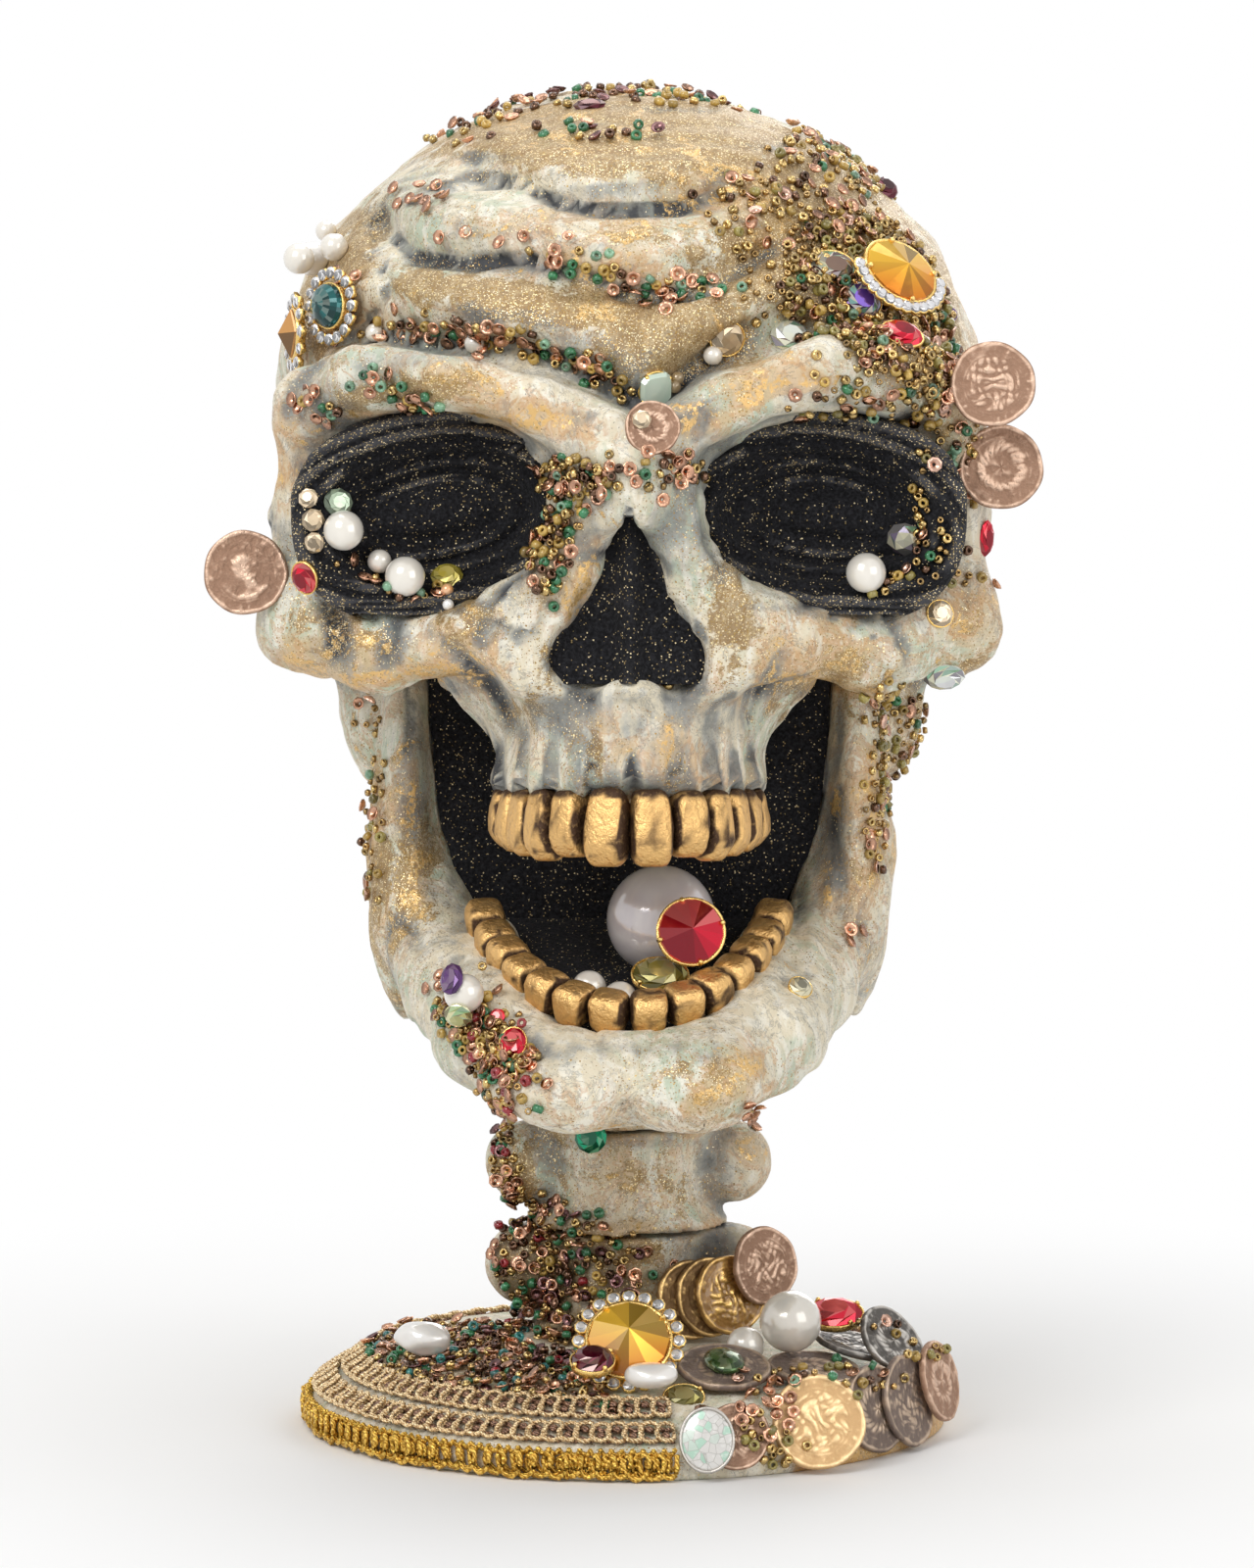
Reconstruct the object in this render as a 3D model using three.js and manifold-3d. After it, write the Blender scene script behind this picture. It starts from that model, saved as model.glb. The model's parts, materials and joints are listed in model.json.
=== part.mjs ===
// A jewelled decorative skull: a cast head on a stack of vertebrae, on a low round base, with glued coins,
// pearls, cut stones, crusts of small beads and braid. Millimetres, +Z up, the face looks along -Y.
// The origin is the middle of the base, on the table.

import * as THREE from "three";
import { mergeVertices } from "three/addons/utils/BufferGeometryUtils.js";
import Module from "manifold-3d";

const wasm = await Module();
wasm.setup();

const degrees = THREE.MathUtils.degToRad;

// Driving dimensions
const skullWidth = 150;
const skullDepth = 170;
const skullHeight = 160;
const biteHeight = 119;
const headTilt = degrees(4.8);
const baseRadius = 66.5;
const baseEdgeHeight = 6.5;
const baseShoulderRadius = 54;
const baseShoulderHeight = 14.5;
const baseCrownHeight = 17;
const seatGap = 0.35;
const faceCell = 7.3;
const foreheadCell = 5.6;
const crownCell = 11.6;
const backCell = 16;
const jawCell = 7.4;
const linerCell = 6;
const settleReach = 24;
const settleStride = 1;
const settleHalvings = 8;

// The head's own frame: its origin is in the middle of the biting edge, and it leans back by headTilt.
const headFrame = new THREE.Matrix4()
  .makeTranslation(0, 0, biteHeight)
  .multiply(new THREE.Matrix4().makeRotationX(-headTilt));
const headSize = [skullWidth, skullDepth, skullHeight];

// A place in the head as shares of its width, depth and height.
const inHead = (shares) => shares.map((share, k) => share * headSize[k]);

// Distances of the blended forms
const blendWidth = (share) => share * skullWidth;

function ellipsoidDistance(p, centreShares, radiusShares) {
  const centre = inHead(centreShares);
  const radius = inHead(radiusShares);
  const u = p.map((value, k) => (value - centre[k]) / radius[k]);
  const v = u.map((value, k) => value / radius[k]);
  const near = Math.hypot(...u);
  return (near * (near - 1)) / Math.max(Math.hypot(...v), Number.EPSILON);
}

function barDistance(p, [fromShares, fromRadiusShare], [toShares, toRadiusShare]) {
  const from = inHead(fromShares);
  const to = inHead(toShares);
  const along = to.map((value, k) => value - from[k]);
  const offset = p.map((value, k) => value - from[k]);
  const length2 = along.reduce((sum, value) => sum + value * value, 0);
  const dot = offset.reduce((sum, value, k) => sum + value * along[k], 0);
  const t = THREE.MathUtils.clamp(dot / length2, 0, 1);
  const away = Math.hypot(...offset.map((value, k) => value - t * along[k]));
  return away - blendWidth(fromRadiusShare + (toRadiusShare - fromRadiusShare) * t);
}

function blend(a, b, widthShare) {
  const width = blendWidth(widthShare);
  const h = Math.max(width - Math.abs(a - b), 0) / width;
  return Math.min(a, b) - (h * h * width) / 4;
}

const carve = (a, b, widthShare) => -blend(-a, b, widthShare);

function chainDistance(p, stations, widthShare) {
  return stations
    .slice(1)
    .map((station, k) => barDistance(p, stations[k], station))
    .reduce((a, b) => blend(a, b, widthShare));
}

const bump = (value, middle, width) => Math.exp(-(((value - middle) / width) ** 2));
const fade = (value, start, length) => THREE.MathUtils.clamp((value - start) / length, 0, 1);

// Head: places and sizes as shares of skullWidth, skullDepth and skullHeight
const craniumShares = { centre: [0, 0.05, 0.59], radius: [0.495, 0.48, 0.412] };
const foreheadShares = { centre: [0, -0.17, 0.61], radius: [0.43, 0.31, 0.3] };
const templeHollowShares = { centre: [0.57, -0.09, 0.45], radius: [0.12, 0.13, 0.14] };
const middleFaceShares = { centre: [0, -0.22, 0.32], radius: [0.28, 0.2, 0.22] };
const mastoidShares = { centre: [0.34, 0.08, 0.21], radius: [0.07, 0.08, 0.12] };
const browShares = [
  [[0.035, -0.495, 0.5], 0.04],
  [[0.12, -0.5, 0.555], 0.042],
  [[0.235, -0.485, 0.598], 0.046],
  [[0.34, -0.43, 0.595], 0.046],
  [[0.415, -0.34, 0.56], 0.046],
];
const cheekShares = [
  [[0.415, -0.34, 0.56], 0.046],
  [[0.43, -0.3, 0.43], 0.044],
  [[0.425, -0.31, 0.3], 0.056],
  [[0.33, -0.37, 0.262], 0.056],
  [[0.2, -0.43, 0.275], 0.046],
  [[0.105, -0.475, 0.36], 0.045],
];
const cheekArchShares = [
  [[0.43, -0.28, 0.29], 0.056],
  [[0.45, -0.08, 0.29], 0.042],
  [[0.44, 0.1, 0.29], 0.045],
];
const noseBridgeShares = [
  [[0, -0.49, 0.52], 0.05],
  [[0, -0.52, 0.44], 0.045],
];
const noseFlankShares = [
  [[0.075, -0.47, 0.42], 0.045],
  [[0.125, -0.45, 0.24], 0.05],
];
const socketShares = { centre: [0.254, -0.47, 0.424], radius: [0.15, 0.165, 0.104] };
const socketDroop = degrees(7);
const socketSquareness = 2.5;
const noseHoleShares = { top: 0.415, bottom: 0.235, back: -0.44 };
const noseHoleSlope = degrees(26);
const nostrilShares = { centre: [0.05, -0.49, 0.245], radius: [0.046, 0.07, 0.034] };

// Forehead creases: the line that each follows, across and up, with its depth and half width. The fold above
// swells out over the crease.
const creaseShares = [
  {
    line: [[-0.2, 0.863], [-0.145, 0.827], [-0.043, 0.796], [0.057, 0.799], [0.12, 0.815]],
    depth: 0.018,
    width: 0.024,
  },
  {
    line: [[-0.327, 0.797], [-0.284, 0.75], [-0.167, 0.737], [-0.055, 0.698], [0.045, 0.692], [0.171, 0.741]],
    depth: 0.024,
    width: 0.026,
  },
  {
    line: [
      [-0.362, 0.677],
      [-0.238, 0.64],
      [-0.142, 0.618],
      [-0.055, 0.596],
      [0.01, 0.556],
      [0.088, 0.607],
      [0.216, 0.65],
    ],
    depth: 0.028,
    width: 0.028,
  },
];
const creaseFoldShares = { rise: 0.05, swell: 0.4, width: 1.6 };

// Upper jaw: an arch that narrows under the cheeks and flares at the gum
const upperArchShares = { middle: -0.25, depth: 0.235, waist: 0.168, low: 0.065, high: 0.275 };
const gumFlareShare = 0.024;
const rootRibShare = 0.009;
const rootRibs = 22;

// A place in the socket: across, deep and up as shares of the socket's own half sizes
function socketPlace([x, y, z]) {
  const centre = inHead(socketShares.centre);
  const radius = inHead(socketShares.radius);
  const [dx, dy, dz] = [x - centre[0], y - centre[1], z - centre[2]];
  const across = dx * Math.cos(socketDroop) - dz * Math.sin(socketDroop);
  const up = dx * Math.sin(socketDroop) + dz * Math.cos(socketDroop);
  return [across / radius[0], dy / radius[1], up / radius[2]];
}

function socketDistance(p) {
  const radius = inHead(socketShares.radius);
  const power = socketPlace(p)
    .map((value) => Math.abs(value) ** socketSquareness)
    .reduce((a, b) => a + b);
  return (power ** (1 / socketSquareness) - 1) * Math.min(radius[0], radius[2]);
}

function noseHoleDistance([x, y, z]) {
  const top = noseHoleShares.top * skullHeight;
  const bottom = noseHoleShares.bottom * skullHeight;
  const flank = x * Math.cos(noseHoleSlope) - (top - z) * Math.sin(noseHoleSlope);
  const wedge = carve(carve(flank, z - bottom, 0.05), -y + noseHoleShares.back * skullDepth, 0.04);
  const nostril = ellipsoidDistance([x, y, z], nostrilShares.centre, nostrilShares.radius);
  return blend(wedge, nostril, 0.03);
}

// How far a place lies from a crease's line, seen from the front, as a share of the skull's width
function creaseDistance([x, z], line) {
  const places = line.map(([across, up]) => [across * skullWidth, up * skullHeight]);
  const distances = places.slice(1).map(([toX, toZ], k) => {
    const [fromX, fromZ] = places[k];
    const [alongX, alongZ] = [toX - fromX, toZ - fromZ];
    const length2 = alongX ** 2 + alongZ ** 2;
    const t = THREE.MathUtils.clamp(((x - fromX) * alongX + (z - fromZ) * alongZ) / length2, 0, 1);
    return Math.hypot(x - fromX - t * alongX, z - fromZ - t * alongZ);
  });
  return Math.min(...distances) / skullWidth;
}

function foreheadRelief([x, y, z]) {
  const front = fade(-y / skullDepth, 0.08, 0.15);
  const fold = creaseFoldShares;
  return creaseShares.reduce((sum, crease) => {
    const cut = bump(creaseDistance([x, z], crease.line), 0, crease.width);
    const above = creaseDistance([x, z - fold.rise * skullHeight], crease.line);
    const swell = fold.swell * bump(above, 0, fold.width * crease.width);
    return sum + crease.depth * skullWidth * (cut - swell) * front;
  }, 0);
}

function upperJawDistance([x, y, z]) {
  const up = z / skullHeight;
  const shares = upperArchShares;
  const width = shares.waist + 0.05 * fade(up, 0.24, 0.2) ** 2 + gumFlareShare * bump(up, 0.07, 0.06);
  const half = skullWidth * width;
  const forward = (y - shares.middle * skullDepth) / (shares.depth * skullDepth);
  const arch = (Math.hypot(x / half, forward) - 1) * half;
  const middle = ((shares.low + shares.high) / 2) * skullHeight;
  const reach = ((shares.high - shares.low) / 2) * skullHeight;
  const angle = Math.atan2(x / skullWidth, -(y / skullDepth - shares.middle));
  const rib = rootRibShare * skullWidth * Math.cos(angle * rootRibs) * (1 - fade(Math.abs(up - 0.1), 0, 0.09));
  return carve(arch, -(Math.abs(z - middle) - reach), 0.06) - rib;
}

// The head without its creases and sockets, mirrored about its middle plane
function solidHeadDistance(p) {
  let d = ellipsoidDistance(p, craniumShares.centre, craniumShares.radius);
  d = blend(d, ellipsoidDistance(p, foreheadShares.centre, foreheadShares.radius), 0.1);
  d = carve(d, ellipsoidDistance(p, templeHollowShares.centre, templeHollowShares.radius), 0.12);
  d = blend(d, chainDistance(p, browShares, 0.03), 0.06);
  d = blend(d, chainDistance(p, cheekShares, 0.04), 0.06);
  d = blend(d, chainDistance(p, cheekArchShares, 0.04), 0.06);
  d = blend(d, chainDistance(p, noseBridgeShares, 0.04), 0.08);
  d = blend(d, chainDistance(p, noseFlankShares, 0.04), 0.06);
  d = blend(d, ellipsoidDistance(p, middleFaceShares.centre, middleFaceShares.radius), 0.06);
  d = blend(d, upperJawDistance(p), 0.05);
  d = blend(d, ellipsoidDistance(p, mastoidShares.centre, mastoidShares.radius), 0.06);
  return d;
}

function headDistance(point) {
  const p = [Math.abs(point[0]), point[1], point[2]];
  const solid = solidHeadDistance(p) + foreheadRelief(point);
  return carve(carve(solid, socketDistance(p), 0.03), noseHoleDistance(p), 0.02);
}

// Lower jaw, swung open: places and sizes as shares of the head
const jawBodyShares = [
  [[0, -0.43, -0.275], 0.066],
  [[0.11, -0.42, -0.275], 0.066],
  [[0.185, -0.33, -0.225], 0.066],
  [[0.235, -0.21, -0.165], 0.066],
  [[0.275, -0.1, -0.09], 0.064],
  [[0.3, -0.05, 0.02], 0.05],
];
const jawRamusShares = { centre: [0.308, -0.06, 0.05], radius: [0.045, 0.1, 0.26] };
const chinShares = { centre: [0.075, -0.455, -0.29], radius: [0.08, 0.055, 0.062] };
const lowerGumShares = [
  [[0, -0.415, -0.262], 0.042],
  [[0.1, -0.39, -0.255], 0.042],
  [[0.165, -0.3, -0.19], 0.042],
  [[0.19, -0.16, -0.115], 0.042],
];

function jawDistance(point) {
  const p = [Math.abs(point[0]), point[1], point[2]];
  let d = chainDistance(p, jawBodyShares, 0.03);
  d = blend(d, ellipsoidDistance(p, jawRamusShares.centre, jawRamusShares.radius), 0.06);
  d = blend(d, ellipsoidDistance(p, chinShares.centre, chinShares.radius), 0.03);
  return blend(d, chainDistance(p, lowerGumShares, 0.03), 0.04);
}

// Socket lining: dished behind the rim, with a closed lid that swells out of the dish
const eyeLiningShares = { seat: 0.03, rim: 0.035, dish: 0.085, lid: 0.05, lidAcross: 0.62, lidUp: 0.42 };

function eyeLiningDistance([x, y, z]) {
  const shares = eyeLiningShares;
  const place = socketPlace([x, y, z]);
  const [across, up] = [place[0], place[2]];
  const dish = shares.rim + shares.dish * Math.max(1 - across ** 2 - up ** 2, 0);
  const front = dish - shares.lid * bump(across, 0, shares.lidAcross) * bump(up, 0, shares.lidUp);
  const frontPlace = skullDepth * (socketShares.centre[1] + front);
  return carve(socketDistance([x, y, z]) - shares.seat * skullWidth, y - frontPlace, 0.01);
}

// Nose lining: the back of the nose opening, with a septum
const noseLiningShares = { seat: 0.02, front: -0.47, septum: 0.02, septumWidth: 0.016 };

function noseLiningDistance([x, y, z]) {
  const shares = noseLiningShares;
  const front = shares.front - shares.septum * bump(x / skullWidth, 0, shares.septumWidth);
  return carve(noseHoleDistance([Math.abs(x), y, z]) - shares.seat * skullWidth, y - front * skullDepth, 0.01);
}

// The grid's lines along one axis. Each zone has its own cell up to a place, and the last goes on to the end.
function gridLines(low, high, zones) {
  const lines = [low];
  while (lines.at(-1) < high) {
    const [, cell] = zones.find(([upTo]) => lines.at(-1) < upTo) ?? zones.at(-1);
    lines.push(lines.at(-1) + cell);
  }
  return lines;
}

// A grid cell's corners are numbered by bits, one for each axis. Its edges join corners that differ in one bit.
const axisBits = [1, 2, 4];
const cellEdges = axisBits.flatMap((bit) =>
  [0, 1, 2, 3, 4, 5, 6, 7].filter((corner) => !(corner & bit)).map((corner) => [corner, corner | bit]),
);
const edgeBetween = (a, b) => {
  const [low, high] = [Math.min(a, b), Math.max(a, b)];
  return cellEdges.findIndex(([from, to]) => from === low && to === high);
};
const cellFaces = axisBits.flatMap((bit, axis) => {
  const [u, v] = axisBits.filter((_, other) => other !== axis);
  return [0, bit].map((base) => [base, base | u, base | u | v, base | v]);
});
const faceEdges = cellFaces.map((ring) => ring.map((corner, k) => edgeBetween(corner, ring[(k + 1) % 4])));

// Sorts a cell's crossed edges into the separate sheets that pass through it.
function sheetsOf(inside) {
  const sheet = cellEdges.map(([from, to], k) => (inside[from] !== inside[to] ? k : -1));
  const join = (a, b) => {
    const [keep, drop] = [sheet[a], sheet[b]];
    sheet.forEach((value, k) => {
      if (value === drop) sheet[k] = keep;
    });
  };
  cellFaces.forEach((ring, face) => {
    const crossed = faceEdges[face].filter((edge) => sheet[edge] >= 0);
    if (crossed.length === 2) join(...crossed);
    if (crossed.length === 4)
      ring.forEach((corner, k) => {
        if (inside[corner]) join(faceEdges[face][k], faceEdges[face][(k + 3) % 4]);
      });
  });
  return sheet;
}

// Turns a distance function into a closed mesh: one vertex for each sheet of the surface in a grid cell, at the
// mean of its crossings, and one four-sided face round each crossed grid edge.
function skinOf(distance, lines) {
  const count = lines.map((line) => line.length);
  const at = (i, j, k) => (k * count[1] + j) * count[0] + i;
  const cornerAt = (cell, corner) => cell.map((value, axis) => value + (corner & axisBits[axis] ? 1 : 0));
  const placeOf = (cell) => cell.map((value, axis) => lines[axis][value]);
  const values = new Float32Array(count[0] * count[1] * count[2]);
  for (let k = 0; k < count[2]; k++)
    for (let j = 0; j < count[1]; j++)
      for (let i = 0; i < count[0]; i++) values[at(i, j, k)] = distance(placeOf([i, j, k]));
  const vertexOf = new Map();
  const positions = [];
  const cellCorners = [0, 1, 2, 3, 4, 5, 6, 7];
  for (let k = 0; k < count[2] - 1; k++)
    for (let j = 0; j < count[1] - 1; j++)
      for (let i = 0; i < count[0] - 1; i++) {
        const corners = cellCorners.map((corner) => cornerAt([i, j, k], corner));
        const value = corners.map((corner) => values[at(...corner)]);
        const inside = value.map((distanceHere) => distanceHere < 0);
        if (inside.every((flag) => flag === inside[0])) continue;
        const sheet = sheetsOf(inside);
        const vertices = sheet.slice();
        for (const name of new Set(sheet.filter((label) => label >= 0))) {
          const crossings = cellEdges
            .filter((_, edge) => sheet[edge] === name)
            .map(([from, to]) => {
              const t = value[from] / (value[from] - value[to]);
              const [start, end] = [placeOf(corners[from]), placeOf(corners[to])];
              return start.map((coordinate, axis) => coordinate + t * (end[axis] - coordinate));
            });
          const index = positions.length / 3;
          positions.push(...[0, 1, 2].map((n) => crossings.reduce((sum, c) => sum + c[n], 0) / crossings.length));
          sheet.forEach((label, edge) => {
            if (label === name) vertices[edge] = index;
          });
        }
        vertexOf.set(at(i, j, k), vertices);
      }
  const faces = [];
  for (let k = 1; k < count[2] - 1; k++)
    for (let j = 1; j < count[1] - 1; j++)
      for (let i = 1; i < count[0] - 1; i++)
        axisBits.forEach((bit, axis) => {
          const here = values[at(i, j, k)] < 0;
          if (here === values[at(...cornerAt([i, j, k], bit))] < 0) return;
          const [u, v] = [axisBits[(axis + 1) % 3], axisBits[(axis + 2) % 3]];
          const vertexIn = (corner) => {
            const back = cornerAt([0, 0, 0], corner);
            return vertexOf.get(at(i - back[0], j - back[1], k - back[2]))[edgeBetween(corner, corner | bit)];
          };
          const ring = [vertexIn(u | v), vertexIn(v), vertexIn(0), vertexIn(u)];
          if (!here) ring.reverse();
          faces.push(ring[0], ring[1], ring[2], ring[0], ring[2], ring[3]);
        });
  const geometry = new THREE.BufferGeometry();
  geometry.setAttribute("position", new THREE.Float32BufferAttribute(positions, 3));
  geometry.setIndex(faces);
  return geometry;
}

// Solids
function solidOf(geometry) {
  const bare = new THREE.BufferGeometry();
  bare.setAttribute("position", geometry.getAttribute("position"));
  bare.setIndex(geometry.getIndex());
  const merged = mergeVertices(bare);
  return new wasm.Manifold(
    new wasm.Mesh({
      numProp: 3,
      vertProperties: new Float32Array(merged.getAttribute("position").array),
      triVerts: new Uint32Array(merged.getIndex().array),
    }),
  );
}

function geometryOf(solid) {
  const mesh = solid.getMesh();
  const geometry = new THREE.BufferGeometry();
  const vertices = new Float32Array(mesh.vertProperties);
  geometry.setAttribute("position", new THREE.BufferAttribute(vertices, mesh.numProp));
  geometry.setIndex(new THREE.BufferAttribute(new Uint32Array(mesh.triVerts), 1));
  return geometry;
}

// The solid with each vertex moved out along its normal, which leaves room between a piece and its seat.
function grown(solid, by) {
  const geometry = geometryOf(solid);
  geometry.computeVertexNormals();
  const position = geometry.getAttribute("position");
  const normal = geometry.getAttribute("normal");
  for (let i = 0; i < position.count; i++)
    position.setXYZ(
      i,
      position.getX(i) + by * normal.getX(i),
      position.getY(i) + by * normal.getY(i),
      position.getZ(i) + by * normal.getZ(i),
    );
  return solidOf(geometry);
}

// What is left of a solid with room cut for the pieces that it seats on
const fitted = (solid, seats) =>
  largestOf(seats.reduce((rest, seat) => rest.subtract(grown(seat, seatGap)).subtract(seat), solid));

const largestOf = (solid) => solid.decompose().reduce((a, b) => (a.volume() > b.volume() ? a : b));
const joined = (solids) => solids.reduce((a, b) => a.add(b));
const moved = (solid, matrix) => solidOf(geometryOf(solid).applyMatrix4(matrix));
const shifted = (solid, x, y, z) => moved(solid, new THREE.Matrix4().makeTranslation(x, y, z));

// A revolved piece about +Z from a profile of [radius, height] pairs, lowest first.
function turned(profile, sides) {
  const geometry = new THREE.LatheGeometry(profile.map(([r, h]) => new THREE.Vector2(r, h)), sides);
  return solidOf(geometry.rotateX(Math.PI / 2));
}

function ellipsoid(radius, centre, sides) {
  const geometry = new THREE.SphereGeometry(1, sides, Math.ceil(sides / 2) + 1);
  return solidOf(geometry.scale(...radius).translate(...centre));
}

// A closed block between two flat faces from an outline of [x, y] pairs, along +Z.
function extruded(outline, height) {
  const shape = new THREE.Shape(outline.map(([x, y]) => new THREE.Vector2(x, y)));
  return solidOf(new THREE.ExtrudeGeometry(shape, { depth: height, bevelEnabled: false }));
}

// Turns a piece's +Z towards a direction and sets it down at a place.
function posed(solid, facing, at) {
  const turn = new THREE.Quaternion().setFromUnitVectors(
    new THREE.Vector3(0, 0, 1),
    new THREE.Vector3(...facing).normalize(),
  );
  return moved(solid, new THREE.Matrix4().compose(new THREE.Vector3(...at), turn, new THREE.Vector3(1, 1, 1)));
}

// Slides a loose piece along a direction until it meets what carries it, and leaves the glue gap. A piece that
// starts inside something is drawn back first.
function settled(solid, slide, carriers) {
  const direction = new THREE.Vector3(...slide).normalize();
  const at = (distance) => shifted(solid, ...direction.clone().multiplyScalar(distance).toArray());
  const touches = (distance) => {
    const trial = at(distance);
    return carriers.some((carrier) => trial.intersect(carrier).volume() > 0);
  };
  let clear = 0;
  while (touches(clear) && clear > -settleReach) clear -= settleStride;
  while (!touches(clear + settleStride) && clear < settleReach) clear += settleStride;
  let blocked = clear + settleStride;
  for (let k = 0; k < settleHalvings; k++) {
    const middle = (clear + blocked) / 2;
    if (touches(middle)) blocked = middle;
    else clear = middle;
  }
  return at(clear - seatGap);
}

const material = (color, roughness, metalness = 0) =>
  new THREE.MeshStandardMaterial({ color, roughness, metalness });
const bone = material("#c9c3ad", 0.75);
const blackFlock = material("#16161a", 0.95);
const goldPaint = material("#b0803c", 0.45, 0.7);
const copper = material("#b98a72", 0.4, 0.8);
const oldGold = material("#a98346", 0.4, 0.85);
const darkCoin = material("#6d5a4a", 0.5, 0.7);
const pearl = material("#e8e4dc", 0.2);
const goldBraid = material("#b39a62", 0.6, 0.4);
const brightGold = material("#c69a2c", 0.4, 0.7);
const beadCrust = material("#8f7148", 0.5, 0.5);
const amber = material("#e0931b", 0.1);
const ruby = material("#b00a28", 0.1);
const emerald = material("#0b8f62", 0.1);
const mint = material("#b9d2bb", 0.3);
const steel = material("#9a9a9a", 0.4, 0.9);

const skull = new THREE.Group();

// Adds a solid as a named mesh whose own origin is its pivot.
function add(name, solid, finish, pivot = [0, 0, 0]) {
  const geometry = geometryOf(solid).translate(...pivot.map((value) => -value));
  const mesh = new THREE.Mesh(geometry, finish);
  mesh.name = name;
  mesh.position.set(...pivot);
  skull.add(mesh);
  return solid;
}

// Head castings
const headLines = [
  gridLines(-0.6 * skullWidth, 0.6 * skullWidth, [[skullWidth, faceCell]]),
  gridLines(-0.62 * skullDepth, 0.66 * skullDepth, [[-0.2 * skullDepth, faceCell], [skullDepth, backCell]]),
  gridLines(-0.06 * skullHeight, 1.15 * skullHeight, [
    [0.5 * skullHeight, faceCell],
    [0.86 * skullHeight, foreheadCell],
    [skullHeight, crownCell],
  ]),
];
const jawLines = [
  gridLines(-0.5 * skullWidth, 0.5 * skullWidth, [[skullWidth, jawCell]]),
  gridLines(-0.62 * skullDepth, 0.2 * skullDepth, [[skullDepth, jawCell]]),
  gridLines(-0.45 * skullHeight, 0.45 * skullHeight, [[skullHeight, jawCell]]),
];
const headSkin = moved(solidOf(skinOf(headDistance, headLines)), headFrame);
const jawSkin = moved(solidOf(skinOf(jawDistance, jawLines)), headFrame);

// Neck
const neckDepth = 14;
const vertebraCount = 6;
const vertebraPitch = 22;
const vertebraTopRadius = 17.5;
const vertebraLipRadius = 20.5;
const vertebraSides = 10;
const wingSides = 6;
const wingRadii = [8.5, 9, 9.3];
const wingReach = 30.5;
const wingRise = 7;
const spineRadii = [5, 13, 5.5];
const spineReach = 26;
const coreRadius = 4;
const coreClearance = 0.3;
const coreSides = 10;
const coreFoot = 5;
const coreHeadEntry = 18;

const neckFloor = baseCrownHeight + seatGap;
const neckTop = neckFloor + vertebraCount * vertebraPitch;

function vertebraBlank() {
  const height = vertebraPitch - seatGap;
  const body = turned(
    [
      [0, 0],
      [vertebraLipRadius - coreClearance, 0],
      [vertebraLipRadius, 0.25 * height],
      [vertebraTopRadius, 0.8 * height],
      [vertebraTopRadius - coreClearance, height],
      [0, height],
    ],
    vertebraSides,
  );
  const level = height / 2 + wingRise - wingRadii[2] / 2;
  const wingPlace = wingReach - wingRadii[0];
  const wings = [-1, 1].map((side) => ellipsoid(wingRadii, [side * wingPlace, 0, level], wingSides));
  const spine = ellipsoid(spineRadii, [0, spineReach - spineRadii[1] / 2, height / 2], wingSides);
  return joined([body, ...wings, spine]);
}

const core = turned(
  [
    [0, coreFoot],
    [coreRadius, coreFoot],
    [coreRadius, neckTop + coreHeadEntry],
    [0, neckTop + coreHeadEntry],
  ],
  coreSides,
);
const coreHole = turned(
  [
    [0, coreFoot - seatGap],
    [coreRadius + coreClearance, coreFoot - seatGap],
    [coreRadius + coreClearance, neckTop + coreHeadEntry + seatGap],
    [0, neckTop + coreHeadEntry + seatGap],
  ],
  coreSides,
);
const atNeck = (solid) => shifted(solid, 0, neckDepth, 0);
const neckHole = atNeck(coreHole);

const cranium = add("cranium", headSkin.subtract(neckHole), bone);
const craniumRoom = grown(headSkin, seatGap);
add("neck_rod", atNeck(core), steel);

const mandible = add("mandible", largestOf(jawSkin.subtract(craniumRoom)), bone);
const mandibleRoom = grown(jawSkin, seatGap);

const vertebrae = Array.from({ length: vertebraCount }, (_, k) => {
  const blank = atNeck(shifted(vertebraBlank(), 0, 0, neckFloor + k * vertebraPitch));
  const bored = blank.subtract(neckHole).subtract(craniumRoom).subtract(mandibleRoom);
  return add(`vertebra_${k + 1}`, largestOf(bored), bone);
});

// Base
const baseSides = 36;
const base = turned(
  [
    [0, 0],
    [baseRadius, 0],
    [baseRadius, baseEdgeHeight],
    [baseShoulderRadius, baseShoulderHeight],
    [0.5 * baseShoulderRadius, baseCrownHeight],
    [0, baseCrownHeight],
  ],
  baseSides,
);
const plinth = add("base_plinth", base.subtract(neckHole), bone);

// A sector of the base seen from above, between two angles from the front towards +X
const sectorSteps = 6;
function sector(from, to) {
  const corners = Array.from({ length: sectorSteps + 1 }, (_, k) => {
    const angle = from + ((to - from) * k) / sectorSteps;
    return [2 * baseRadius * Math.sin(angle), -2 * baseRadius * Math.cos(angle)];
  });
  return extruded([[0, 0], ...corners], 2 * baseCrownHeight);
}

// Trims round the base: a looped gold fringe on the edge and two rows of braid on the slope, with the right
// front left bare
const bareFrom = degrees(8);
const bareTo = degrees(118);
const fringeThickness = 2.5;
const fringeFoot = 0.5;
const braidThickness = 1.6;
const braidRowShares = { lower: [0.03, 0.48], upper: [0.52, 0.97] };

const slope = new THREE.Vector2(baseShoulderRadius - baseRadius, baseShoulderHeight - baseEdgeHeight);
const slopeOut = new THREE.Vector2(slope.y, -slope.x).normalize();
const bareSector = sector(bareFrom, bareTo);
const trimRing = (profile) => turned([...profile, profile[0]], baseSides).subtract(bareSector);

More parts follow.
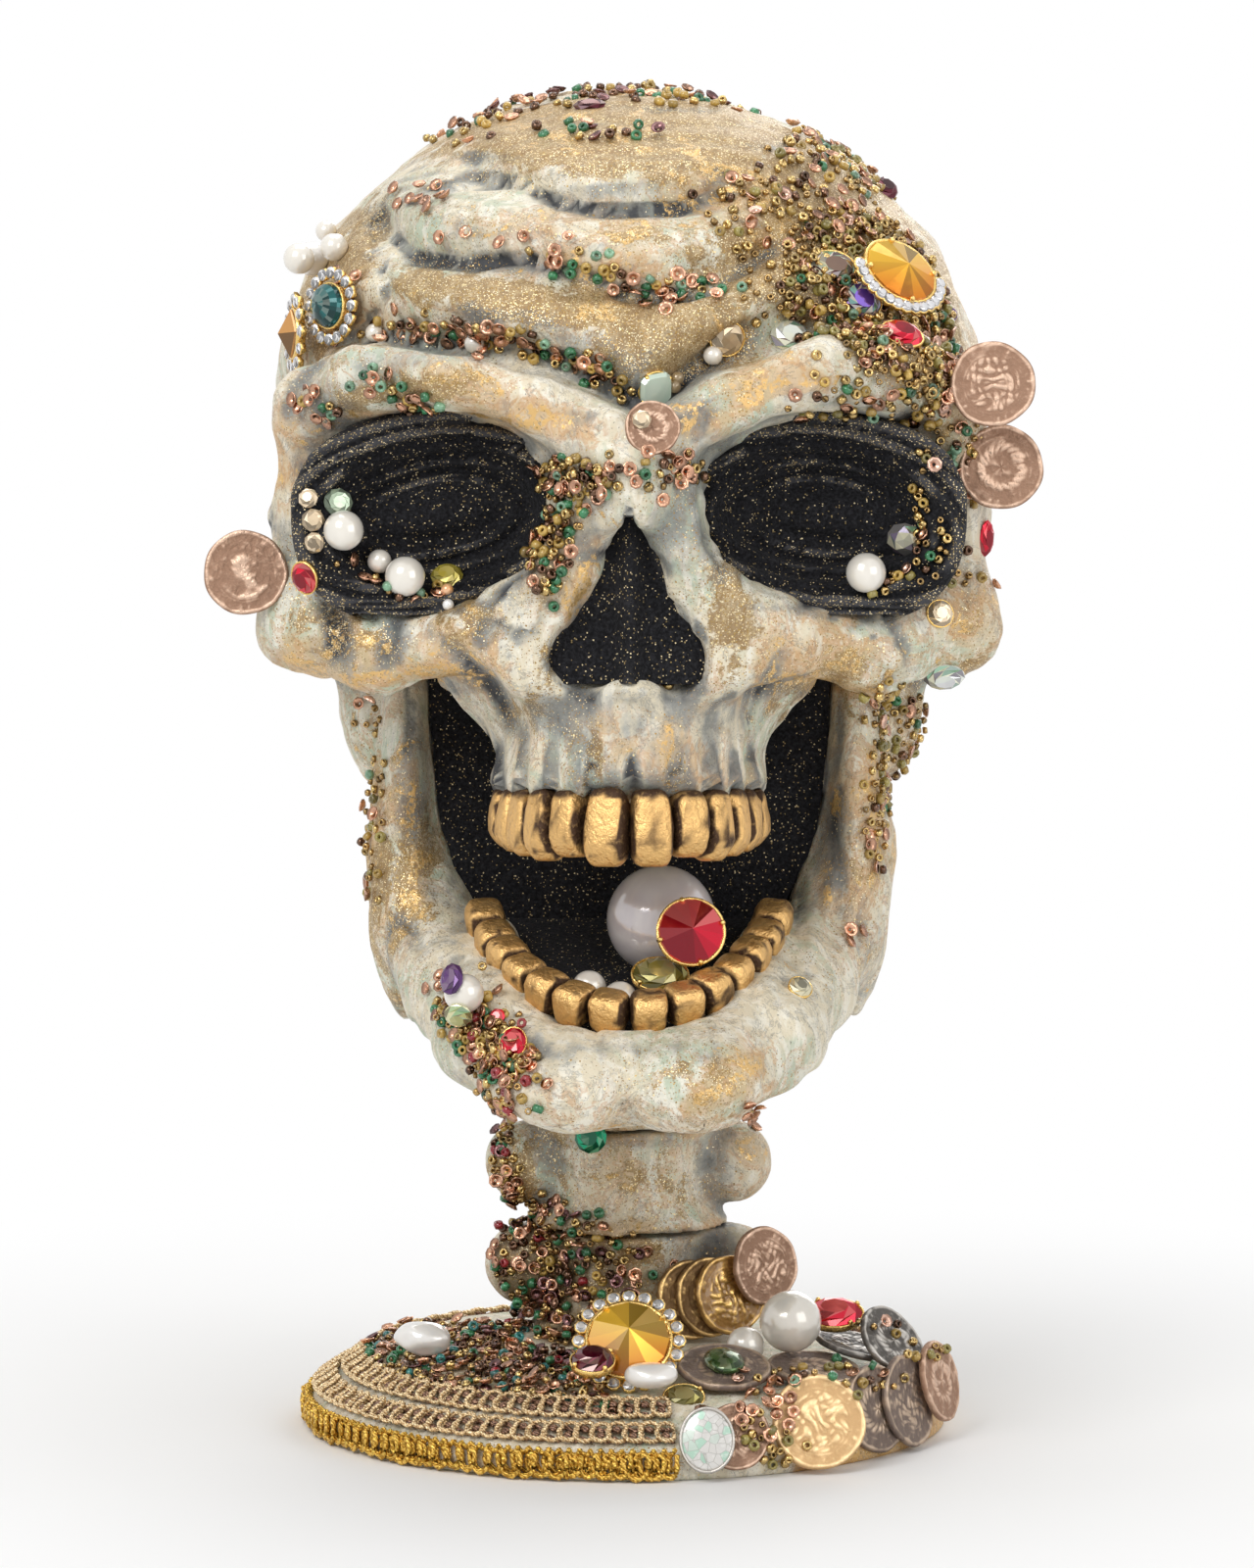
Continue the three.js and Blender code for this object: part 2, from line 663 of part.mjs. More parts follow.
function braidRing([fromShare, toShare]) {
  const place = (share, out) => [
    baseRadius + slope.x * share + slopeOut.x * out,
    baseEdgeHeight + slope.y * share + slopeOut.y * out,
  ];
  const [inner, outer] = [seatGap, seatGap + braidThickness];
  return trimRing([
    place(fromShare, inner),
    place(fromShare, outer),
    place(toShare, outer),
    place(toShare, inner),
  ]);
}

const fringe = trimRing([
  [baseRadius + seatGap, fringeFoot],
  [baseRadius + fringeThickness, fringeFoot],
  [baseRadius + fringeThickness, baseEdgeHeight],
  [baseRadius + seatGap, baseEdgeHeight],
]);
add("gold_fringe", fringe, brightGold);
const braids = Object.entries(braidRowShares).map(([row, shares]) =>
  add(`braid_${row}`, braidRing(shares), goldBraid),
);

// Mouth lining: a dark wall between the branches of the jaw and a floor inside the lower teeth
const mouthLining = {
  halfWidthShare: 0.293,
  planShares: { middle: -0.06, halfWidth: 0.28, halfDepth: 0.353 },
};
const mouthLiningShares = [
  [-0.106, 0.3],
  [-0.106, -0.079],
  [-0.424, -0.24],
  [-0.424, -0.297],
  [-0.059, -0.111],
  [-0.059, 0.3],
];
const planSteps = 20;

function mouthLiningBlank() {
  const halfWidth = mouthLining.halfWidthShare * skullWidth;
  const outline = mouthLiningShares.map(([y, z]) => [y * skullDepth, z * skullHeight]);
  const turn = new THREE.Matrix4().makeBasis(
    new THREE.Vector3(0, 1, 0),
    new THREE.Vector3(0, 0, 1),
    new THREE.Vector3(1, 0, 0),
  );
  const section = shifted(moved(extruded(outline, 2 * halfWidth), turn), -halfWidth, 0, 0);
  const { middle, halfWidth: planWidth, halfDepth } = mouthLining.planShares;
  const plan = Array.from({ length: planSteps }, (_, k) => {
    const angle = (2 * Math.PI * k) / planSteps;
    return [planWidth * skullWidth * Math.cos(angle), (middle + halfDepth * Math.sin(angle)) * skullDepth];
  });
  return section.intersect(shifted(extruded(plan, skullHeight), 0, 0, -skullHeight / 2));
}

const inHeadFrame = (solid) => moved(solid, headFrame);
const cutMouthLining = inHeadFrame(mouthLiningBlank()).subtract(craniumRoom).subtract(mandibleRoom);
const mouthLiner = add("mouth_liner", largestOf(cutMouthLining), blackFlock);

// Socket and nose linings
const linesRound = (lowShares, highShares, cell) =>
  headSize.map((size, k) =>
    gridLines(lowShares[k] * size - 2 * cell, highShares[k] * size + 2 * cell, [[size, cell]]),
  );
const socketReachShares = { low: [0.04, -0.47, 0.27], high: [0.46, -0.25, 0.58] };
const noseReachShares = { low: [-0.15, -0.53, 0.19], high: [0.15, -0.41, 0.44] };
const socketLines = (side) => {
  const [low, high] = [socketReachShares.low, socketReachShares.high];
  return side > 0
    ? linesRound(low, high, linerCell)
    : linesRound([-high[0], ...low.slice(1)], [-low[0], ...high.slice(1)], linerCell);
};
const eyeLiners = Object.entries({ left: -1, right: 1 }).map(([name, side]) => {
  const skin = skinOf(([x, y, z]) => eyeLiningDistance([side * x, y, z]), socketLines(side));
  return add(`eye_liner_${name}`, largestOf(inHeadFrame(solidOf(skin)).subtract(craniumRoom)), blackFlock);
});

const noseLines = linesRound(noseReachShares.low, noseReachShares.high, linerCell);
const noseSkin = skinOf(noseLiningDistance, noseLines);
add("nose_liner", largestOf(inHeadFrame(solidOf(noseSkin)).subtract(craniumRoom)), blackFlock);

// Teeth: each row is one cast strip of teeth that touch their neighbours, with a notch between each two.
const toothDepth = 7;
const upperToothHeight = 14;
const lowerToothHeight = 9;
const toothNotch = 1.1;
const rootTaper = 1.2;
const shoulderShare = 0.32;
const upperToothShares = [0.054, 0.048, 0.048, 0.045, 0.045, 0.056];
const lowerToothShares = [0.05, 0.05, 0.05, 0.05, 0.052, 0.056, 0.06];
const upperRowShares = { halfWidth: 0.163, halfDepth: 0.212, middle: -0.25 };
const lowerRowShares = { halfWidth: 0.207, halfDepth: 0.339, front: -0.424, level: -0.159 };
const jawSlope = degrees(25.5);
const marchSteps = 8;

// A row of teeth along half an ellipse whose front is on its own -Y side, biting edges on its plane z = 0. Its
// outline goes out along the lips' side, with two shoulders and a notch for each tooth, and back along the
// tongue's side.
function toothRow(widthShares, rowShares, height) {
  const [halfWidth, halfDepth] = [rowShares.halfWidth * skullWidth, rowShares.halfDepth * skullDepth];
  const speed = (t) => Math.hypot(halfWidth * Math.cos(t), halfDepth * Math.sin(t));
  const placeAt = (t, out) => {
    const [x, y] = [halfWidth * Math.sin(t), -halfDepth * Math.cos(t)];
    const normal = new THREE.Vector2(halfDepth * Math.sin(t), -halfWidth * Math.cos(t)).normalize();
    return [x + out * normal.x, y + out * normal.y];
  };
  let t = 0;
  const march = (length) => {
    for (let k = 0; k < marchSteps; k++) t += length / marchSteps / speed(t);
  };
  const lips = [placeAt(0, toothDepth / 2 - toothNotch)];
  const tongue = [placeAt(0, -toothDepth / 2)];
  for (const share of widthShares) {
    const width = share * skullWidth;
    const steps = [0.5 - shoulderShare, 2 * shoulderShare, 0.5 - shoulderShare];
    steps.forEach((step, k) => {
      march(step * width);
      lips.push(placeAt(t, toothDepth / 2 - (k < 2 ? 0 : toothNotch)));
    });
    tongue.push(placeAt(t, -toothDepth / 2));
  }
  const half = [...lips, ...tongue.reverse()];
  const mirrored = half.slice(1, -1).map(([x, y]) => [-x, y]);
  const geometry = geometryOf(extruded([...half, ...mirrored.reverse()], height));
  const position = geometry.getAttribute("position");
  for (let i = 0; i < position.count; i++)
    if (position.getZ(i) > height / 2) {
      const narrowing = 1 - rootTaper / halfWidth;
      position.setXYZ(i, position.getX(i) * narrowing, position.getY(i) * narrowing, position.getZ(i));
    }
  return solidOf(geometry);
}

const upperRow = shifted(
  toothRow(upperToothShares, upperRowShares, upperToothHeight),
  0,
  upperRowShares.middle * skullDepth,
  0,
);
add("upper_teeth", largestOf(inHeadFrame(upperRow).subtract(craniumRoom)), goldPaint);

// The lower row stands on the swung-open jaw: its teeth point up, and its plane rises towards the back.
const lowerRowFrame = new THREE.Matrix4()
  .makeTranslation(0, lowerRowShares.front * skullDepth, lowerRowShares.level * skullHeight)
  .multiply(new THREE.Matrix4().makeRotationX(jawSlope))
  .multiply(new THREE.Matrix4().makeTranslation(0, lowerRowShares.halfDepth * skullDepth, 0))
  .multiply(new THREE.Matrix4().makeRotationY(Math.PI));
const lowerRow = moved(toothRow(lowerToothShares, lowerRowShares, lowerToothHeight), lowerRowFrame);
const lowerTeeth = add("lower_teeth", largestOf(inHeadFrame(lowerRow).subtract(mandibleRoom)), goldPaint);

// Bead crusts: small beads glued on so densely that they form a layer
const crustThickness = 2.4;
const crustSides = 10;
const headCrusts = [
  {
    name: "temple_bead_crust",
    carrier: headSkin,
    patchShares: { centre: [0.345, -0.36, 0.69], radius: [0.15, 0.16, 0.135] },
  },
  {
    name: "nose_root_bead_crust",
    carrier: headSkin,
    patchShares: { centre: [-0.075, -0.52, 0.4], radius: [0.05, 0.08, 0.085] },
  },
  {
    name: "jaw_bead_crust",
    carrier: jawSkin,
    patchShares: { centre: [-0.175, -0.4, -0.215], radius: [0.075, 0.09, 0.085] },
  },
];
const headStock = [cranium, mandible, ...eyeLiners];
for (const { name, carrier, patchShares } of headCrusts) {
  const patch = inHeadFrame(ellipsoid(inHead(patchShares.radius), inHead(patchShares.centre), crustSides));
  const layer = grown(carrier, crustThickness).intersect(patch);
  const bare = fitted(layer.subtract(craniumRoom).subtract(mandibleRoom), [lowerTeeth, ...eyeLiners]);
  headStock.push(add(name, bare, beadCrust));
}

const neckPatchShares = { centre: [-0.55, -0.85, 0.95], radius: [1, 0.8, 1.05] };
const neckPatch = ellipsoid(
  [neckPatchShares.radius[0], neckPatchShares.radius[1]]
    .map((share) => share * vertebraLipRadius)
    .concat(neckPatchShares.radius[2] * vertebraPitch),
  [
    neckPatchShares.centre[0] * vertebraLipRadius,
    neckDepth + neckPatchShares.centre[1] * vertebraLipRadius,
    neckFloor + neckPatchShares.centre[2] * vertebraPitch,
  ],
  crustSides,
);
const crustedVertebrae = vertebrae.slice(0, 2);
const neckLayer = joined(crustedVertebrae.map((vertebra) => grown(vertebra, crustThickness))).intersect(neckPatch);
const baseRoom = shifted(base, 0, 0, seatGap);
const neckCrust = fitted(neckLayer.subtract(baseRoom), crustedVertebrae);
add("neck_bead_crust", neckCrust, beadCrust);

const baseCrustFrom = degrees(-118);
const baseCrustTo = degrees(-8);
const crownSlope = [0.5 * baseShoulderRadius, baseCrownHeight];
const shoulder = [0.96 * baseShoulderRadius, baseShoulderHeight];
const baseCrustProfile = [
  [crownSlope[0], crownSlope[1] + seatGap],
  [shoulder[0], shoulder[1] + seatGap],
  [shoulder[0], shoulder[1] + crustThickness],
  [crownSlope[0], crownSlope[1] + crustThickness],
];
const baseLayer = turned([...baseCrustProfile, baseCrustProfile[0]], baseSides).intersect(
  sector(baseCrustFrom, baseCrustTo),
);
const baseCrust = add(
  "base_bead_crust",
  fitted(baseLayer.subtract(baseRoom), [neckCrust, ...vertebrae.slice(0, 1)]),
  beadCrust,
);

// Loose pieces glued on: coins, pearls and stones
const coinThickness = 1.5;
const coinSides = 12;
const tinyCoinRadius = 5.4;
const coinRadius = 8.4;
const wideCoinRadius = 9.8;
const pearlSides = 8;
const gemSides = 8;

const disc = (radius, thickness) =>
  shifted(
    turned(
      [
        [0, 0],
        [radius, 0],
        [radius, thickness],
        [0, thickness],
      ],
      coinSides,
    ),
    0,
    0,
    -thickness / 2,
  );
const coin = (radius) => disc(radius, coinThickness);
const roundPearl = (radius) => ellipsoid([radius, radius, radius], [0, 0, 0], pearlSides);

// A cut stone in its setting, its table towards +Z. The oval ones are longer across than up.
function stone(radius, height, oval = 1) {
  const profileShares = [
    [0.65, 0],
    [1, 0.45],
    [1, 0.6],
    [0.55, 1],
  ];
  const profile = profileShares.map(([r, h]) => [r * radius, (h - 0.5) * height]);
  const turnedStone = turned([[0, -height / 2], ...profile, [0, height / 2]], gemSides);
  return moved(turnedStone, new THREE.Matrix4().makeScale(oval, 1, 1));
}

const rotated = (direction) => new THREE.Vector3(...direction).transformDirection(headFrame).toArray();

// Glues a piece on: it slides from its place onto the pieces in stock, which it then joins.
function glue(name, blank, finish, at, facing, slide, stock) {
  const piece = settled(posed(blank, facing, at), slide, stock);
  stock.push(piece);
  return add(name, piece, finish);
}

function glueInHead({ name, blank, finish, placeShares, facing = [0, -1, 0], slide = [0, 1, 0] }, stock) {
  const at = new THREE.Vector3(...inHead(placeShares)).applyMatrix4(headFrame).toArray();
  return glue(name, blank, finish, at, rotated(facing), rotated(slide), stock);
}

// Sizes of the glued stones and pearls
const browCoinFacing = [0.1, -1, 0.15];
const mouthPearlRadius = 11.4;
const seedPearlRadius = 3.6;
const rimPearlRadius = 4.1;
const basePearlRadius = 6.6;
const rivoliRadius = 6.8;
const rivoliHeight = 5;
const settingHeight = 6;
const templeJewelRadius = 7.6;
const jewelOval = 1.35;
const navetteRadius = 6.6;
const squareStoneRadius = 6.4;
const emeraldRadius = 3.5;
const amberFrameRadius = 11;
const smallSettingRadius = 4.4;
const chipPearlRadii = [6, 4, 3];
const baroquePearlRadii = [6.2, 4, 4];
const pendantRadius = 6.6;
const pendantOval = 1.2;

const headPieces = [
  { name: "cheek_coin", blank: coin(coinRadius), finish: copper, placeShares: [-0.508, -0.36, 0.356] },
  { name: "temple_coin_upper", blank: coin(coinRadius), finish: copper, placeShares: [0.477, -0.34, 0.585] },
  { name: "temple_coin_lower", blank: coin(coinRadius), finish: copper, placeShares: [0.492, -0.32, 0.486] },
  {
    name: "brow_coin",
    blank: coin(tinyCoinRadius),
    finish: copper,
    placeShares: [0.03, -0.56, 0.523],
    facing: browCoinFacing,
  },
  { name: "left_eye_pearl_outer", blank: roundPearl(rimPearlRadius), placeShares: [-0.373, -0.45, 0.404] },
  { name: "left_eye_pearl_inner", blank: roundPearl(rimPearlRadius), placeShares: [-0.293, -0.46, 0.348] },
  { name: "right_eye_pearl", blank: roundPearl(rimPearlRadius), placeShares: [0.31, -0.46, 0.3525] },
  { name: "jaw_pearl", blank: roundPearl(rimPearlRadius), placeShares: [-0.217, -0.42, -0.1645] },
  { name: "temple_pearl", blank: roundPearl(seedPearlRadius), placeShares: [-0.43, -0.25, 0.76] },
  {
    name: "temple_amber_jewel",
    blank: stone(templeJewelRadius, settingHeight, jewelOval),
    finish: amber,
    placeShares: [0.371, -0.4, 0.73],
    facing: [0.42, -0.85, 0.32],
    slide: [-0.42, 0.85, -0.32],
  },
  {
    name: "temple_teal_jewel",
    blank: stone(navetteRadius, settingHeight, 1 / pendantOval),
    finish: emerald,
    placeShares: [-0.431, -0.34, 0.69],
    facing: [-0.75, -0.65, 0.1],
    slide: [0.75, 0.65, 0],
  },
  {
    name: "temple_honey_jewel",
    blank: stone(squareStoneRadius, settingHeight),
    finish: amber,
    placeShares: [-0.5, -0.26, 0.66],
    facing: [-0.97, -0.25, 0],
    slide: [1, 0, 0],
  },
];
for (const piece of headPieces) glueInHead({ finish: pearl, ...piece }, headStock);

// Mouth: a big pearl and a ruby stone, with two small pearls, lie on the floor behind the lower teeth.
const down = [0, 0, -1];
const mouthPieces = [
  { name: "mouth_pearl", blank: roundPearl(mouthPearlRadius), placeShares: [0.043, -0.26, -0.08], slide: down },
  {
    name: "mouth_seed_pearl_left",
    blank: roundPearl(seedPearlRadius),
    placeShares: [-0.053, -0.32, -0.11],
    slide: down,
  },
  {
    name: "mouth_seed_pearl_right",
    blank: roundPearl(seedPearlRadius),
    placeShares: [-0.012, -0.345, -0.12],
    slide: down,
  },
  {
    name: "mouth_ruby",
    blank: stone(rivoliRadius, rivoliHeight),
    finish: ruby,
    placeShares: [0.082, -0.36, -0.1],
    facing: [0.1, -1, 0.2],
    slide: [0, 0.4, -1],
  },
];
const mouthStock = [mouthLiner, mandible, lowerTeeth];
for (const piece of mouthPieces) glueInHead({ finish: pearl, ...piece }, mouthStock);

// Pieces that lean on the neck: places from its foot, across as shares of vertebraLipRadius and up as shares
// of vertebraPitch
const onNeck = ([across, deep, up]) => [
  across * vertebraLipRadius,
  neckDepth + deep * vertebraLipRadius,
  neckFloor + up * vertebraPitch,
];
const away = [0, 1, -0.19];
const inwards = [-0.8, 0.6, 0];
const baseStock = [plinth, fringe, ...braids, ...vertebrae.slice(0, 3), neckCrust, baseCrust];
const neckPieces = [
  {
    name: "neck_emerald",
    blank: stone(emeraldRadius, emeraldRadius),
    finish: emerald,
    placeShares: [-0.389, -1.332, 1.961],
    facing: [-0.2, -1, 0.1],
    slide: [0, 1, 0],
  },
  {
    name: "stack_coin_back",
    blank: coin(coinRadius),
    finish: oldGold,
    placeShares: [0.649, -1.072, 0.42],
    facing: [0.45, -0.85, 0.2],
    slide: away,
  },
  {
    name: "stack_coin_middle",
    blank: coin(coinRadius),
    finish: oldGold,
    placeShares: [0.843, -1.267, 0.481],
    facing: [0.45, -0.85, 0.2],
    slide: away,
  },
  {
    name: "stack_coin_front",
    blank: coin(coinRadius),
    finish: oldGold,
    placeShares: [1.038, -1.494, 0.541],
    facing: [0.5, -0.85, 0.2],
    slide: away,
  },
  {
    name: "wing_coin",
    blank: coin(coinRadius),
    finish: copper,
    placeShares: [1.395, -0.748, 0.693],
    facing: [0.6, -0.8, 0.15],
    slide: away,
  },
];
for (const { name, blank, finish, placeShares, facing, slide } of neckPieces)
  glue(name, blank, finish, onNeck(placeShares), facing, slide, baseStock);

// Base pile: places as shares of baseRadius, settled on the pieces before them
const onBase = (shares) => shares.map((share) => share * baseRadius);
const basePieces = [
  {
    name: "base_amber_jewel",
    blank: stone(amberFrameRadius, settingHeight),
    finish: amber,
    placeShares: [0, -0.66, 0.37],
    facing: [0, -0.79, 0.61],
    slide: down,
  },
  {
    name: "lying_brown_coin",
    blank: coin(wideCoinRadius),
    finish: darkCoin,
    placeShares: [0.57, -0.5, 0.3],
    facing: [0.1, -0.15, 1],
    slide: down,
  },
  {
    name: "lying_silver_coin",
    blank: coin(coinRadius),
    finish: steel,
    placeShares: [0.7, -0.3, 0.32],
    facing: [0.25, -0.1, 1],
    slide: down,
  },
  {
    name: "leaning_silver_coin",
    blank: coin(coinRadius),
    finish: steel,
    placeShares: [0.82, -0.33, 0.36],
    facing: [0.6, -0.5, 0.62],
    slide: down,
  },
  {
    name: "red_stone",
    blank: stone(smallSettingRadius, settingHeight, jewelOval),
    finish: ruby,
    placeShares: [0.64, -0.28, 0.42],
    facing: [0, -0.5, 0.85],
    slide: down,
  },
  {
    name: "base_pearl",
    blank: roundPearl(basePearlRadius),
    finish: pearl,
    placeShares: [0.5, -0.42, 0.42],
    slide: down,
  },
  {
    name: "cabochon_coin",
    blank: coin(wideCoinRadius),
    finish: darkCoin,
    placeShares: [0.29, -0.62, 0.32],
    facing: [0.05, -0.3, 1],
    slide: down,
  },
  {
    name: "small_base_pearl",
    blank: roundPearl(rimPearlRadius),
    finish: pearl,
    placeShares: [0.36, -0.42, 0.34],
    slide: down,
  },
  {
    name: "front_gold_coin",
    blank: coin(wideCoinRadius),
    finish: oldGold,
    placeShares: [0.57, -0.86, 0.155],
    facing: [0.2, -0.93, 0.3],
    slide: [-0.55, 0.83, 0],
  },
  {
    name: "shell_pendant",
    blank: stone(pendantRadius, coinThickness, 1 / pendantOval),
    finish: mint,
    placeShares: [0.24, -1.02, 0.125],
    facing: [-0.05, -0.95, 0.3],
    slide: [-0.2, 0.97, 0],
  },
  {
    name: "rim_dark_coin",
    blank: coin(wideCoinRadius),
    finish: darkCoin,
    placeShares: [0.89, -0.545, 0.155],
    facing: [0.84, -0.5, 0.22],
    slide: inwards,
  },
  {
    name: "rim_copper_coin",
    blank: coin(coinRadius),
    finish: copper,
    placeShares: [1, -0.41, 0.19],
    facing: [0.88, -0.42, 0.25],
    slide: inwards,
  },
  {
    name: "garnet_stone",
    blank: stone(smallSettingRadius, settingHeight),
    finish: ruby,
    placeShares: [-0.11, -0.79, 0.3],
    facing: [0, -0.4, 0.9],
    slide: down,
  },
  {
    name: "chip_pearl",
    blank: ellipsoid(chipPearlRadii, [0, 0, 0], pearlSides),
    finish: pearl,
    placeShares: [0.07, -0.82, 0.3],
    slide: down,
  },
  {
    name: "baroque_pearl",
    blank: ellipsoid(baroquePearlRadii, [0, 0, 0], pearlSides),
    finish: pearl,
    placeShares: [-0.64, -0.36, 0.32],
    slide: down,
  },
];
for (const { name, blank, finish, placeShares, facing = [0, 0, 1], slide } of basePieces)
  glue(name, blank, finish, onBase(placeShares), facing, slide, baseStock);

export default skull;
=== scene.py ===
"""Decorative skull: a painted resin skull on a neck of vertebrae and a round base, crusted with beads, coins,
pearls, cut stones, braid and fringe. Lengths are in millimetres until a piece is made, then in metres."""
import json

import bpy
import numpy as np
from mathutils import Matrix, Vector


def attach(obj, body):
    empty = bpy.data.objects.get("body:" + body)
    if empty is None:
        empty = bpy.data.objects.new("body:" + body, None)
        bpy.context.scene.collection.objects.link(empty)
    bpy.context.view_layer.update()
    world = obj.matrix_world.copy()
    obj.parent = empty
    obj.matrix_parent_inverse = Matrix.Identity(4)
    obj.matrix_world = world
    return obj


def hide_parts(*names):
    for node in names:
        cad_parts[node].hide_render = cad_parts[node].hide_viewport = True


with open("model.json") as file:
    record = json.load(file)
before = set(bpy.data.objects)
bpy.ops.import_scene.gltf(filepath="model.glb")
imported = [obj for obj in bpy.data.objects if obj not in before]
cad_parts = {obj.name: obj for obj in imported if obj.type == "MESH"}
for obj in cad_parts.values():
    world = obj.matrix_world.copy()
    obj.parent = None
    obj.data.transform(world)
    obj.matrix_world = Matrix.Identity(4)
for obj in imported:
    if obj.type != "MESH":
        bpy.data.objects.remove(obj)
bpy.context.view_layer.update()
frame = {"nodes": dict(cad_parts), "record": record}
nodes = frame["nodes"]
record = frame["record"]
MM = 0.001

# Sizes repeated from the part's source
SKULL = np.array([150.0, 170.0, 160.0], np.float32)
WIDTH, DEPTH, HEIGHT = SKULL
BITE = 119.0
LEAN = np.radians(4.8)
NECK_Y = 14.0
NECK_FOOT = 17.35
PITCH = 22.0
BASE_RADIUS = 66.5

# The view: camera place and aim, and the focal length in pixels of the 1280 x 1600 picture
EYE = np.array([-0.4, -1200.0, 235.0])
AIM = np.array([-0.4, 0.0, 134.0])
FOCAL = 5884.0


# ---------------------------------------------------------------- places
def from_head(p):
    """Head places to the frame: turned back about X by the lean, then up to the bite."""
    c, s = np.cos(LEAN), np.sin(LEAN)
    return np.stack([p[:, 0], p[:, 1] * c + p[:, 2] * s, -p[:, 1] * s + p[:, 2] * c + BITE], 1)


def turn_from_head(n):
    """Directions in the head to the frame."""
    c, s = np.cos(LEAN), np.sin(LEAN)
    return np.stack([n[:, 0], n[:, 1] * c + n[:, 2] * s, -n[:, 1] * s + n[:, 2] * c], 1)


def to_head(p):
    """Frame places to the head's own axes: the inverse of from_head."""
    c, s = np.cos(LEAN), np.sin(LEAN)
    y, z = p[:, 1], p[:, 2] - BITE
    return np.stack([p[:, 0], y * c - z * s, y * s + z * c], 1)


def in_view(p):
    """Where places in the frame show in the 1280 x 1600 picture: across and down in pixels, by perspective."""
    ahead = (AIM - EYE) / np.linalg.norm(AIM - EYE)
    across = np.array([1.0, 0.0, 0.0])
    up = np.cross(across, ahead)
    d = p - EYE
    depth = d @ ahead
    return np.stack([640 + FOCAL * (d @ across) / depth, 800 - FOCAL * (d @ up) / depth], 1)


# ---------------------------------------------------------------- shape tools
chance = np.random.default_rng(11)
LATTICE = chance.random((24, 24, 24)).astype(np.float32)


def cloud(p, size, shift=0.0):
    """Smooth noise from -1 to 1: random numbers on a lattice with that spacing, blended between its corners."""
    q = np.asarray(p, np.float32) / np.asarray(size, np.float32) + shift
    low = np.floor(q).astype(np.int32)
    f = q - low
    f = f * f * (3 - 2 * f)
    total = np.zeros(len(q), np.float32)
    for corner in np.ndindex(2, 2, 2):
        near = np.where(np.array(corner) == 1, f, 1 - f).prod(1)
        i, j, k = ((low + corner) % 24).T
        total += near * LATTICE[i, j, k]
    return 2 * total - 1


def rough(p, size, shift=0.0):
    """Three layers of cloud, each half as large and half as strong as the one before."""
    return (cloud(p, size, shift) + cloud(p, size / 2, shift + 3.1) / 2 + cloud(p, size / 4, shift + 5.7) / 4) / 1.5


def segment_distance(q, a, b):
    """Distance in the plane from points to a straight piece, and how far along it the nearest place is (0 to 1)."""
    a, b = np.asarray(a, np.float32), np.asarray(b, np.float32)
    t = np.clip(((q - a) @ (b - a)) / max(float((b - a) @ (b - a)), 1e-6), 0, 1)
    return np.linalg.norm(q - a - t[:, None] * (b - a), axis=1), t


def line_marks(q, lines):
    """Lines drawn in the view: each is (points, half width in pixels, strength). The strength falls off from the
    line as a bell, and tapers towards its two ends."""
    total = np.zeros(len(q), np.float32)
    for points, width, strength in lines:
        best = np.full(len(q), 1e9, np.float32)
        place = np.zeros(len(q), np.float32)
        pieces = len(points) - 1
        for k in range(pieces):
            d, t = segment_distance(q, points[k], points[k + 1])
            nearer = d < best
            best = np.where(nearer, d, best)
            place = np.where(nearer, (k + t) / pieces, place)
        taper = np.clip(4 * np.minimum(place, 1 - place) + 0.35, 0, 1)
        total += strength * taper * np.exp(-((best / width) ** 2))
    return total


def blots(q, spots):
    """Soft ovals in the view: each is (x, y, half width, half height, turn in degrees, strength). The strongest
    counts: strength x bell(distance as a share of the oval)."""
    best = np.zeros(len(q), np.float32)
    for x, y, rx, ry, turn, strength in spots:
        c, s = np.cos(np.radians(turn)), np.sin(np.radians(turn))
        u = ((q[:, 0] - x) * c + (q[:, 1] - y) * s) / rx
        v = (-(q[:, 0] - x) * s + (q[:, 1] - y) * c) / ry
        best = np.maximum(best, strength * np.exp(-((u * u + v * v) ** 1.5)))
    return best


def ellipsoid(p, centre, radius, size=SKULL):
    """Nearly the distance to an ellipsoid: n (n - 1) / |gradient|, where n is the place scaled by the radii."""
    r = size * np.asarray(radius, np.float32)
    u = (p - size * np.asarray(centre, np.float32)) / r
    near = np.sqrt((u * u).sum(-1))
    slope = np.sqrt(((u / r) ** 2).sum(-1))
    return near * (near - 1) / np.maximum(slope, 1e-6)


def bar(p, start, end):
    """Distance to a straight bar whose radius changes evenly from one end to the other."""
    a, b = SKULL * np.array(start[0], np.float32), SKULL * np.array(end[0], np.float32)
    t = np.clip(((p - a) @ (b - a)) / ((b - a) @ (b - a)), 0, 1)
    return np.sqrt(((p - a - t[..., None] * (b - a)) ** 2).sum(-1)) - WIDTH * (start[1] + (end[1] - start[1]) * t)


def blend(a, b, share):
    """The smaller of two distances, rounded where they meet over a width given as a share of the skull's width."""
    width = WIDTH * share
    h = np.maximum(width - np.abs(a - b), 0) / width
    return np.minimum(a, b) - h * h * width / 4


def carve(a, b, share):
    """a with b cut out of it, rounded along the cut."""
    return -blend(-a, b, share)


def chain(p, stations, share):
    """Bars from station to station, blended."""
    total = bar(p, stations[0], stations[1])
    for a, b in zip(stations[1:], stations[2:]):
        total = blend(total, bar(p, a, b), share)
    return total


def fade(value, start, length):
    """0 before start, 1 after start + length, straight between."""
    return np.clip((value - start) / length, 0, 1)


def bell(value, middle, width):
    return np.exp(-(((value - middle) / width) ** 2))


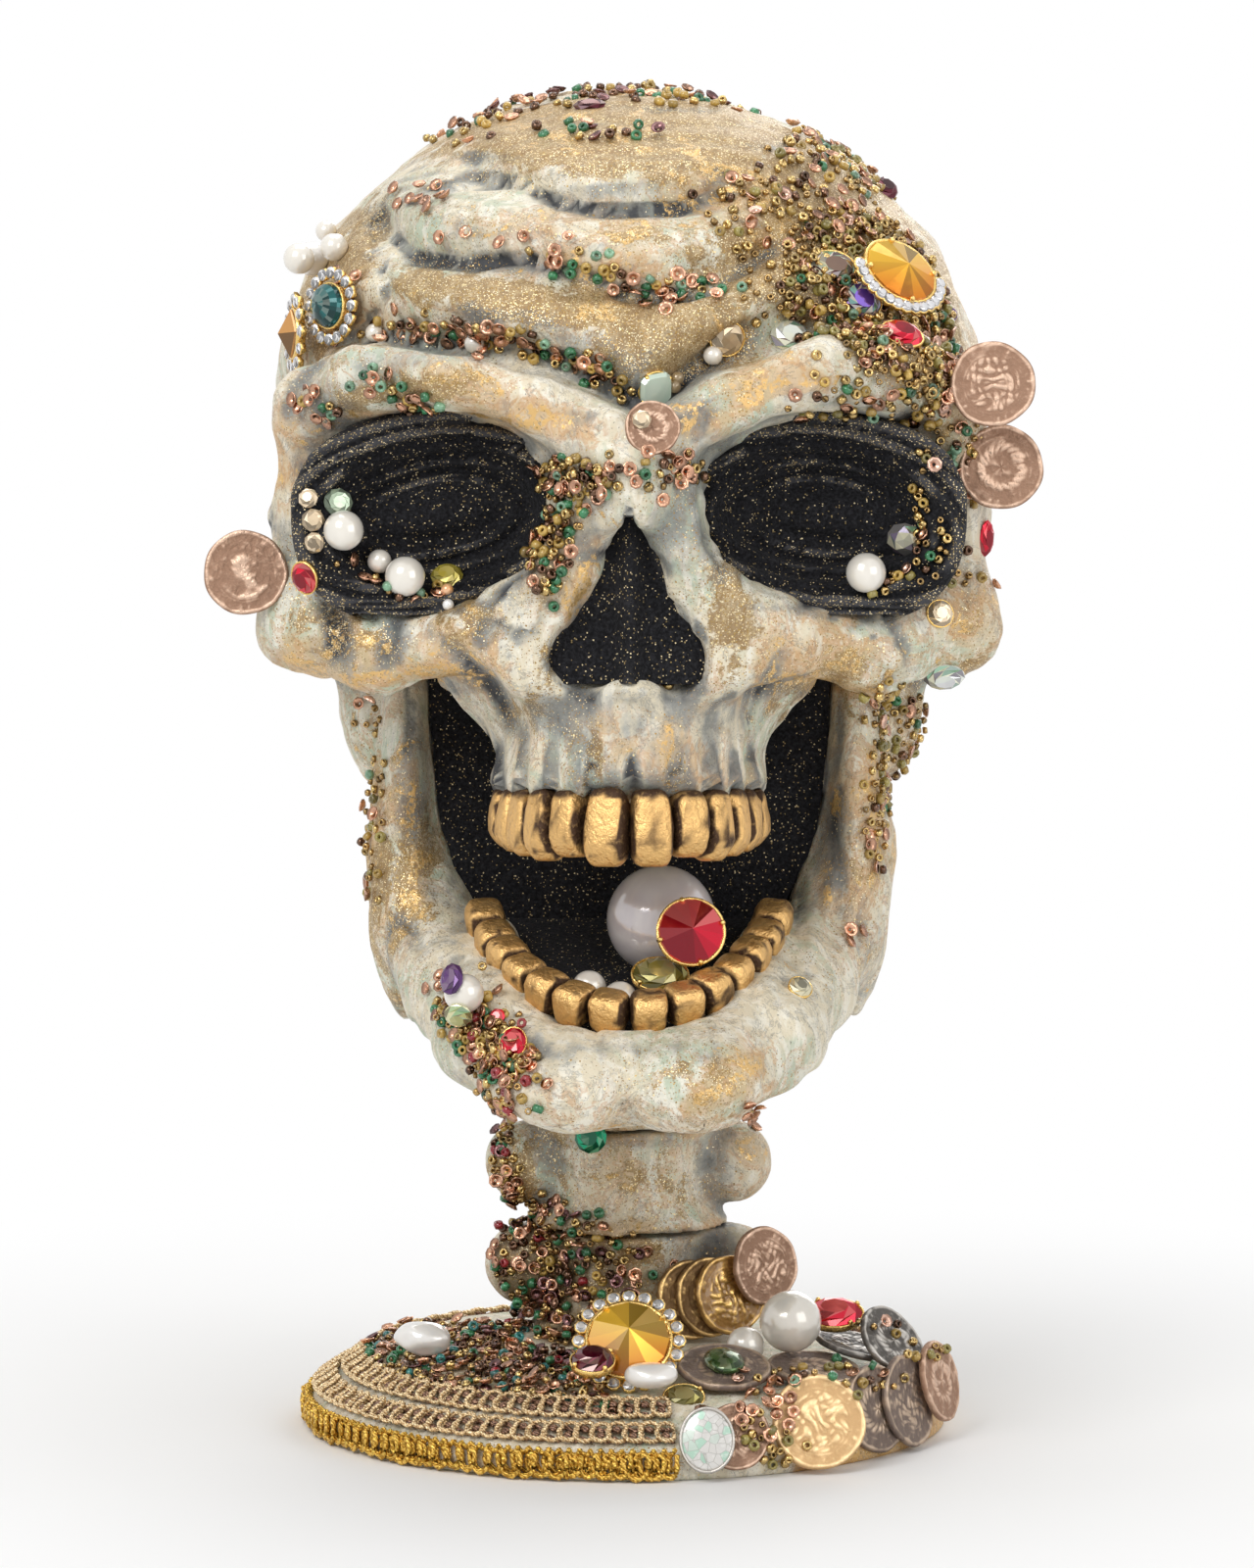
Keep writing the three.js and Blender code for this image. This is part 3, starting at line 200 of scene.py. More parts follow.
def slope_of(distance, p, reach=0.4):
    """Direction in which a distance grows fastest, from its differences along the three axes."""
    steps = np.eye(3, dtype=np.float32) * reach
    g = np.stack([distance(p + s) - distance(p - s) for s in steps], 1)
    return g / np.maximum(np.linalg.norm(g, axis=1, keepdims=True), 1e-6)


def skin(distance, low, high, step, coarse=None):
    """The surface where a distance is zero: one point a grid cell, at the mean of the places where its edges
    cross zero, one four-sided face round each grid edge that crosses, then each point is moved along the slope."""
    coarse = coarse or distance
    lines = [np.arange(a, b + step, step, dtype=np.float32) for a, b in zip(low, high)]
    shape = [len(line) for line in lines]
    value = np.empty(shape, np.float32)
    for i, x in enumerate(lines[0]):
        y, z = np.meshgrid(lines[1], lines[2], indexing="ij")
        sheet = np.stack([np.full_like(y, x), y, z], -1)
        value[i] = coarse(sheet.reshape(-1, 3)).reshape(y.shape)
    total = np.zeros([n - 1 for n in shape] + [3], np.float32)
    count = np.zeros([n - 1 for n in shape], np.float32)
    for axis in range(3):
        a = np.moveaxis(value, axis, 0)
        start, end = a[:-1], a[1:]
        crossed = (start < 0) != (end < 0)
        t = np.where(crossed, start / np.where(crossed, start - end, 1), 0)
        for side in np.ndindex(2, 2):
            cut = (slice(None), slice(side[0], crossed.shape[1] - 1 + side[0]), slice(side[1], crossed.shape[2] - 1 + side[1]))
            c, along = crossed[cut], t[cut]
            others = [k for k in range(3) if k != axis]
            here = np.zeros(c.shape + (3,), np.float32)
            here[..., axis] = along
            here[..., others[0]], here[..., others[1]] = side
            here *= c[..., None]
            total += np.moveaxis(here, 0, axis)
            count += np.moveaxis(c.astype(np.float32), 0, axis)
    used = count > 0
    index = np.full(used.shape, -1, np.int64)
    index[used] = np.arange(used.sum())
    cells = np.argwhere(used)
    points = np.array(low, np.float32) + step * (cells + total[used] / count[used][:, None])
    faces = []
    for axis in range(3):
        a = np.moveaxis(value, axis, 0)
        inside, outside = a[:-1] < 0, a[1:] < 0
        cell = np.moveaxis(index, axis, 0)
        crossed = (inside != outside)[:, 1:-1, 1:-1]
        i, j, k = np.nonzero(crossed)
        ring = np.stack([cell[i, j, k], cell[i, j + 1, k], cell[i, j + 1, k + 1], cell[i, j, k + 1]], 1)
        flip = inside[:, 1:-1, 1:-1][i, j, k] == (axis == 1)
        ring[flip] = ring[flip][:, ::-1]
        faces.append(ring)
    for _ in range(3):
        points -= slope_of(distance, points) * distance(points)[:, None] * 0.9
    return points, np.concatenate(faces)


def marks_of(distance, p, near=(1.2, 2.6), deep=(1.2, 2.4)):
    """How sunk and how raised each place is: how far the distance a little way out falls short of that way, and
    how far the distance a little way in does."""
    n = slope_of(distance, p)
    sunk = sum(np.clip(1 - distance(p + n * h) / h, 0, 1) for h in near) / len(near)
    wide = np.clip(1 - distance(p + n * 6) / 6, 0, 1)
    raised = sum(np.clip(1 + distance(p - n * h) / h, 0, 1) for h in deep) / len(deep)
    return n, sunk, wide, raised


# ---------------------------------------------------------------- pieces
def quads_of(surface):
    """Middles, outward directions and areas of a surface's four-sided faces."""
    points, faces = surface
    corner = points[faces]
    cross = np.cross(corner[:, 2] - corner[:, 0], corner[:, 3] - corner[:, 1])
    size = np.linalg.norm(cross, axis=1)
    return corner.mean(1), cross / np.maximum(size, 1e-9)[:, None], size / 2


def make_piece(name, points, faces, finish, stands_for=(), smooth=True, marks=None):
    """Puts points (mm) and faces (one array, or several for different numbers of sides) into a mesh, with its
    marks as point attributes, and rides it on the one body."""
    groups = faces if isinstance(faces, list) else [faces]
    mesh = bpy.data.meshes.new(name)
    corners = np.concatenate([g.ravel() for g in groups]).astype(np.int32)
    sizes = np.concatenate([np.full(len(g), g.shape[1]) for g in groups])
    starts = np.concatenate([[0], np.cumsum(sizes)[:-1]]).astype(np.int32)
    mesh.vertices.add(len(points))
    mesh.vertices.foreach_set("co", (np.asarray(points, np.float64) * MM).astype(np.float32).ravel())
    mesh.loops.add(len(corners))
    mesh.loops.foreach_set("vertex_index", corners)
    mesh.polygons.add(len(sizes))
    mesh.polygons.foreach_set("loop_start", starts)
    mesh.update(calc_edges=True)
    mesh.polygons.foreach_set("use_smooth", np.full(len(sizes), smooth))
    for key, value in (marks or {}).items():
        value = np.asarray(value, np.float32)
        kind, field = ("FLOAT", "value") if value.ndim == 1 else ("FLOAT_COLOR", "color")
        if value.ndim == 2 and value.shape[1] == 3:
            value = np.concatenate([value, np.ones((len(value), 1), np.float32)], 1)
        mesh.attributes.new(key, kind, "POINT").data.foreach_set(field, value.ravel())
    mesh.validate()
    piece = bpy.data.objects.new(name, mesh)
    bpy.context.scene.collection.objects.link(piece)
    mesh.materials.append(finish)
    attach(piece, "root")
    if stands_for:
        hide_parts(*stands_for)
    return piece


# ---------------------------------------------------------------- head shape
BROW = [([0.035, -0.495, 0.5], 0.04), ([0.12, -0.5, 0.555], 0.042), ([0.235, -0.485, 0.598], 0.046),
        ([0.34, -0.43, 0.595], 0.046), ([0.415, -0.34, 0.56], 0.046)]
CHEEK = [([0.415, -0.34, 0.56], 0.046), ([0.43, -0.3, 0.43], 0.044), ([0.425, -0.31, 0.3], 0.056),
         ([0.33, -0.37, 0.262], 0.056), ([0.2, -0.43, 0.275], 0.046), ([0.105, -0.475, 0.36], 0.045)]
CHEEK_ARCH = [([0.43, -0.28, 0.29], 0.056), ([0.45, -0.08, 0.29], 0.042), ([0.44, 0.1, 0.29], 0.045)]
NOSE_BRIDGE = [([0, -0.49, 0.52], 0.05), ([0, -0.52, 0.44], 0.045)]
NOSE_FLANK = [([0.075, -0.47, 0.42], 0.045), ([0.125, -0.45, 0.24], 0.05)]
SOCKET = (np.array([0.254, -0.47, 0.424], np.float32), np.array([0.15, 0.165, 0.104], np.float32))
CREASES = [([(-0.2, 0.863), (-0.145, 0.827), (-0.043, 0.796), (0.057, 0.799), (0.12, 0.815)], 0.018, 0.024),
           ([(-0.327, 0.797), (-0.284, 0.75), (-0.167, 0.737), (-0.055, 0.698), (0.045, 0.692), (0.171, 0.741)], 0.024, 0.026),
           ([(-0.362, 0.677), (-0.238, 0.64), (-0.142, 0.618), (-0.055, 0.596), (0.01, 0.556), (0.088, 0.607), (0.216, 0.65)],
            0.028, 0.028)]
CREASE_FOLD = (0.05, 0.4, 1.6)
JAW_BODY = [([0, -0.43, -0.275], 0.066), ([0.11, -0.42, -0.275], 0.066), ([0.185, -0.33, -0.225], 0.066),
            ([0.235, -0.21, -0.165], 0.066), ([0.275, -0.1, -0.09], 0.064), ([0.3, -0.05, 0.02], 0.05)]
LOWER_GUM = [([0, -0.415, -0.262], 0.042), ([0.1, -0.39, -0.255], 0.042), ([0.165, -0.3, -0.19], 0.042),
             ([0.19, -0.16, -0.115], 0.042)]


def folded(p):
    """Both halves of the head onto its right half."""
    return np.concatenate([np.abs(p[:, :1]), p[:, 1:]], 1)


def socket_place(p):
    """Across, deep and up in the drooping eye socket, as shares of its half sizes."""
    d = p - SKULL * SOCKET[0]
    c, s = np.cos(np.radians(7)), np.sin(np.radians(7))
    return np.stack([d[:, 0] * c - d[:, 2] * s, d[:, 1], d[:, 0] * s + d[:, 2] * c], 1) / (SKULL * SOCKET[1])


def socket(p):
    """A squarish oval: the 2.5th root of the summed 2.5th powers."""
    power = (np.abs(socket_place(p)) ** 2.5).sum(1) ** (1 / 2.5)
    return (power - 1) * min(SKULL[0] * SOCKET[1][0], SKULL[2] * SOCKET[1][2])


def nose_hole(p):
    """A wedge that narrows upwards, blended with a nostril at its foot."""
    x, y, z = p.T
    slant = np.radians(26)
    flank = x * np.cos(slant) - (0.415 * HEIGHT - z) * np.sin(slant)
    wedge = carve(carve(flank, z - 0.235 * HEIGHT, 0.05), -y - 0.44 * DEPTH, 0.04)
    return blend(wedge, ellipsoid(p, [0.05, -0.49, 0.245], [0.046, 0.07, 0.034]), 0.03)


def upper_jaw(p):
    """An arch: a flat oval whose half width changes with height and flares at the gum."""
    x, y, z = p.T
    up = z / HEIGHT
    half = WIDTH * (0.168 + 0.05 * fade(up, 0.24, 0.2) ** 2 + 0.024 * bell(up, 0.07, 0.06))
    arch = (np.hypot(x / half, (y + 0.25 * DEPTH) / (0.235 * DEPTH)) - 1) * half
    return carve(arch, 0.105 * HEIGHT - np.abs(z - 0.17 * HEIGHT), 0.06)


def whole_head(p):
    """The head without its creases and holes: blended ellipsoids and bars."""
    d = blend(ellipsoid(p, [0, 0.05, 0.59], [0.495, 0.48, 0.412]), ellipsoid(p, [0, -0.17, 0.61], [0.43, 0.31, 0.3]), 0.1)
    d = carve(d, ellipsoid(p, [0.57, -0.09, 0.45], [0.12, 0.13, 0.14]), 0.12)
    d = blend(d, chain(p, BROW, 0.03), 0.06)
    d = blend(d, chain(p, CHEEK, 0.04), 0.06)
    d = blend(d, chain(p, CHEEK_ARCH, 0.04), 0.06)
    d = blend(d, chain(p, NOSE_BRIDGE, 0.04), 0.08)
    d = blend(d, chain(p, NOSE_FLANK, 0.04), 0.06)
    d = blend(d, ellipsoid(p, [0, -0.22, 0.32], [0.28, 0.2, 0.22]), 0.06)
    d = blend(d, upper_jaw(p), 0.05)
    d = blend(d, ellipsoid(p, [0.34, 0.08, 0.21], [0.07, 0.08, 0.12]), 0.06)
    return d


def crease_relief(p):
    """Forehead creases: depth x bell(distance from a drawn line, seen from the front), less the fold that swells
    above each, a bell round the same line further up."""
    flat, front = p[:, [0, 2]], fade(-p[:, 1] / DEPTH, 0.08, 0.15)
    rise, swell, wider = CREASE_FOLD
    total = np.zeros(len(p), np.float32)
    for line, depth, width in CREASES:
        spots = [(x * WIDTH, z * HEIGHT) for x, z in line]
        away = [np.minimum.reduce([segment_distance(flat - [0, up], a, b)[0] for a, b in zip(spots, spots[1:])]) / WIDTH
                for up in (0, rise * HEIGHT)]
        total += depth * WIDTH * (bell(away[0], 0, width) - swell * bell(away[1], 0, wider * width))
    return total * front


def plain_head(p):
    q = folded(p)
    return carve(carve(whole_head(q) + crease_relief(p), socket(q), 0.03), nose_hole(q), 0.02)


def plain_jaw(p):
    """The lower jaw: a chain of bars with its branches, chin and gum blended on."""
    p = folded(p)
    d = blend(chain(p, JAW_BODY, 0.03), ellipsoid(p, [0.308, -0.06, 0.05], [0.045, 0.1, 0.26]), 0.06)
    d = blend(d, ellipsoid(p, [0.075, -0.455, -0.29], [0.08, 0.055, 0.062]), 0.03)
    return blend(d, chain(p, LOWER_GUM, 0.03), 0.04)


# Creases, ridges and pits, drawn in the view; the pits are also painted dark as shade: (points, half width in pixels,
# depth in mm)
BROW_CREASES = [
    ([(322, 352), (380, 340), (450, 350), (520, 352), (575, 372), (625, 400), (652, 418)], 8, 2.2),
    ([(652, 418), (690, 392), (730, 358), (768, 330), (805, 318)], 8, 2.2),
    ([(395, 236), (425, 262), (480, 270), (535, 263), (590, 282), (640, 300), (700, 302), (748, 282), (790, 258)], 6, 2.0),
    ([(420, 205), (470, 186), (530, 186), (570, 208), (625, 216), (690, 214), (740, 198)], 6, 1.8),
    ([(392, 215), (386, 250), (396, 300), (372, 345)], 6, 1.8),
    ([(640, 455), (612, 440), (600, 418)], 9, 1.4),
    ([(700, 445), (722, 428), (738, 412)], 8, 1.6),
    ([(330, 372), (300, 398), (296, 430)], 9, 1.2),
    ([(500, 405), (548, 424), (600, 432), (636, 446)], 8, 0.8),
    ([(725, 430), (770, 400), (830, 384), (890, 392)], 8, 0.9),
    ([(905, 400), (932, 425), (960, 452)], 9, 1.2),
    ([(640, 300), (655, 340), (652, 380)], 10, 0.5),
]
FACE_CREASES = [
    ([(330, 612), (352, 640), (338, 672)], 8, 1.4),
    ([(372, 622), (396, 650), (380, 690)], 8, 1.2),
    ([(425, 640), (470, 668), (505, 700), (530, 745)], 9, 1.5),
    ([(470, 622), (505, 650), (528, 690)], 8, 0.9),
    ([(520, 610), (540, 660), (545, 720)], 7, 0.6),
    ([(735, 600), (745, 660), (742, 730)], 7, 0.7),
    ([(775, 615), (770, 670), (758, 735)], 7, 0.7),
    ([(820, 620), (800, 660), (775, 700)], 7, 0.8),
    ([(870, 628), (905, 640), (925, 672)], 8, 0.9),
    ([(860, 662), (905, 690), (955, 706)], 8, 0.9),
    ([(985, 600), (975, 650), (990, 690)], 8, 0.8),
    ([(600, 490), (640, 520), (645, 545)], 6, 0.8),
    ([(560, 520), (585, 545), (570, 600)], 6, 0.6),
]
CHEEK_PITS = [(862, 610, 5, 5, 0, 0.9), (880, 622, 6, 5, 0, 0.9), (895, 606, 5, 4, 0, 0.8), (872, 640, 5, 5, 0, 0.7),
              (905, 628, 6, 5, 0, 0.9), (922, 612, 5, 5, 0, 0.8), (890, 652, 4, 4, 0, 0.7), (850, 630, 4, 4, 0, 0.7),
              (745, 505, 5, 8, 0, 0.8), (752, 545, 5, 6, 0, 0.8), (735, 525, 4, 5, 0, 0.6), (778, 572, 4, 4, 0, 0.5)]
ROOT_LINES = [(512, 512, 6), (536, 528, 6), (566, 560, 6), (604, 604, 7), (646, 645, 7), (690, 692, 7), (722, 730, 6),
              (745, 757, 6), (762, 776, 5)]
JAW_CREASES = [
    ([(455, 960), (470, 1010), (520, 1062), (580, 1086)], 9, 0.9),
    ([(640, 1165), (638, 1138), (634, 1118)], 11, 2.2),
    ([(400, 760), (418, 830), (412, 910), (430, 980)], 8, 1.0),
    ([(870, 760), (852, 830), (860, 910), (842, 985)], 8, 1.0),
    ([(800, 900), (812, 950), (800, 1010), (770, 1060)], 8, 0.9),
]


RAGGED = [([(636, 548), (600, 588), (572, 640), (560, 700), (600, 708), (640, 702), (680, 704), (714, 700), (702, 640), (674, 588), (636, 548)], 9, 1.5),
          ([(322, 455), (345, 440), (440, 428), (520, 445), (560, 488), (548, 560), (480, 605), (400, 612), (330, 590), (318, 520), (322, 455)], 9, 1.1),
          ([(720, 480), (760, 445), (830, 432), (900, 440), (955, 470), (960, 560), (930, 600), (860, 610), (780, 600), (730, 560), (720, 480)], 9, 1.0),
          ([(290, 690), (340, 700), (400, 700), (480, 705)], 16, 1.2), ([(790, 705), (850, 712), (920, 716), (990, 690)], 16, 1.2)]


def wrinkles(p, size, shift):
    """Narrow valleys of depth 1 along the lines where a noise crosses its middle."""
    return np.clip(1 - 5.5 * np.abs(cloud(p, size, shift)), 0, 1)


def head_relief(p, view, front):
    """What the carver cut into the head, in mm, outwards: drawn creases, root ribs over the teeth, and waves."""
    cut = line_marks(view, BROW_CREASES) + line_marks(view, FACE_CREASES) + blots(view, CHEEK_PITS) - blots(view, [(642, 704, 24, 10, 0, 2.4)])
    roots = line_marks(view, [([(low, 760), (high, 842)], width, 1.5) for low, high, width in ROOT_LINES])
    relief = -(cut + roots) * front
    relief += 0.55 * cloud(p, [26, 26, 9]) * fade(p[:, 2], 95, 15) + 0.6 * cloud(p, 13, 2.0) + 0.4 * cloud(p, 5, 4.0)
    relief += 0.18 * cloud(p, 2.7, 7.0) + line_marks(view, RAGGED) * cloud(p, 4.4, 11.0) * front
    rolls = np.sin((p[:, 2] + 5 * cloud(p, [30, 30, 60], 1.7)) * 1.55) * fade(p[:, 2], 92, 12)
    relief -= 0.75 * wrinkles(p, [11, 13, 24], 9.0) * fade(86 - p[:, 2], 0, 15) * front
    return relief + 0.22 * rolls * front


def jaw_relief(p, view, front):
    """What the carver cut into the jaw, in mm, outwards: drawn creases, waves, and a shorter chin."""
    chin = 3.4 * fade(-p[:, 2], 46, 8) * fade(-p[:, 1], 58, 8)
    chin += 0.85 * wrinkles(p, [10, 12, 26], 5.0)
    return 0.7 * cloud(p, 14, 6.0) + 0.42 * cloud(p, [5, 5, 9], 8.0) + 0.18 * cloud(p, 2.7, 3.0) - line_marks(view, JAW_CREASES) * front - chin


def carved(plain, relief):
    """A plain distance with the relief taken off. The drawn part fades where the surface turns from the view."""

    def distance(p):
        frame_places = from_head(p)
        front = fade(-p[:, 1], 8, 25)
        return plain(p) - relief(p, in_view(frame_places), front)

    return distance


# ---------------------------------------------------------------- finishes
def node_tree(name):
    finish = bpy.data.materials.new(name)
    finish.use_nodes = True
    tree = finish.node_tree
    return finish, tree, tree.nodes["Principled BSDF"]


def link(tree, source, target):
    tree.links.new(source, target)


def node(tree, kind, values=None, **settings):
    """Adds a node, sets its properties, and sets or links its inputs by name or number."""
    made = tree.nodes.new(kind)
    for key, value in settings.items():
        setattr(made, key, value)
    for key, value in (values or {}).items():
        socket_in = made.inputs[key]
        if isinstance(value, bpy.types.NodeSocket):
            link(tree, value, socket_in)
        else:
            socket_in.default_value = value
    return made


def colour(*rgb):
    return (*rgb, 1.0)


def math_node(tree, operation, a, b=0.0, c=0.0, clamp=False):
    return node(tree, "ShaderNodeMath", {0: a, 1: b, 2: c}, operation=operation, use_clamp=clamp).outputs[0]


def spread(tree, value, low, high, to_low=0.0, to_high=1.0):
    """Maps low..high to to_low..to_high, held at the ends."""
    made = node(tree, "ShaderNodeMapRange", {0: value, 1: low, 2: high, 3: to_low, 4: to_high}, interpolation_type="SMOOTHSTEP")
    return made.outputs[0]


def mixed(tree, share, a, b):
    made = node(tree, "ShaderNodeMix", data_type="RGBA")
    for key, value in ((0, share), (6, a), (7, b)):
        if isinstance(value, bpy.types.NodeSocket):
            link(tree, value, made.inputs[key])
        else:
            made.inputs[key].default_value = value
    return made.outputs[2]


def noise(tree, place, scale, detail=3.0, roughness=0.55, distortion=0.0):
    values = {"Vector": place, "Scale": scale, "Detail": detail, "Roughness": roughness, "Distortion": distortion}
    return node(tree, "ShaderNodeTexNoise", values).outputs[0]


def mark(tree, name, output="Fac"):
    return node(tree, "ShaderNodeAttribute", attribute_name=name).outputs[output]


def object_place(tree):
    return node(tree, "ShaderNodeTexCoord").outputs["Object"]


def group(name, inputs, outputs):
    """An empty shader node group with named sockets: inputs as {name: (kind, default)}."""
    made = bpy.data.node_groups.new(name, "ShaderNodeTree")
    for key, (kind, default) in inputs.items():
        made.interface.new_socket(key, in_out="INPUT", socket_type=kind).default_value = default
    for key, kind in outputs.items():
        made.interface.new_socket(key, in_out="OUTPUT", socket_type=kind)
    return made, made.nodes.new("NodeGroupInput"), made.nodes.new("NodeGroupOutput")


NUMBER, TINT = "NodeSocketFloat", "NodeSocketColor"


def flake_group():
    """Glitter: small cells, of which a share shows. Puts out a mask, a colour that differs by flake, and a height."""
    inputs = {"Amount": (NUMBER, 0.2), "Scale": (NUMBER, 2600.0), "Bright": (TINT, colour(1, 0.86, 0.55)),
              "Deep": (TINT, colour(0.36, 0.24, 0.08))}
    made, source, sink = group("glitter flakes", inputs, {"Mask": NUMBER, "Color": TINT, "Height": NUMBER})
    place = object_place(made)
    cells = node(made, "ShaderNodeTexVoronoi", {"Vector": place, "Scale": source.outputs["Scale"]})
    parts = node(made, "ShaderNodeSeparateColor", {0: cells.outputs["Color"]})
    shown = math_node(made, "LESS_THAN", parts.outputs[0], source.outputs["Amount"])
    core = math_node(made, "LESS_THAN", cells.outputs["Distance"], 0.5)
    mask = math_node(made, "MULTIPLY", shown, core)
    tone = mixed(made, spread(made, parts.outputs[1], 0.35, 1.0), source.outputs["Deep"], source.outputs["Bright"])
    link(made, mask, sink.inputs["Mask"])
    link(made, tone, sink.inputs["Color"])
    link(made, math_node(made, "MULTIPLY", mask, parts.outputs[2]), sink.inputs["Height"])
    return made


FLAKES = flake_group()


def flakes(tree, amount, scale, bright=(1, 0.86, 0.55), deep=(0.36, 0.24, 0.08)):
    made = node(tree, "ShaderNodeGroup", node_tree=FLAKES)
    for key, value in (("Amount", amount), ("Scale", scale), ("Bright", colour(*bright)), ("Deep", colour(*deep))):
        if isinstance(value, bpy.types.NodeSocket):
            link(tree, value, made.inputs[key])
        else:
            made.inputs[key].default_value = value
    return made.outputs["Mask"], made.outputs["Color"], made.outputs["Height"]


def aged_paint(name, glitter=1.0, warmth=0.5):
    """Weathered paint on the castings: off-white brushed over grey-green, and painted shade, blue-grey deepening to
    near black, in what is sunk and where the shade_and_wash mark says, with grime from noise and some real dark glaze;
    ochre and gold leaf on what is raised and in patches, sand of fine gold glitter where the glitter mark says, dark
    specks."""
    finish, tree, shader = node_tree(name)
    place = object_place(tree)
    large = noise(tree, place, 32.0, 5.0, 0.62, 0.8)
    middle = noise(tree, place, 115.0, 5.0, 0.66, 0.5)
    fine = noise(tree, place, 560.0, 4.0, 0.72)
    grit = noise(tree, place, 1900.0, 2.0, 0.6)
    brushed = noise(tree, node(tree, "ShaderNodeMapping", {"Vector": place, "Scale": (1.0, 1.0, 0.22)}).outputs[0], 400.0, 4.0, 0.65)
    sunk, wide, raised, tan = mark(tree, "sunk"), mark(tree, "wide"), mark(tree, "raised"), mark(tree, "tan")
    veins = noise(tree, place, 75.0, 7.0, 0.72, 1.4)
    base = mixed(tree, spread(tree, large, 0.46, 0.58), colour(0.77, 0.69, 0.52), colour(0.54, 0.6, 0.46))
    base = mixed(tree, spread(tree, brushed, 0.44, 0.6, 0.0, 0.85), base, colour(0.9, 0.86, 0.74))
    base = mixed(tree, spread(tree, middle, 0.52, 0.68, 0.0, 0.55), base, colour(0.42, 0.4, 0.32))
    worn = math_node(tree, "ADD", math_node(tree, "MULTIPLY", tan, 0.5), math_node(tree, "MULTIPLY", middle, 0.9))
    ochre = spread(tree, math_node(tree, "ADD", worn, math_node(tree, "MULTIPLY", raised, 0.3)), 0.62, 0.84)
    base = mixed(tree, math_node(tree, "MULTIPLY", ochre, 0.2 + warmth), base, colour(0.62, 0.41, 0.2))
    rust = spread(tree, math_node(tree, "ABSOLUTE", math_node(tree, "SUBTRACT", middle, 0.5)), 0.0, 0.045, 0.5, 0.0)
    base = mixed(tree, math_node(tree, "MULTIPLY", rust, spread(tree, math_node(tree, "ADD", tan, large), 0.4, 0.75)), base, colour(0.56, 0.27, 0.09))
    crack = spread(tree, math_node(tree, "ABSOLUTE", math_node(tree, "SUBTRACT", veins, 0.5)), 0.0, 0.022, 0.45, 0.0)
    base = mixed(tree, math_node(tree, "MULTIPLY", crack, spread(tree, large, 0.6, 0.42, 0.1, 1.0)), base, colour(0.1, 0.11, 0.12))
    uneven = math_node(tree, "ADD", math_node(tree, "MULTIPLY", math_node(tree, "ADD", large, middle), 1.3), math_node(tree, "MULTIPLY", fine, 0.5))
    edge = math_node(tree, "SUBTRACT", math_node(tree, "ADD", math_node(tree, "MULTIPLY", mark(tree, "glitter"), 0.85), uneven), 1.5)
    patch = spread(tree, edge, 0.36, 0.5)
    dusted = spread(tree, edge, -0.1, 0.5, 0.0, 0.4)
    sand = math_node(tree, "MULTIPLY", math_node(tree, "MAXIMUM", patch, dusted), glitter)
    sandy = mixed(tree, spread(tree, brushed, 0.4, 0.6), colour(0.3, 0.185, 0.075), colour(0.46, 0.32, 0.15))
    base = mixed(tree, math_node(tree, "MULTIPLY", patch, 0.9), base, sandy)
    # Painted shade: what is sunk and the shade_and_wash mark turn the paint blue-grey, and near black where deepest;
    # the noises add real grime.
    hollow = math_node(tree, "ADD", math_node(tree, "ADD", sunk, math_node(tree, "MULTIPLY", wide, 0.2)), math_node(tree, "MULTIPLY", mark(tree, "shade_and_wash"), 0.6))
    dirt_and_shade = math_node(tree, "ADD", hollow, math_node(tree, "MULTIPLY", math_node(tree, "ADD", fine, brushed), 0.42))
    base = mixed(tree, spread(tree, dirt_and_shade, 0.5, 0.95, 0.0, 0.8), base, colour(0.18, 0.195, 0.195))
    base = mixed(tree, spread(tree, dirt_and_shade, 0.84, 1.3, 0.0, 0.95), base, colour(0.035, 0.038, 0.045))
    leaf = math_node(tree, "MULTIPLY", spread(tree, math_node(tree, "ADD", middle, math_node(tree, "MULTIPLY", tan, 0.17)), 0.66, 0.71), spread(tree, fine, 0.44, 0.52))
    base = mixed(tree, leaf, base, colour(0.74, 0.48, 0.19))
    under = math_node(tree, "MULTIPLY", mark(tree, "crust"), spread(tree, fine, 0.2, 0.5, 0.7, 1.0))
    base = mixed(tree, math_node(tree, "MULTIPLY", under, 0.9), base, colour(0.2, 0.125, 0.05))
    base = mixed(tree, spread(tree, grit, 0.64, 0.72, 0.0, 0.65), base, colour(0.1, 0.085, 0.06))
    amount = math_node(tree, "MULTIPLY", math_node(tree, "ADD", sand, math_node(tree, "MULTIPLY", under, 0.5)), 0.62)
    mask, tone, height = flakes(tree, amount, 3600.0, (1, 0.88, 0.6), (0.36, 0.22, 0.08))
    mask2, tone2, height2 = flakes(tree, math_node(tree, "MULTIPLY", amount, 0.35), 2300.0, (1, 0.82, 0.45), (0.42, 0.27, 0.09))
    base = mixed(tree, mask, base, tone)
    base = mixed(tree, mask2, base, tone2)
    metal = math_node(tree, "MAXIMUM", math_node(tree, "MAXIMUM", mask, mask2), math_node(tree, "MULTIPLY", leaf, 0.75))
    link(tree, base, shader.inputs["Base Color"])
    link(tree, math_node(tree, "MULTIPLY", metal, 0.7), shader.inputs["Metallic"])
    link(tree, spread(tree, metal, 0.0, 1.0, 0.6, 0.34), shader.inputs["Roughness"])
    total = math_node(tree, "ADD", math_node(tree, "MULTIPLY", math_node(tree, "ADD", fine, brushed), 0.5), math_node(tree, "MULTIPLY", grit, 0.3))
    total = math_node(tree, "ADD", total, math_node(tree, "MULTIPLY", math_node(tree, "ADD", height, height2), 0.5))
    bump = node(tree, "ShaderNodeBump", {"Strength": 0.8, "Distance": 0.0006, "Height": total})
    link(tree, bump.outputs[0], shader.inputs["Normal"])
    return finish


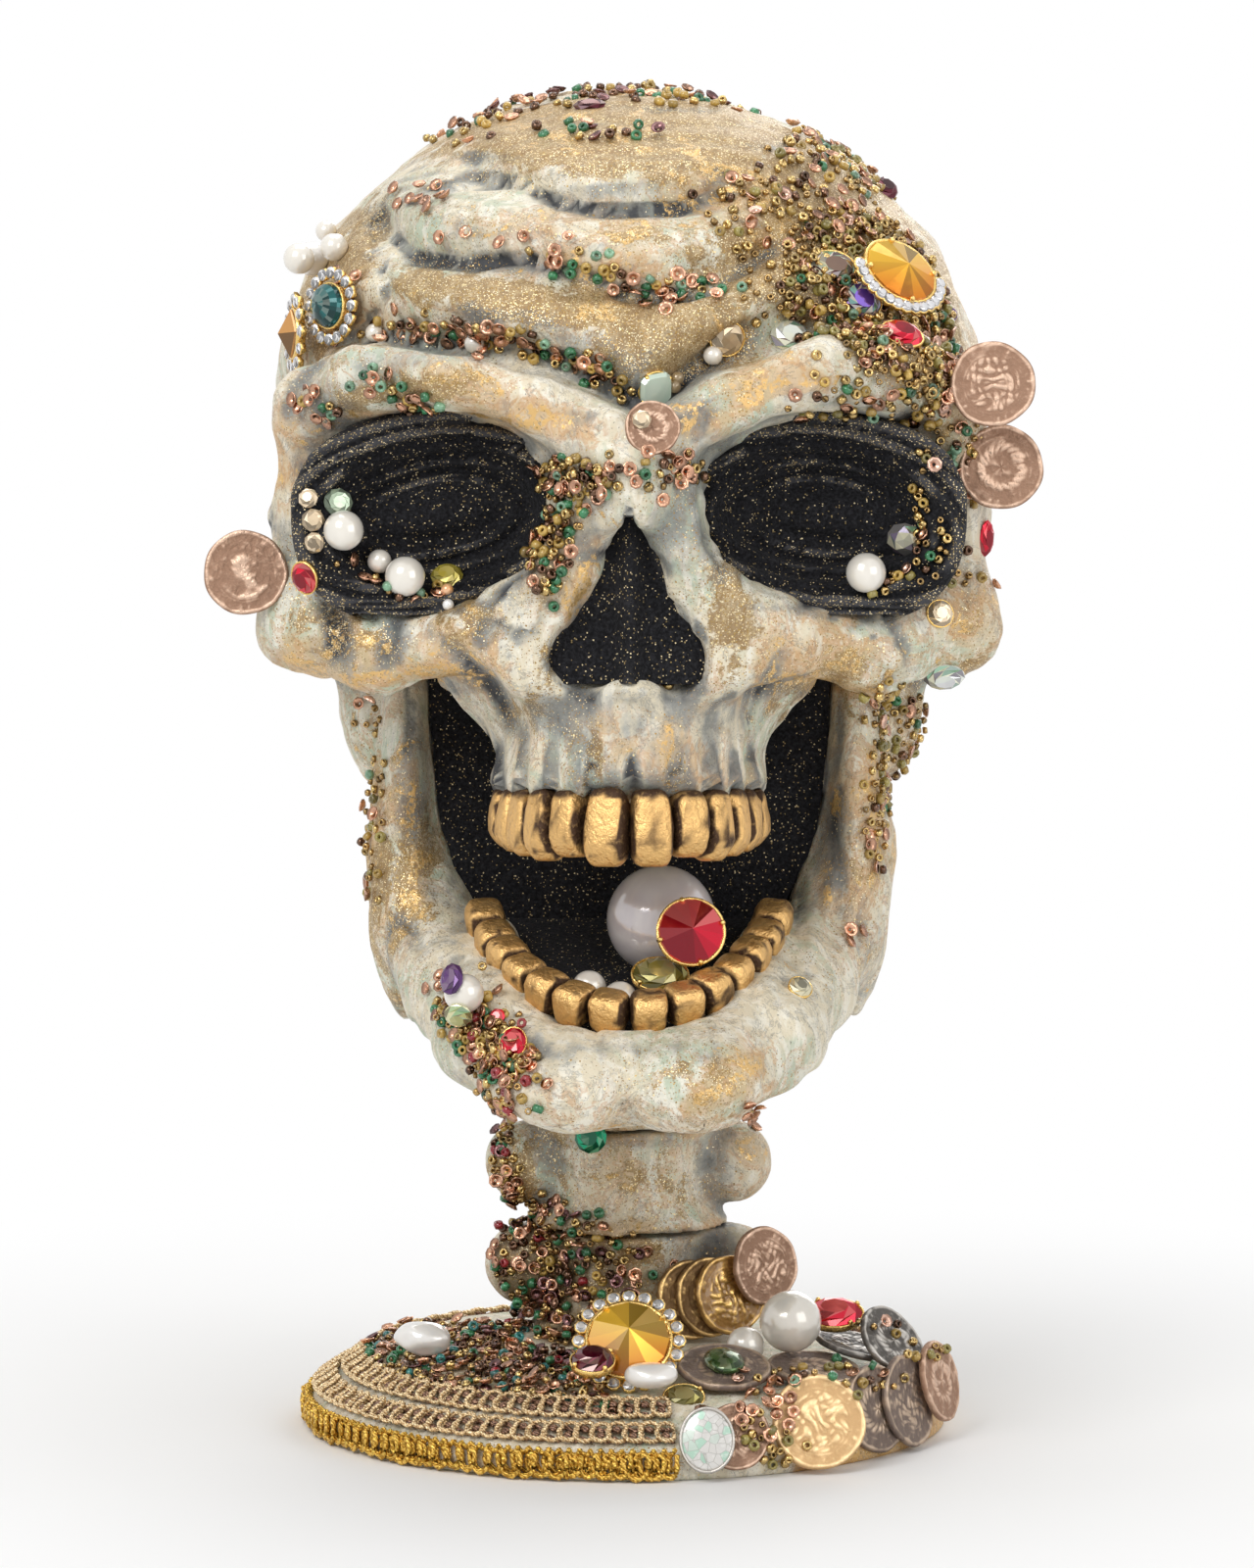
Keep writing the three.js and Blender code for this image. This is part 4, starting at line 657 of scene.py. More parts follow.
def black_flock(name, amount=0.02):
    """Near-black velvety lining with a soft fuzz and single gold specks; its raised folds get a painted sheen of
    lighter grey and more specks.
    """
    finish, tree, shader = node_tree(name)
    place = object_place(tree)
    fuzz = noise(tree, place, 1500.0, 3.0, 0.7)
    dust = noise(tree, place, 45.0, 3.0, 0.6)
    base = mixed(tree, spread(tree, fuzz, 0.35, 0.75), colour(0.004, 0.004, 0.005), colour(0.026, 0.026, 0.03))
    base = mixed(tree, spread(tree, dust, 0.5, 0.8, 0.0, 0.3), base, colour(0.035, 0.035, 0.04))
    # Painted sheen: raised folds turn lighter grey.
    crest_sheen = spread(tree, mark(tree, "raised"), 0.1, 0.6)
    base = mixed(tree, math_node(tree, "MULTIPLY", crest_sheen, 0.45), base, colour(0.13, 0.13, 0.14))
    many = math_node(tree, "MULTIPLY", math_node(tree, "ADD", spread(tree, dust, 0.35, 0.7, 0.3, 1.0), math_node(tree, "MULTIPLY", crest_sheen, 3.0)), amount)
    mask, tone, height = flakes(tree, many, 3300.0, (1, 0.88, 0.6), (0.4, 0.3, 0.14))
    base = mixed(tree, mask, base, tone)
    link(tree, base, shader.inputs["Base Color"])
    link(tree, math_node(tree, "MULTIPLY", mask, 0.6), shader.inputs["Metallic"])
    shader.inputs["Roughness"].default_value = 0.85
    shader.inputs["Specular IOR Level"].default_value = 0.15
    shader.inputs["Sheen Weight"].default_value = 0.03
    bump = node(tree, "ShaderNodeBump", {"Strength": 0.7, "Distance": 0.0006, "Height": fuzz})
    link(tree, bump.outputs[0], shader.inputs["Normal"])
    return finish


PAINT = aged_paint("aged paint")
FLOCK = black_flock("black flock", 0.09)


# ---------------------------------------------------------------- head and jaw
GLITTER = [(640, 120, 260, 62, 0, 1.1), (600, 235, 210, 14, 5, 0.4), (560, 310, 190, 26, 8, 1.0), (330, 300, 40, 90, 20, 0.7),
           (680, 345, 90, 40, 0, 1.0), (860, 200, 120, 90, 40, 1.0), (960, 300, 60, 120, 0, 0.8), (500, 640, 70, 60, 0, 0.4),
           (560, 730, 60, 70, 0, 0.35), (750, 650, 60, 90, 0, 0.4), (830, 700, 80, 60, 0, 0.4), (605, 770, 14, 40, 0, 0.6), (690, 790, 14, 30, 0, 0.6), (745, 640, 30, 80, 0, 0.7), (560, 690, 24, 60, 20, 0.6), (480, 640, 60, 40, 20, 0.6), (420, 400, 90, 20, -8, 0.6),
           (420, 400, 120, 24, -10, 0.45), (1000, 650, 40, 60, 0, 0.4), (350, 640, 60, 60, 0, 0.4), (740, 1120, 60, 40, -30, 0.4),
           (660, 1110, 60, 40, 0, 0.3), (400, 900, 50, 120, 0, 0.5), (880, 900, 40, 120, 0, 0.4), (560, 1150, 60, 30, 0, 0.3),
           (350, 260, 50, 90, 20, 0.7), (760, 270, 80, 50, 0, 0.6)]
TAN = [(560, 130, 160, 40, 0, 0.8), (760, 200, 90, 60, 30, 0.9), (620, 280, 110, 40, 0, 0.7), (600, 230, 120, 25, 0, 0.6),
       (640, 330, 90, 40, 0, 0.6), (480, 400, 90, 30, 20, 0.7), (560, 425, 60, 20, 20, 0.9), (790, 385, 60, 25, -10, 0.9),
       (710, 430, 30, 20, 0, 0.8), (350, 670, 70, 35, 10, 1.0), (300, 470, 40, 60, 0, 0.8), (470, 660, 60, 50, 40, 0.6),
       (840, 660, 120, 50, -20, 0.7), (990, 640, 40, 60, 0, 0.8), (600, 755, 70, 40, 0, 0.4), (700, 780, 60, 50, 0, 0.5),
       (400, 850, 40, 120, 0, 0.7), (880, 850, 40, 130, 0, 0.7), (740, 1110, 60, 40, -30, 0.8), (600, 1140, 80, 30, 10, 0.4),
       (580, 600, 40, 60, -30, 0.5), (960, 430, 60, 60, 0, 0.5), (330, 300, 60, 90, 0, 0.5)]
# Painted shade with some real dark glaze, drawn in the view as ovals (x, y, half width, half height, turn, strength):
# in the brow groove, the cheeks, the jaw's sides and under the teeth and chin; negative ones keep the nose and teeth
# light.
SHADE_AND_WASH = [(640, 742, 125, 34, 0, -0.8), (640, 800, 130, 14, 0, -0.3), (600, 640, 60, 40, 0, -0.2), (560, 700, 40, 30, 0, -0.3), (720, 700, 40, 30, 0, -0.3), (440, 360, 120, 16, -4, 0.5), (620, 380, 70, 16, 32, 0.7), (730, 370, 70, 14, -35, 0.7), (500, 270, 120, 14, 3, 0.5),
        (420, 218, 40, 36, 0, 0.25), (660, 215, 90, 10, 0, 0.45), (690, 420, 40, 25, 0, 0.6), (330, 420, 40, 40, 0, 0.5),
        (900, 420, 60, 20, 15, 0.5), (500, 800, 14, 30, 0, 0.4), (880, 625, 60, 34, 0, 0.35),
        (345, 645, 16, 34, -20, 0.8), (398, 652, 13, 30, 10, 0.7), (420, 790, 20, 90, 5, 0.7), (850, 820, 18, 90, -5, 0.7), (640, 1070, 130, 7, 0, 0.3), (560, 1078, 18, 10, 0, 0.4), (716, 1078, 20, 10, 0, 0.4), (470, 900, 16, 60, 0, 0.5), (800, 900, 14, 60, 0, 0.5),
        (460, 700, 50, 14, 0, 0.5), (800, 700, 40, 16, 0, 0.5), (640, 1150, 16, 16, 0, 0.3), (540, 1068, 40, 14, 20, 0.4)]


# Gold leaf on ridges, and painted shade with some real dark glaze between the teeth, along creases and round the
# sockets, in brush strokes: (points, half width in pixels, strength)
LEAF_LINES = [([(470, 424), (515, 430), (560, 424)], 7, 1.1), ([(290, 672), (340, 696), (400, 690), (460, 682), (500, 700)], 8, 1.0),
              ([(612, 548), (595, 590), (580, 640)], 6, 1.0), ([(745, 425), (790, 393), (850, 390)], 9, 1.0),
              ([(400, 300), (480, 318), (560, 306), (640, 330)], 8, 0.7), ([(800, 690), (850, 700), (900, 712), (950, 716)], 8, 1.0),
              ([(385, 760), (378, 830), (375, 900)], 6, 0.9), ([(890, 760), (893, 830), (893, 900)], 6, 0.9),
              ([(700, 1130), (745, 1110), (775, 1080)], 9, 1.2), ([(330, 440), (350, 425), (420, 418)], 6, 0.8),
              ([(425, 770), (418, 850), (428, 930)], 6, 0.9), ([(855, 760), (850, 850), (840, 930)], 6, 0.9)]
SHADE_AND_WASH_LINES = [([(x, 778), (x, 826)], 3.5, 0.7) for x in (532, 565, 603, 642, 682, 721, 746, 767)] + [
    ([(x, 1052), (x + (x - 640) * 0.08, 1092)], 6, 0.3) for x in (548, 585, 616, 650, 690, 728)] + [
    ([(332, 628), (350, 652), (345, 676)], 10, 0.7), ([(400, 630), (412, 655), (400, 684)], 10, 0.6), ([(440, 640), (500, 690), (530, 745)], 8, 0.6),
    ([(322, 440), (318, 520), (322, 600)], 8, 0.5),
    ([(340, 622), (420, 618), (500, 622)], 6, 0.45), ([(735, 615), (800, 622), (880, 612)], 6, 0.5), ([(962, 450), (966, 520), (950, 600)], 7, 0.5)]

CRUSTS = ("temple_bead_crust", "nose_root_bead_crust", "jaw_bead_crust", "neck_bead_crust", "base_bead_crust")


def crust_places(name):
    """Places spread over a crust node: its corners and the middles of its faces."""
    mesh = nodes[name].data
    co = np.empty(len(mesh.vertices) * 3, np.float32)
    mesh.vertices.foreach_get("co", co)
    corners = co.reshape(-1, 3) / MM
    ring = np.empty(len(mesh.loops), np.int32)
    mesh.loops.foreach_get("vertex_index", ring)
    triangles = corners[ring.reshape(-1, 3)]
    halves = [(triangles[:, k] + triangles[:, (k + 1) % 3]) / 2 for k in range(3)]
    return np.unique(np.round(np.concatenate([corners, triangles.mean(1), *halves]), 2), axis=0)


CRUST_PLACES = {name: crust_places(name) for name in CRUSTS}


# Where the beads of a crust lie, drawn in the view: lines, and ovals
CRUST_VIEWS = {
    "nose_root_bead_crust": ([([(556, 484), (600, 488), (650, 486), (702, 498)], 15, 1.0), ([(602, 500), (575, 540), (558, 578), (566, 608)], 15, 0.7)], []),
    "jaw_bead_crust": ([([(452, 1002), (480, 1040), (506, 1070), (545, 1112)], 22, 1.0)], []),
    "neck_bead_crust": ([([(510, 1130), (515, 1190), (515, 1230)], 13, 0.9)],
                        [(560, 1310, 95, 70, 20, 1.2), (620, 1375, 90, 40, 0, 1.2), (500, 1262, 36, 50, 0, 1.0)]),
}


def crust_view(name, points):
    """Share of a crust that shows beads, by what is drawn in the view; all of it where nothing is drawn."""
    if name not in CRUST_VIEWS:
        return np.ones(len(points))
    lines, spots = CRUST_VIEWS[name]
    view = in_view(points)
    return np.clip(line_marks(view, lines) + blots(view, spots), 0, 1)


def near_crust(points, names=CRUSTS, reach=3.2):
    """1 on a crust, falling to 0 at a reach from it: from the distance to the nearest of its places."""
    cover = np.zeros(len(points))
    for name in names:
        spots = CRUST_PLACES[name]
        box_low, box_high = spots.min(0) - 2 * reach, spots.max(0) + 2 * reach
        inside = np.flatnonzero(((points > box_low) & (points < box_high)).all(1))
        for part in np.array_split(inside, len(inside) // 4000 + 1):
            away = np.sqrt(((points[part, None] - spots[None]) ** 2).sum(-1)).min(1) if len(part) else np.zeros(0)
            cover[part] = np.maximum(cover[part], (1 - fade(away, reach, 0.5 * reach)) * crust_view(name, points[part]))
    return cover


def casting(name, plain, relief, low, high, step, stands_for):
    """A carved, painted casting worked out from its distance."""
    distance = carved(plain, relief)
    points, faces = skin(distance, low, high, step, plain)
    _, sunk, wide, raised = marks_of(distance, points)
    view = in_view(from_head(points))
    front = fade(-points[:, 1], 0, 30)
    back = (1 - front) * np.clip(0.4 + 0.5 * cloud(points, 40, 9.0), 0, 1)
    marks = {"sunk": sunk, "wide": wide, "raised": raised, "glitter": blots(view, GLITTER) * front + 0.8 * back,
             "tan": (blots(view, TAN) + line_marks(view, LEAF_LINES)) * front + back,
             # Painted shade from the drawn ovals and strokes and in the cheek pits, with some real dark glaze.
             "shade_and_wash": (blots(view, SHADE_AND_WASH) + line_marks(view, SHADE_AND_WASH_LINES) + 0.7 * blots(view, CHEEK_PITS)) * front,
             "crust": near_crust(from_head(points))}
    middles, outs, _ = quads_of((from_head(points), faces))
    CAST_SKINS.append((middles, outs))
    CAST_MESHES.append((from_head(points), faces))
    return make_piece(name, from_head(points), faces, PAINT, stands_for, marks=marks)


CAST_SKINS, CAST_MESHES = [], []
STEP = 1.35
skull_head = casting("skull_cranium", plain_head, head_relief, (-81, -100, 8), (81, 95, 166), STEP, ("cranium",))
skull_jaw = casting("skull_lower_jaw", plain_jaw, jaw_relief, (-60, -92, -62), (60, 18, 58), STEP * 0.8, ("mandible",))


# ---------------------------------------------------------------- more finishes
def facets(tree, scale=2.3):
    """A value that differs by the direction of each flat facet, from noise on its true normal: it paints facets lighter
    and darker as reflections.
    """
    turned = node(tree, "ShaderNodeNewGeometry").outputs["True Normal"]
    return spread(tree, noise(tree, turned, scale, 1.0), 0.38, 0.62)


def cut_glass(name, iridescent=False):
    """Foil-backed cut glass in its tint mark: facets painted dark and bright by their direction as reflections, a few
    with a painted pale glint, under a clear, glossy coat; the iridescent kind has coloured flashes painted on its
    facets.
    """
    finish, tree, shader = node_tree(name)
    tint = mark(tree, "tint", "Color")
    first, glint_facets = facets(tree, 2.3), facets(tree, 5.1)
    # Painted reflections: dark and bright facets, and a pale glint on a few.
    base = mixed(tree, first, mixed(tree, 0.72, tint, colour(0, 0, 0)), tint)
    base = mixed(tree, math_node(tree, "MULTIPLY", spread(tree, glint_facets, 0.7, 0.95), 0.45), base, mixed(tree, 0.3, tint, colour(1, 0.9, 0.75)))
    if iridescent:
        # Painted flashes of the iridescent coating, by facet direction, some pale gold.
        shift = facets(tree, 3.7)
        film_flash = mixed(tree, shift, colour(0.6, 0.2, 0.6), colour(0.3, 0.65, 0.4))
        film_flash = mixed(tree, spread(tree, glint_facets, 0.4, 0.7), film_flash, colour(0.92, 0.88, 0.6))
        base = mixed(tree, spread(tree, shift, 0.2, 0.8, 0.1, 0.55), base, film_flash)
    link(tree, base, shader.inputs["Base Color"])
    link(tree, spread(tree, noise(tree, object_place(tree), 900.0), 0.3, 0.7, 0.05, 0.14), shader.inputs["Roughness"])
    shader.inputs["Metallic"].default_value = 0.5
    shader.inputs["Specular IOR Level"].default_value = 0.3
    shader.inputs["Coat Weight"].default_value = 0.45
    shader.inputs["Coat Roughness"].default_value = 0.03
    return finish


def old_metal(name, raised_tone, sunk_tone, roughness=0.34, grain=900.0, dull=0.25, coat=0.0, streak=1.0, dent=0.0003):
    """Cast or plated metal, darker where its sunk mark says: dirt in a coin's relief, painted shade between the teeth
    and at their roots; small scratches and dull spots.
    """
    finish, tree, shader = node_tree(name)
    place = object_place(tree)
    drawn = node(tree, "ShaderNodeMapping", {"Vector": place, "Scale": (1.0, 1.0, streak)}).outputs[0]
    broad, fine = noise(tree, place, 160.0, 4.0, 0.65), noise(tree, drawn, grain, 3.0, 0.65)
    # The sunk mark darkens the metal: dirt in a coin's relief, painted shade between the teeth and at their roots.
    dirt_and_shade = math_node(tree, "ADD", mark(tree, "sunk"), math_node(tree, "MULTIPLY", broad, 0.5))
    base = mixed(tree, spread(tree, dirt_and_shade, 0.35, 0.85), colour(*raised_tone), colour(*sunk_tone))
    base = mixed(tree, spread(tree, fine, 0.5, 0.8, 0.0, 0.3), base, colour(*[min(1.0, v * 1.35) for v in raised_tone]))
    link(tree, base, shader.inputs["Base Color"])
    link(tree, spread(tree, dirt_and_shade, 0.3, 0.9, 0.95, 1 - 2 * dull), shader.inputs["Metallic"])
    link(tree, spread(tree, math_node(tree, "ADD", dirt_and_shade, fine), 0.6, 1.4, roughness, roughness + dull), shader.inputs["Roughness"])
    shader.inputs["Coat Weight"].default_value = coat
    shader.inputs["Coat Roughness"].default_value = 0.08
    bump = node(tree, "ShaderNodeBump", {"Strength": 0.6, "Distance": dent, "Height": math_node(tree, "ADD", fine, broad)})
    link(tree, bump.outputs[0], shader.inputs["Normal"])
    return finish


def bead_finish():
    """Beads and sequins: the tint mark, metal or glass by the metal mark, slightly different from bead to bead."""
    finish, tree, shader = node_tree("bead metal and glass")
    tone = noise(tree, object_place(tree), 700.0, 2.0)
    tint = mark(tree, "tint", "Color")
    base = mixed(tree, spread(tree, tone, 0.3, 0.7, 0.0, 0.35), tint, colour(0.05, 0.03, 0.02))
    link(tree, base, shader.inputs["Base Color"])
    link(tree, mark(tree, "metal"), shader.inputs["Metallic"])
    link(tree, spread(tree, tone, 0.3, 0.7, 0.16, 0.34), shader.inputs["Roughness"])
    shader.inputs["Coat Weight"].default_value = 0.4
    return finish


def pearl_finish():
    """Lacquered pearl: the tint mark with faint cloudy layers and a soft gloss."""
    finish, tree, shader = node_tree("pearl lacquer")
    veil = noise(tree, object_place(tree), 120.0, 3.0, 0.5, 1.2)
    tint = mark(tree, "tint", "Color")
    link(tree, mixed(tree, spread(tree, veil, 0.35, 0.7, 0.0, 0.35), tint, colour(0.95, 0.9, 0.84)), shader.inputs["Base Color"])
    link(tree, spread(tree, veil, 0.3, 0.7, 0.16, 0.24), shader.inputs["Roughness"])
    shader.inputs["Metallic"].default_value = 0.15
    shader.inputs["Coat Weight"].default_value = 1.0
    shader.inputs["Coat Roughness"].default_value = 0.06
    shader.inputs["Sheen Weight"].default_value = 0.1
    return finish


def thread_finish(name, bright, deep, twist=2200.0):
    """Metallised thread: fine slanted strands across the cord, painted bright on top and in painted shade between, with
    painted glints.
    """
    finish, tree, shader = node_tree(name)
    place = object_place(tree)
    strands = node(tree, "ShaderNodeTexWave", {"Vector": place, "Scale": twist / 4, "Distortion": 6.0, "Detail": 2.0,
                                              "Detail Scale": 2.0}, bands_direction="DIAGONAL").outputs["Fac"]
    glint_spots = noise(tree, place, twist, 2.0, 0.6)
    # Painted shade between the strands, and painted glints where the glint noise is high.
    base = mixed(tree, spread(tree, strands, 0.15, 0.8), colour(*deep), colour(*bright))
    base = mixed(tree, spread(tree, glint_spots, 0.55, 0.75, 0.0, 0.6), base, colour(*[min(1.0, v * 1.5) for v in bright]))
    link(tree, base, shader.inputs["Base Color"])
    link(tree, spread(tree, glint_spots, 0.35, 0.7, 0.55, 0.9), shader.inputs["Metallic"])
    shader.inputs["Roughness"].default_value = 0.36
    bump = node(tree, "ShaderNodeBump", {"Strength": 0.6, "Distance": 0.0003, "Height": strands})
    link(tree, bump.outputs[0], shader.inputs["Normal"])
    return finish


def shell_finish():
    """Mother-of-pearl pieces set side by side: each cell has its own tone, and clear joints between them."""
    finish, tree, shader = node_tree("shell mosaic")
    place = object_place(tree)
    cells = node(tree, "ShaderNodeTexVoronoi", {"Vector": place, "Scale": 620.0})
    joints = node(tree, "ShaderNodeTexVoronoi", {"Vector": place, "Scale": 620.0}, feature="DISTANCE_TO_EDGE").outputs["Distance"]
    tone = node(tree, "ShaderNodeSeparateColor", {"Color": cells.outputs["Color"]}).outputs[0]
    base = mixed(tree, spread(tree, tone, 0.6, 0.8), colour(0.7, 0.68, 0.65), colour(0.42, 0.62, 0.5))
    base = mixed(tree, spread(tree, noise(tree, place, 800.0, 3.0), 0.5, 0.75, 0.0, 0.6), base, colour(0.88, 0.88, 0.84))
    base = mixed(tree, spread(tree, joints, 0.0, 0.06, 0.7, 0.0), base, colour(0.35, 0.34, 0.3))
    link(tree, base, shader.inputs["Base Color"])
    link(tree, spread(tree, tone, 0.2, 0.9, 0.15, 0.35), shader.inputs["Roughness"])
    shader.inputs["Metallic"].default_value = 0.2
    shader.inputs["Coat Weight"].default_value = 0.6
    return finish


GLASS = cut_glass("cut glass")
FILM_GLASS = cut_glass("iridescent glass", True)
TEETH_GOLD = old_metal("teeth gold", (0.74, 0.46, 0.18), (0.06, 0.028, 0.012), 0.34, 900.0, dent=0.0009)
OLD_GOLD = old_metal("coin gold", (0.72, 0.48, 0.2), (0.2, 0.11, 0.04), 0.3)
ROSE_COPPER = old_metal("rose copper", (0.66, 0.46, 0.34), (0.34, 0.2, 0.13), 0.38, dent=0.0007)
LACQUERED = old_metal("lacquered gold", (0.74, 0.46, 0.14), (0.3, 0.15, 0.03), 0.26, coat=0.9)
LEAF_GOLD = old_metal("leaf gold", (0.86, 0.62, 0.34), (0.6, 0.38, 0.18), 0.32)
DARK_COIN = old_metal("dark coin", (0.52, 0.4, 0.3), (0.2, 0.15, 0.125), 0.4, 1400.0, streak=0.12, dent=0.0005)
STEEL = old_metal("steel rod", (0.5, 0.5, 0.5), (0.3, 0.3, 0.3))
OLD_SILVER = old_metal("old silver", (0.52, 0.49, 0.45), (0.12, 0.11, 0.1), 0.34)
SETTING_GOLD = old_metal("setting gold", (0.85, 0.58, 0.2), (0.35, 0.2, 0.05), 0.22)
SHELL = shell_finish()
BEADS = bead_finish()
PEARL = pearl_finish()
# Each thread's second colour is its painted shade between the strands.
FRINGE = thread_finish("gold fringe thread", (0.95, 0.62, 0.13), (0.46, 0.23, 0.02))
CORD = thread_finish("rose gold cord", (0.98, 0.78, 0.48), (0.55, 0.36, 0.18))
CORD_HEART = thread_finish("brown shiny cord", (0.42, 0.25, 0.17), (0.1, 0.05, 0.035))


# ---------------------------------------------------------------- repeated shapes
def shell(rings):
    """A closed surface through rings of points, lowest first; a point in the middle of the first and of the last
    ring closes each end."""
    n, m = rings.shape[:2]
    i, j = np.arange(n - 1)[:, None] * m, np.arange(m)[None]
    k = (j + 1) % m
    quads = np.stack(np.broadcast_arrays(i + j, i + k, i + m + k, i + m + j), -1).reshape(-1, 4)
    a, b = np.arange(m), (np.arange(m) + 1) % m
    ends = np.concatenate([np.stack([np.full(m, n * m), b, a], 1), np.stack([np.full(m, n * m + 1), (n - 1) * m + a, (n - 1) * m + b], 1)])
    return np.concatenate([rings.reshape(-1, 3), [rings[0].mean(0), rings[-1].mean(0)]]), [quads, ends]


def turned(profile, sides, twist=0.0):
    """A closed turned piece: (radius, height) corners, lowest first, carried round the Z axis. With a twist each
    ring starts that share of a side further on."""
    profile = np.asarray(profile, float)
    angle = 2 * np.pi * (np.arange(sides)[None] + twist * np.arange(len(profile))[:, None]) / sides
    rings = np.stack([profile[:, :1] * np.cos(angle), profile[:, :1] * np.sin(angle), np.repeat(profile[:, 1:], sides, 1)], -1)
    return shell(rings)


def hoop(section, sides):
    """A closed section of (radius, height) corners, anticlockwise, carried round the Z axis."""
    section = np.asarray(section, float)
    angle = 2 * np.pi * np.arange(sides) / sides
    rings = np.stack([section[:, :1] * np.cos(angle), section[:, :1] * np.sin(angle), np.repeat(section[:, 1:], sides, 1)], -1)
    n, m = rings.shape[:2]
    i, j = np.arange(n)[:, None] * m, np.arange(m)[None]
    up, k = ((np.arange(n) + 1) % n)[:, None] * m, (j + 1) % m
    quads = np.stack(np.broadcast_arrays(i + j, i + k, up + k, up + j), -1).reshape(-1, 4)
    return rings.reshape(-1, 3), [quads]


def tube(path, radius, sides=6, closed=False):
    """A round section carried along a path, upright to it; ends closed by a point, or the path by itself."""
    path = np.asarray(path, float)
    ahead = np.roll(path, -1, 0) - np.roll(path, 1, 0)
    if not closed:
        ahead[0], ahead[-1] = path[1] - path[0], path[-1] - path[-2]
    ahead /= np.linalg.norm(ahead, axis=1, keepdims=True)
    side = np.cross(ahead, np.where(np.abs(ahead[:, 2:]) < 0.9, [[0.0, 0, 1]], [[1.0, 0, 0]]))
    side /= np.linalg.norm(side, axis=1, keepdims=True)
    other = np.cross(ahead, side)
    angle = -2 * np.pi * np.arange(sides) / sides
    radius = np.broadcast_to(radius, len(path))[:, None, None]
    rings = path[:, None] + radius * (np.cos(angle)[None, :, None] * side[:, None] + np.sin(angle)[None, :, None] * other[:, None])
    return shell(rings[:, ::-1]) if not closed else (rings, None)


def frames_on(normals, spins):
    """Axes for copies: the third along each normal, the others turned round it by a spin."""
    n = normals / np.linalg.norm(normals, axis=1, keepdims=True)
    helper = np.where(np.abs(n[:, 2:]) < 0.9, [[0.0, 0, 1]], [[1.0, 0, 0]])
    x = np.cross(helper, n)
    x /= np.linalg.norm(x, axis=1, keepdims=True)
    y = np.cross(n, x)
    c, s = np.cos(spins)[:, None], np.sin(spins)[:, None]
    return np.stack([x * c + y * s, y * c - x * s, n], 1)


def copies(shape, places, axes, sizes=1.0):
    """The same shape at many places, each with its own axes and size, as one mesh."""
    points, faces = shape
    sizes = np.broadcast_to(np.asarray(sizes, float).reshape(-1, 1, 1) if np.ndim(sizes) == 1 else sizes, (len(places), 1, 1)) if np.ndim(sizes) < 2 else np.asarray(sizes)[:, None]
    spots = places[:, None] + np.einsum("nij,njk->nik", points[None] * sizes, axes)
    shift = len(points) * np.arange(len(places))[:, None, None]
    return spots.reshape(-1, 3), [(f[None] + shift).reshape(-1, f.shape[1]) for f in faces]


def together(parts):
    """Several meshes as one, with their marks."""
    points, faces, marks, start = [], {}, {}, 0
    for part in parts:
        spots, groups = part[0], part[1]
        for g in groups:
            faces.setdefault(g.shape[1], []).append(g + start)
        for key, value in (part[2] if len(part) > 2 else {}).items():
            value = np.asarray(value, float)
            if value.ndim == 0 or value.shape == (3,):
                value = np.broadcast_to(value, (len(spots),) + value.shape)
            marks.setdefault(key, []).append(value)
        points.append(spots)
        start += len(spots)
    return np.concatenate(points), [np.concatenate(g) for g in faces.values()], {k: np.concatenate(v) for k, v in marks.items()}


def join_piece(name, parts, finish, stands_for=(), smooth=True):
    points, faces, marks = together(parts)
    return make_piece(name, points, faces, finish, stands_for, smooth, marks)


def seat_of(name):
    """Where a node lies: the middle of its box along its own axes, those axes (longest first, the last one turned
    to face outwards) and its half sizes, from the spread of its corners."""
    mesh = nodes[name].data
    co = np.empty(len(mesh.vertices) * 3, np.float32)
    mesh.vertices.foreach_get("co", co)
    spots = co.reshape(-1, 3).astype(float) / MM
    middle = (spots.max(0) + spots.min(0)) / 2
    _, _, axes = np.linalg.svd(spots - middle, full_matrices=False)
    along = (spots - middle) @ axes.T
    low, high = along.min(0), along.max(0)
    centre = middle + ((low + high) / 2) @ axes
    outwards = centre - np.array([0.0, 14.0, centre[2] - 12.0])
    if axes[2] @ outwards < 0:
        axes[2] = -axes[2]
    axes[1] = np.cross(axes[2], axes[0])
    return centre, axes, (high - low) / 2


COVERS = []


def add_cover(points, faces):
    """Keeps a finished piece's four-sided faces, for the places that a pixel of the view meets first."""
    middles, outs, _ = quads_of((points, faces))
    COVERS.append((middles, outs))


# ---------------------------------------------------------------- linings
RIDGES = (0.62, 0.42)


def eye_lining(p):
    """The socket's dish with a closed lid that swells out of it, and oval folds round the lid."""
    place = socket_place(folded(p))
    across, up = place[:, 0], place[:, 2]
    dish = 0.035 + 0.085 * np.maximum(1 - across**2 - up**2, 0)
    front = dish - 0.05 * bell(across, 0, RIDGES[0]) * bell(up, 0, RIDGES[1])
    ring = np.hypot(across / RIDGES[0], (up + 0.1 * across**2) / RIDGES[1])
    folds = np.sin(2 * np.pi * (ring - 0.95) / 0.44 + 1.5 * cloud(p, 15)) * fade(ring, 0.8, 0.2)
    crease = bell(up + 0.25 - 0.35 * across**2, 0, 0.06) * bell(across, 0, 0.6)
    lid = DEPTH * (-0.47 + front) - 0.85 * folds + 1.0 * crease + 0.3 * cloud(p, 5)
    return carve(socket(folded(p)) - 0.03 * WIDTH, p[:, 1] - lid, 0.01)


def nose_lining(p):
    """The back of the nose opening, with a septum down its middle."""
    front = -0.47 - 0.02 * bell(p[:, 0] / WIDTH, 0, 0.016)
    uneven = 0.7 * cloud(p, 7)
    return carve(nose_hole(folded(p)) - 0.02 * WIDTH, p[:, 1] - front * DEPTH + uneven, 0.01)


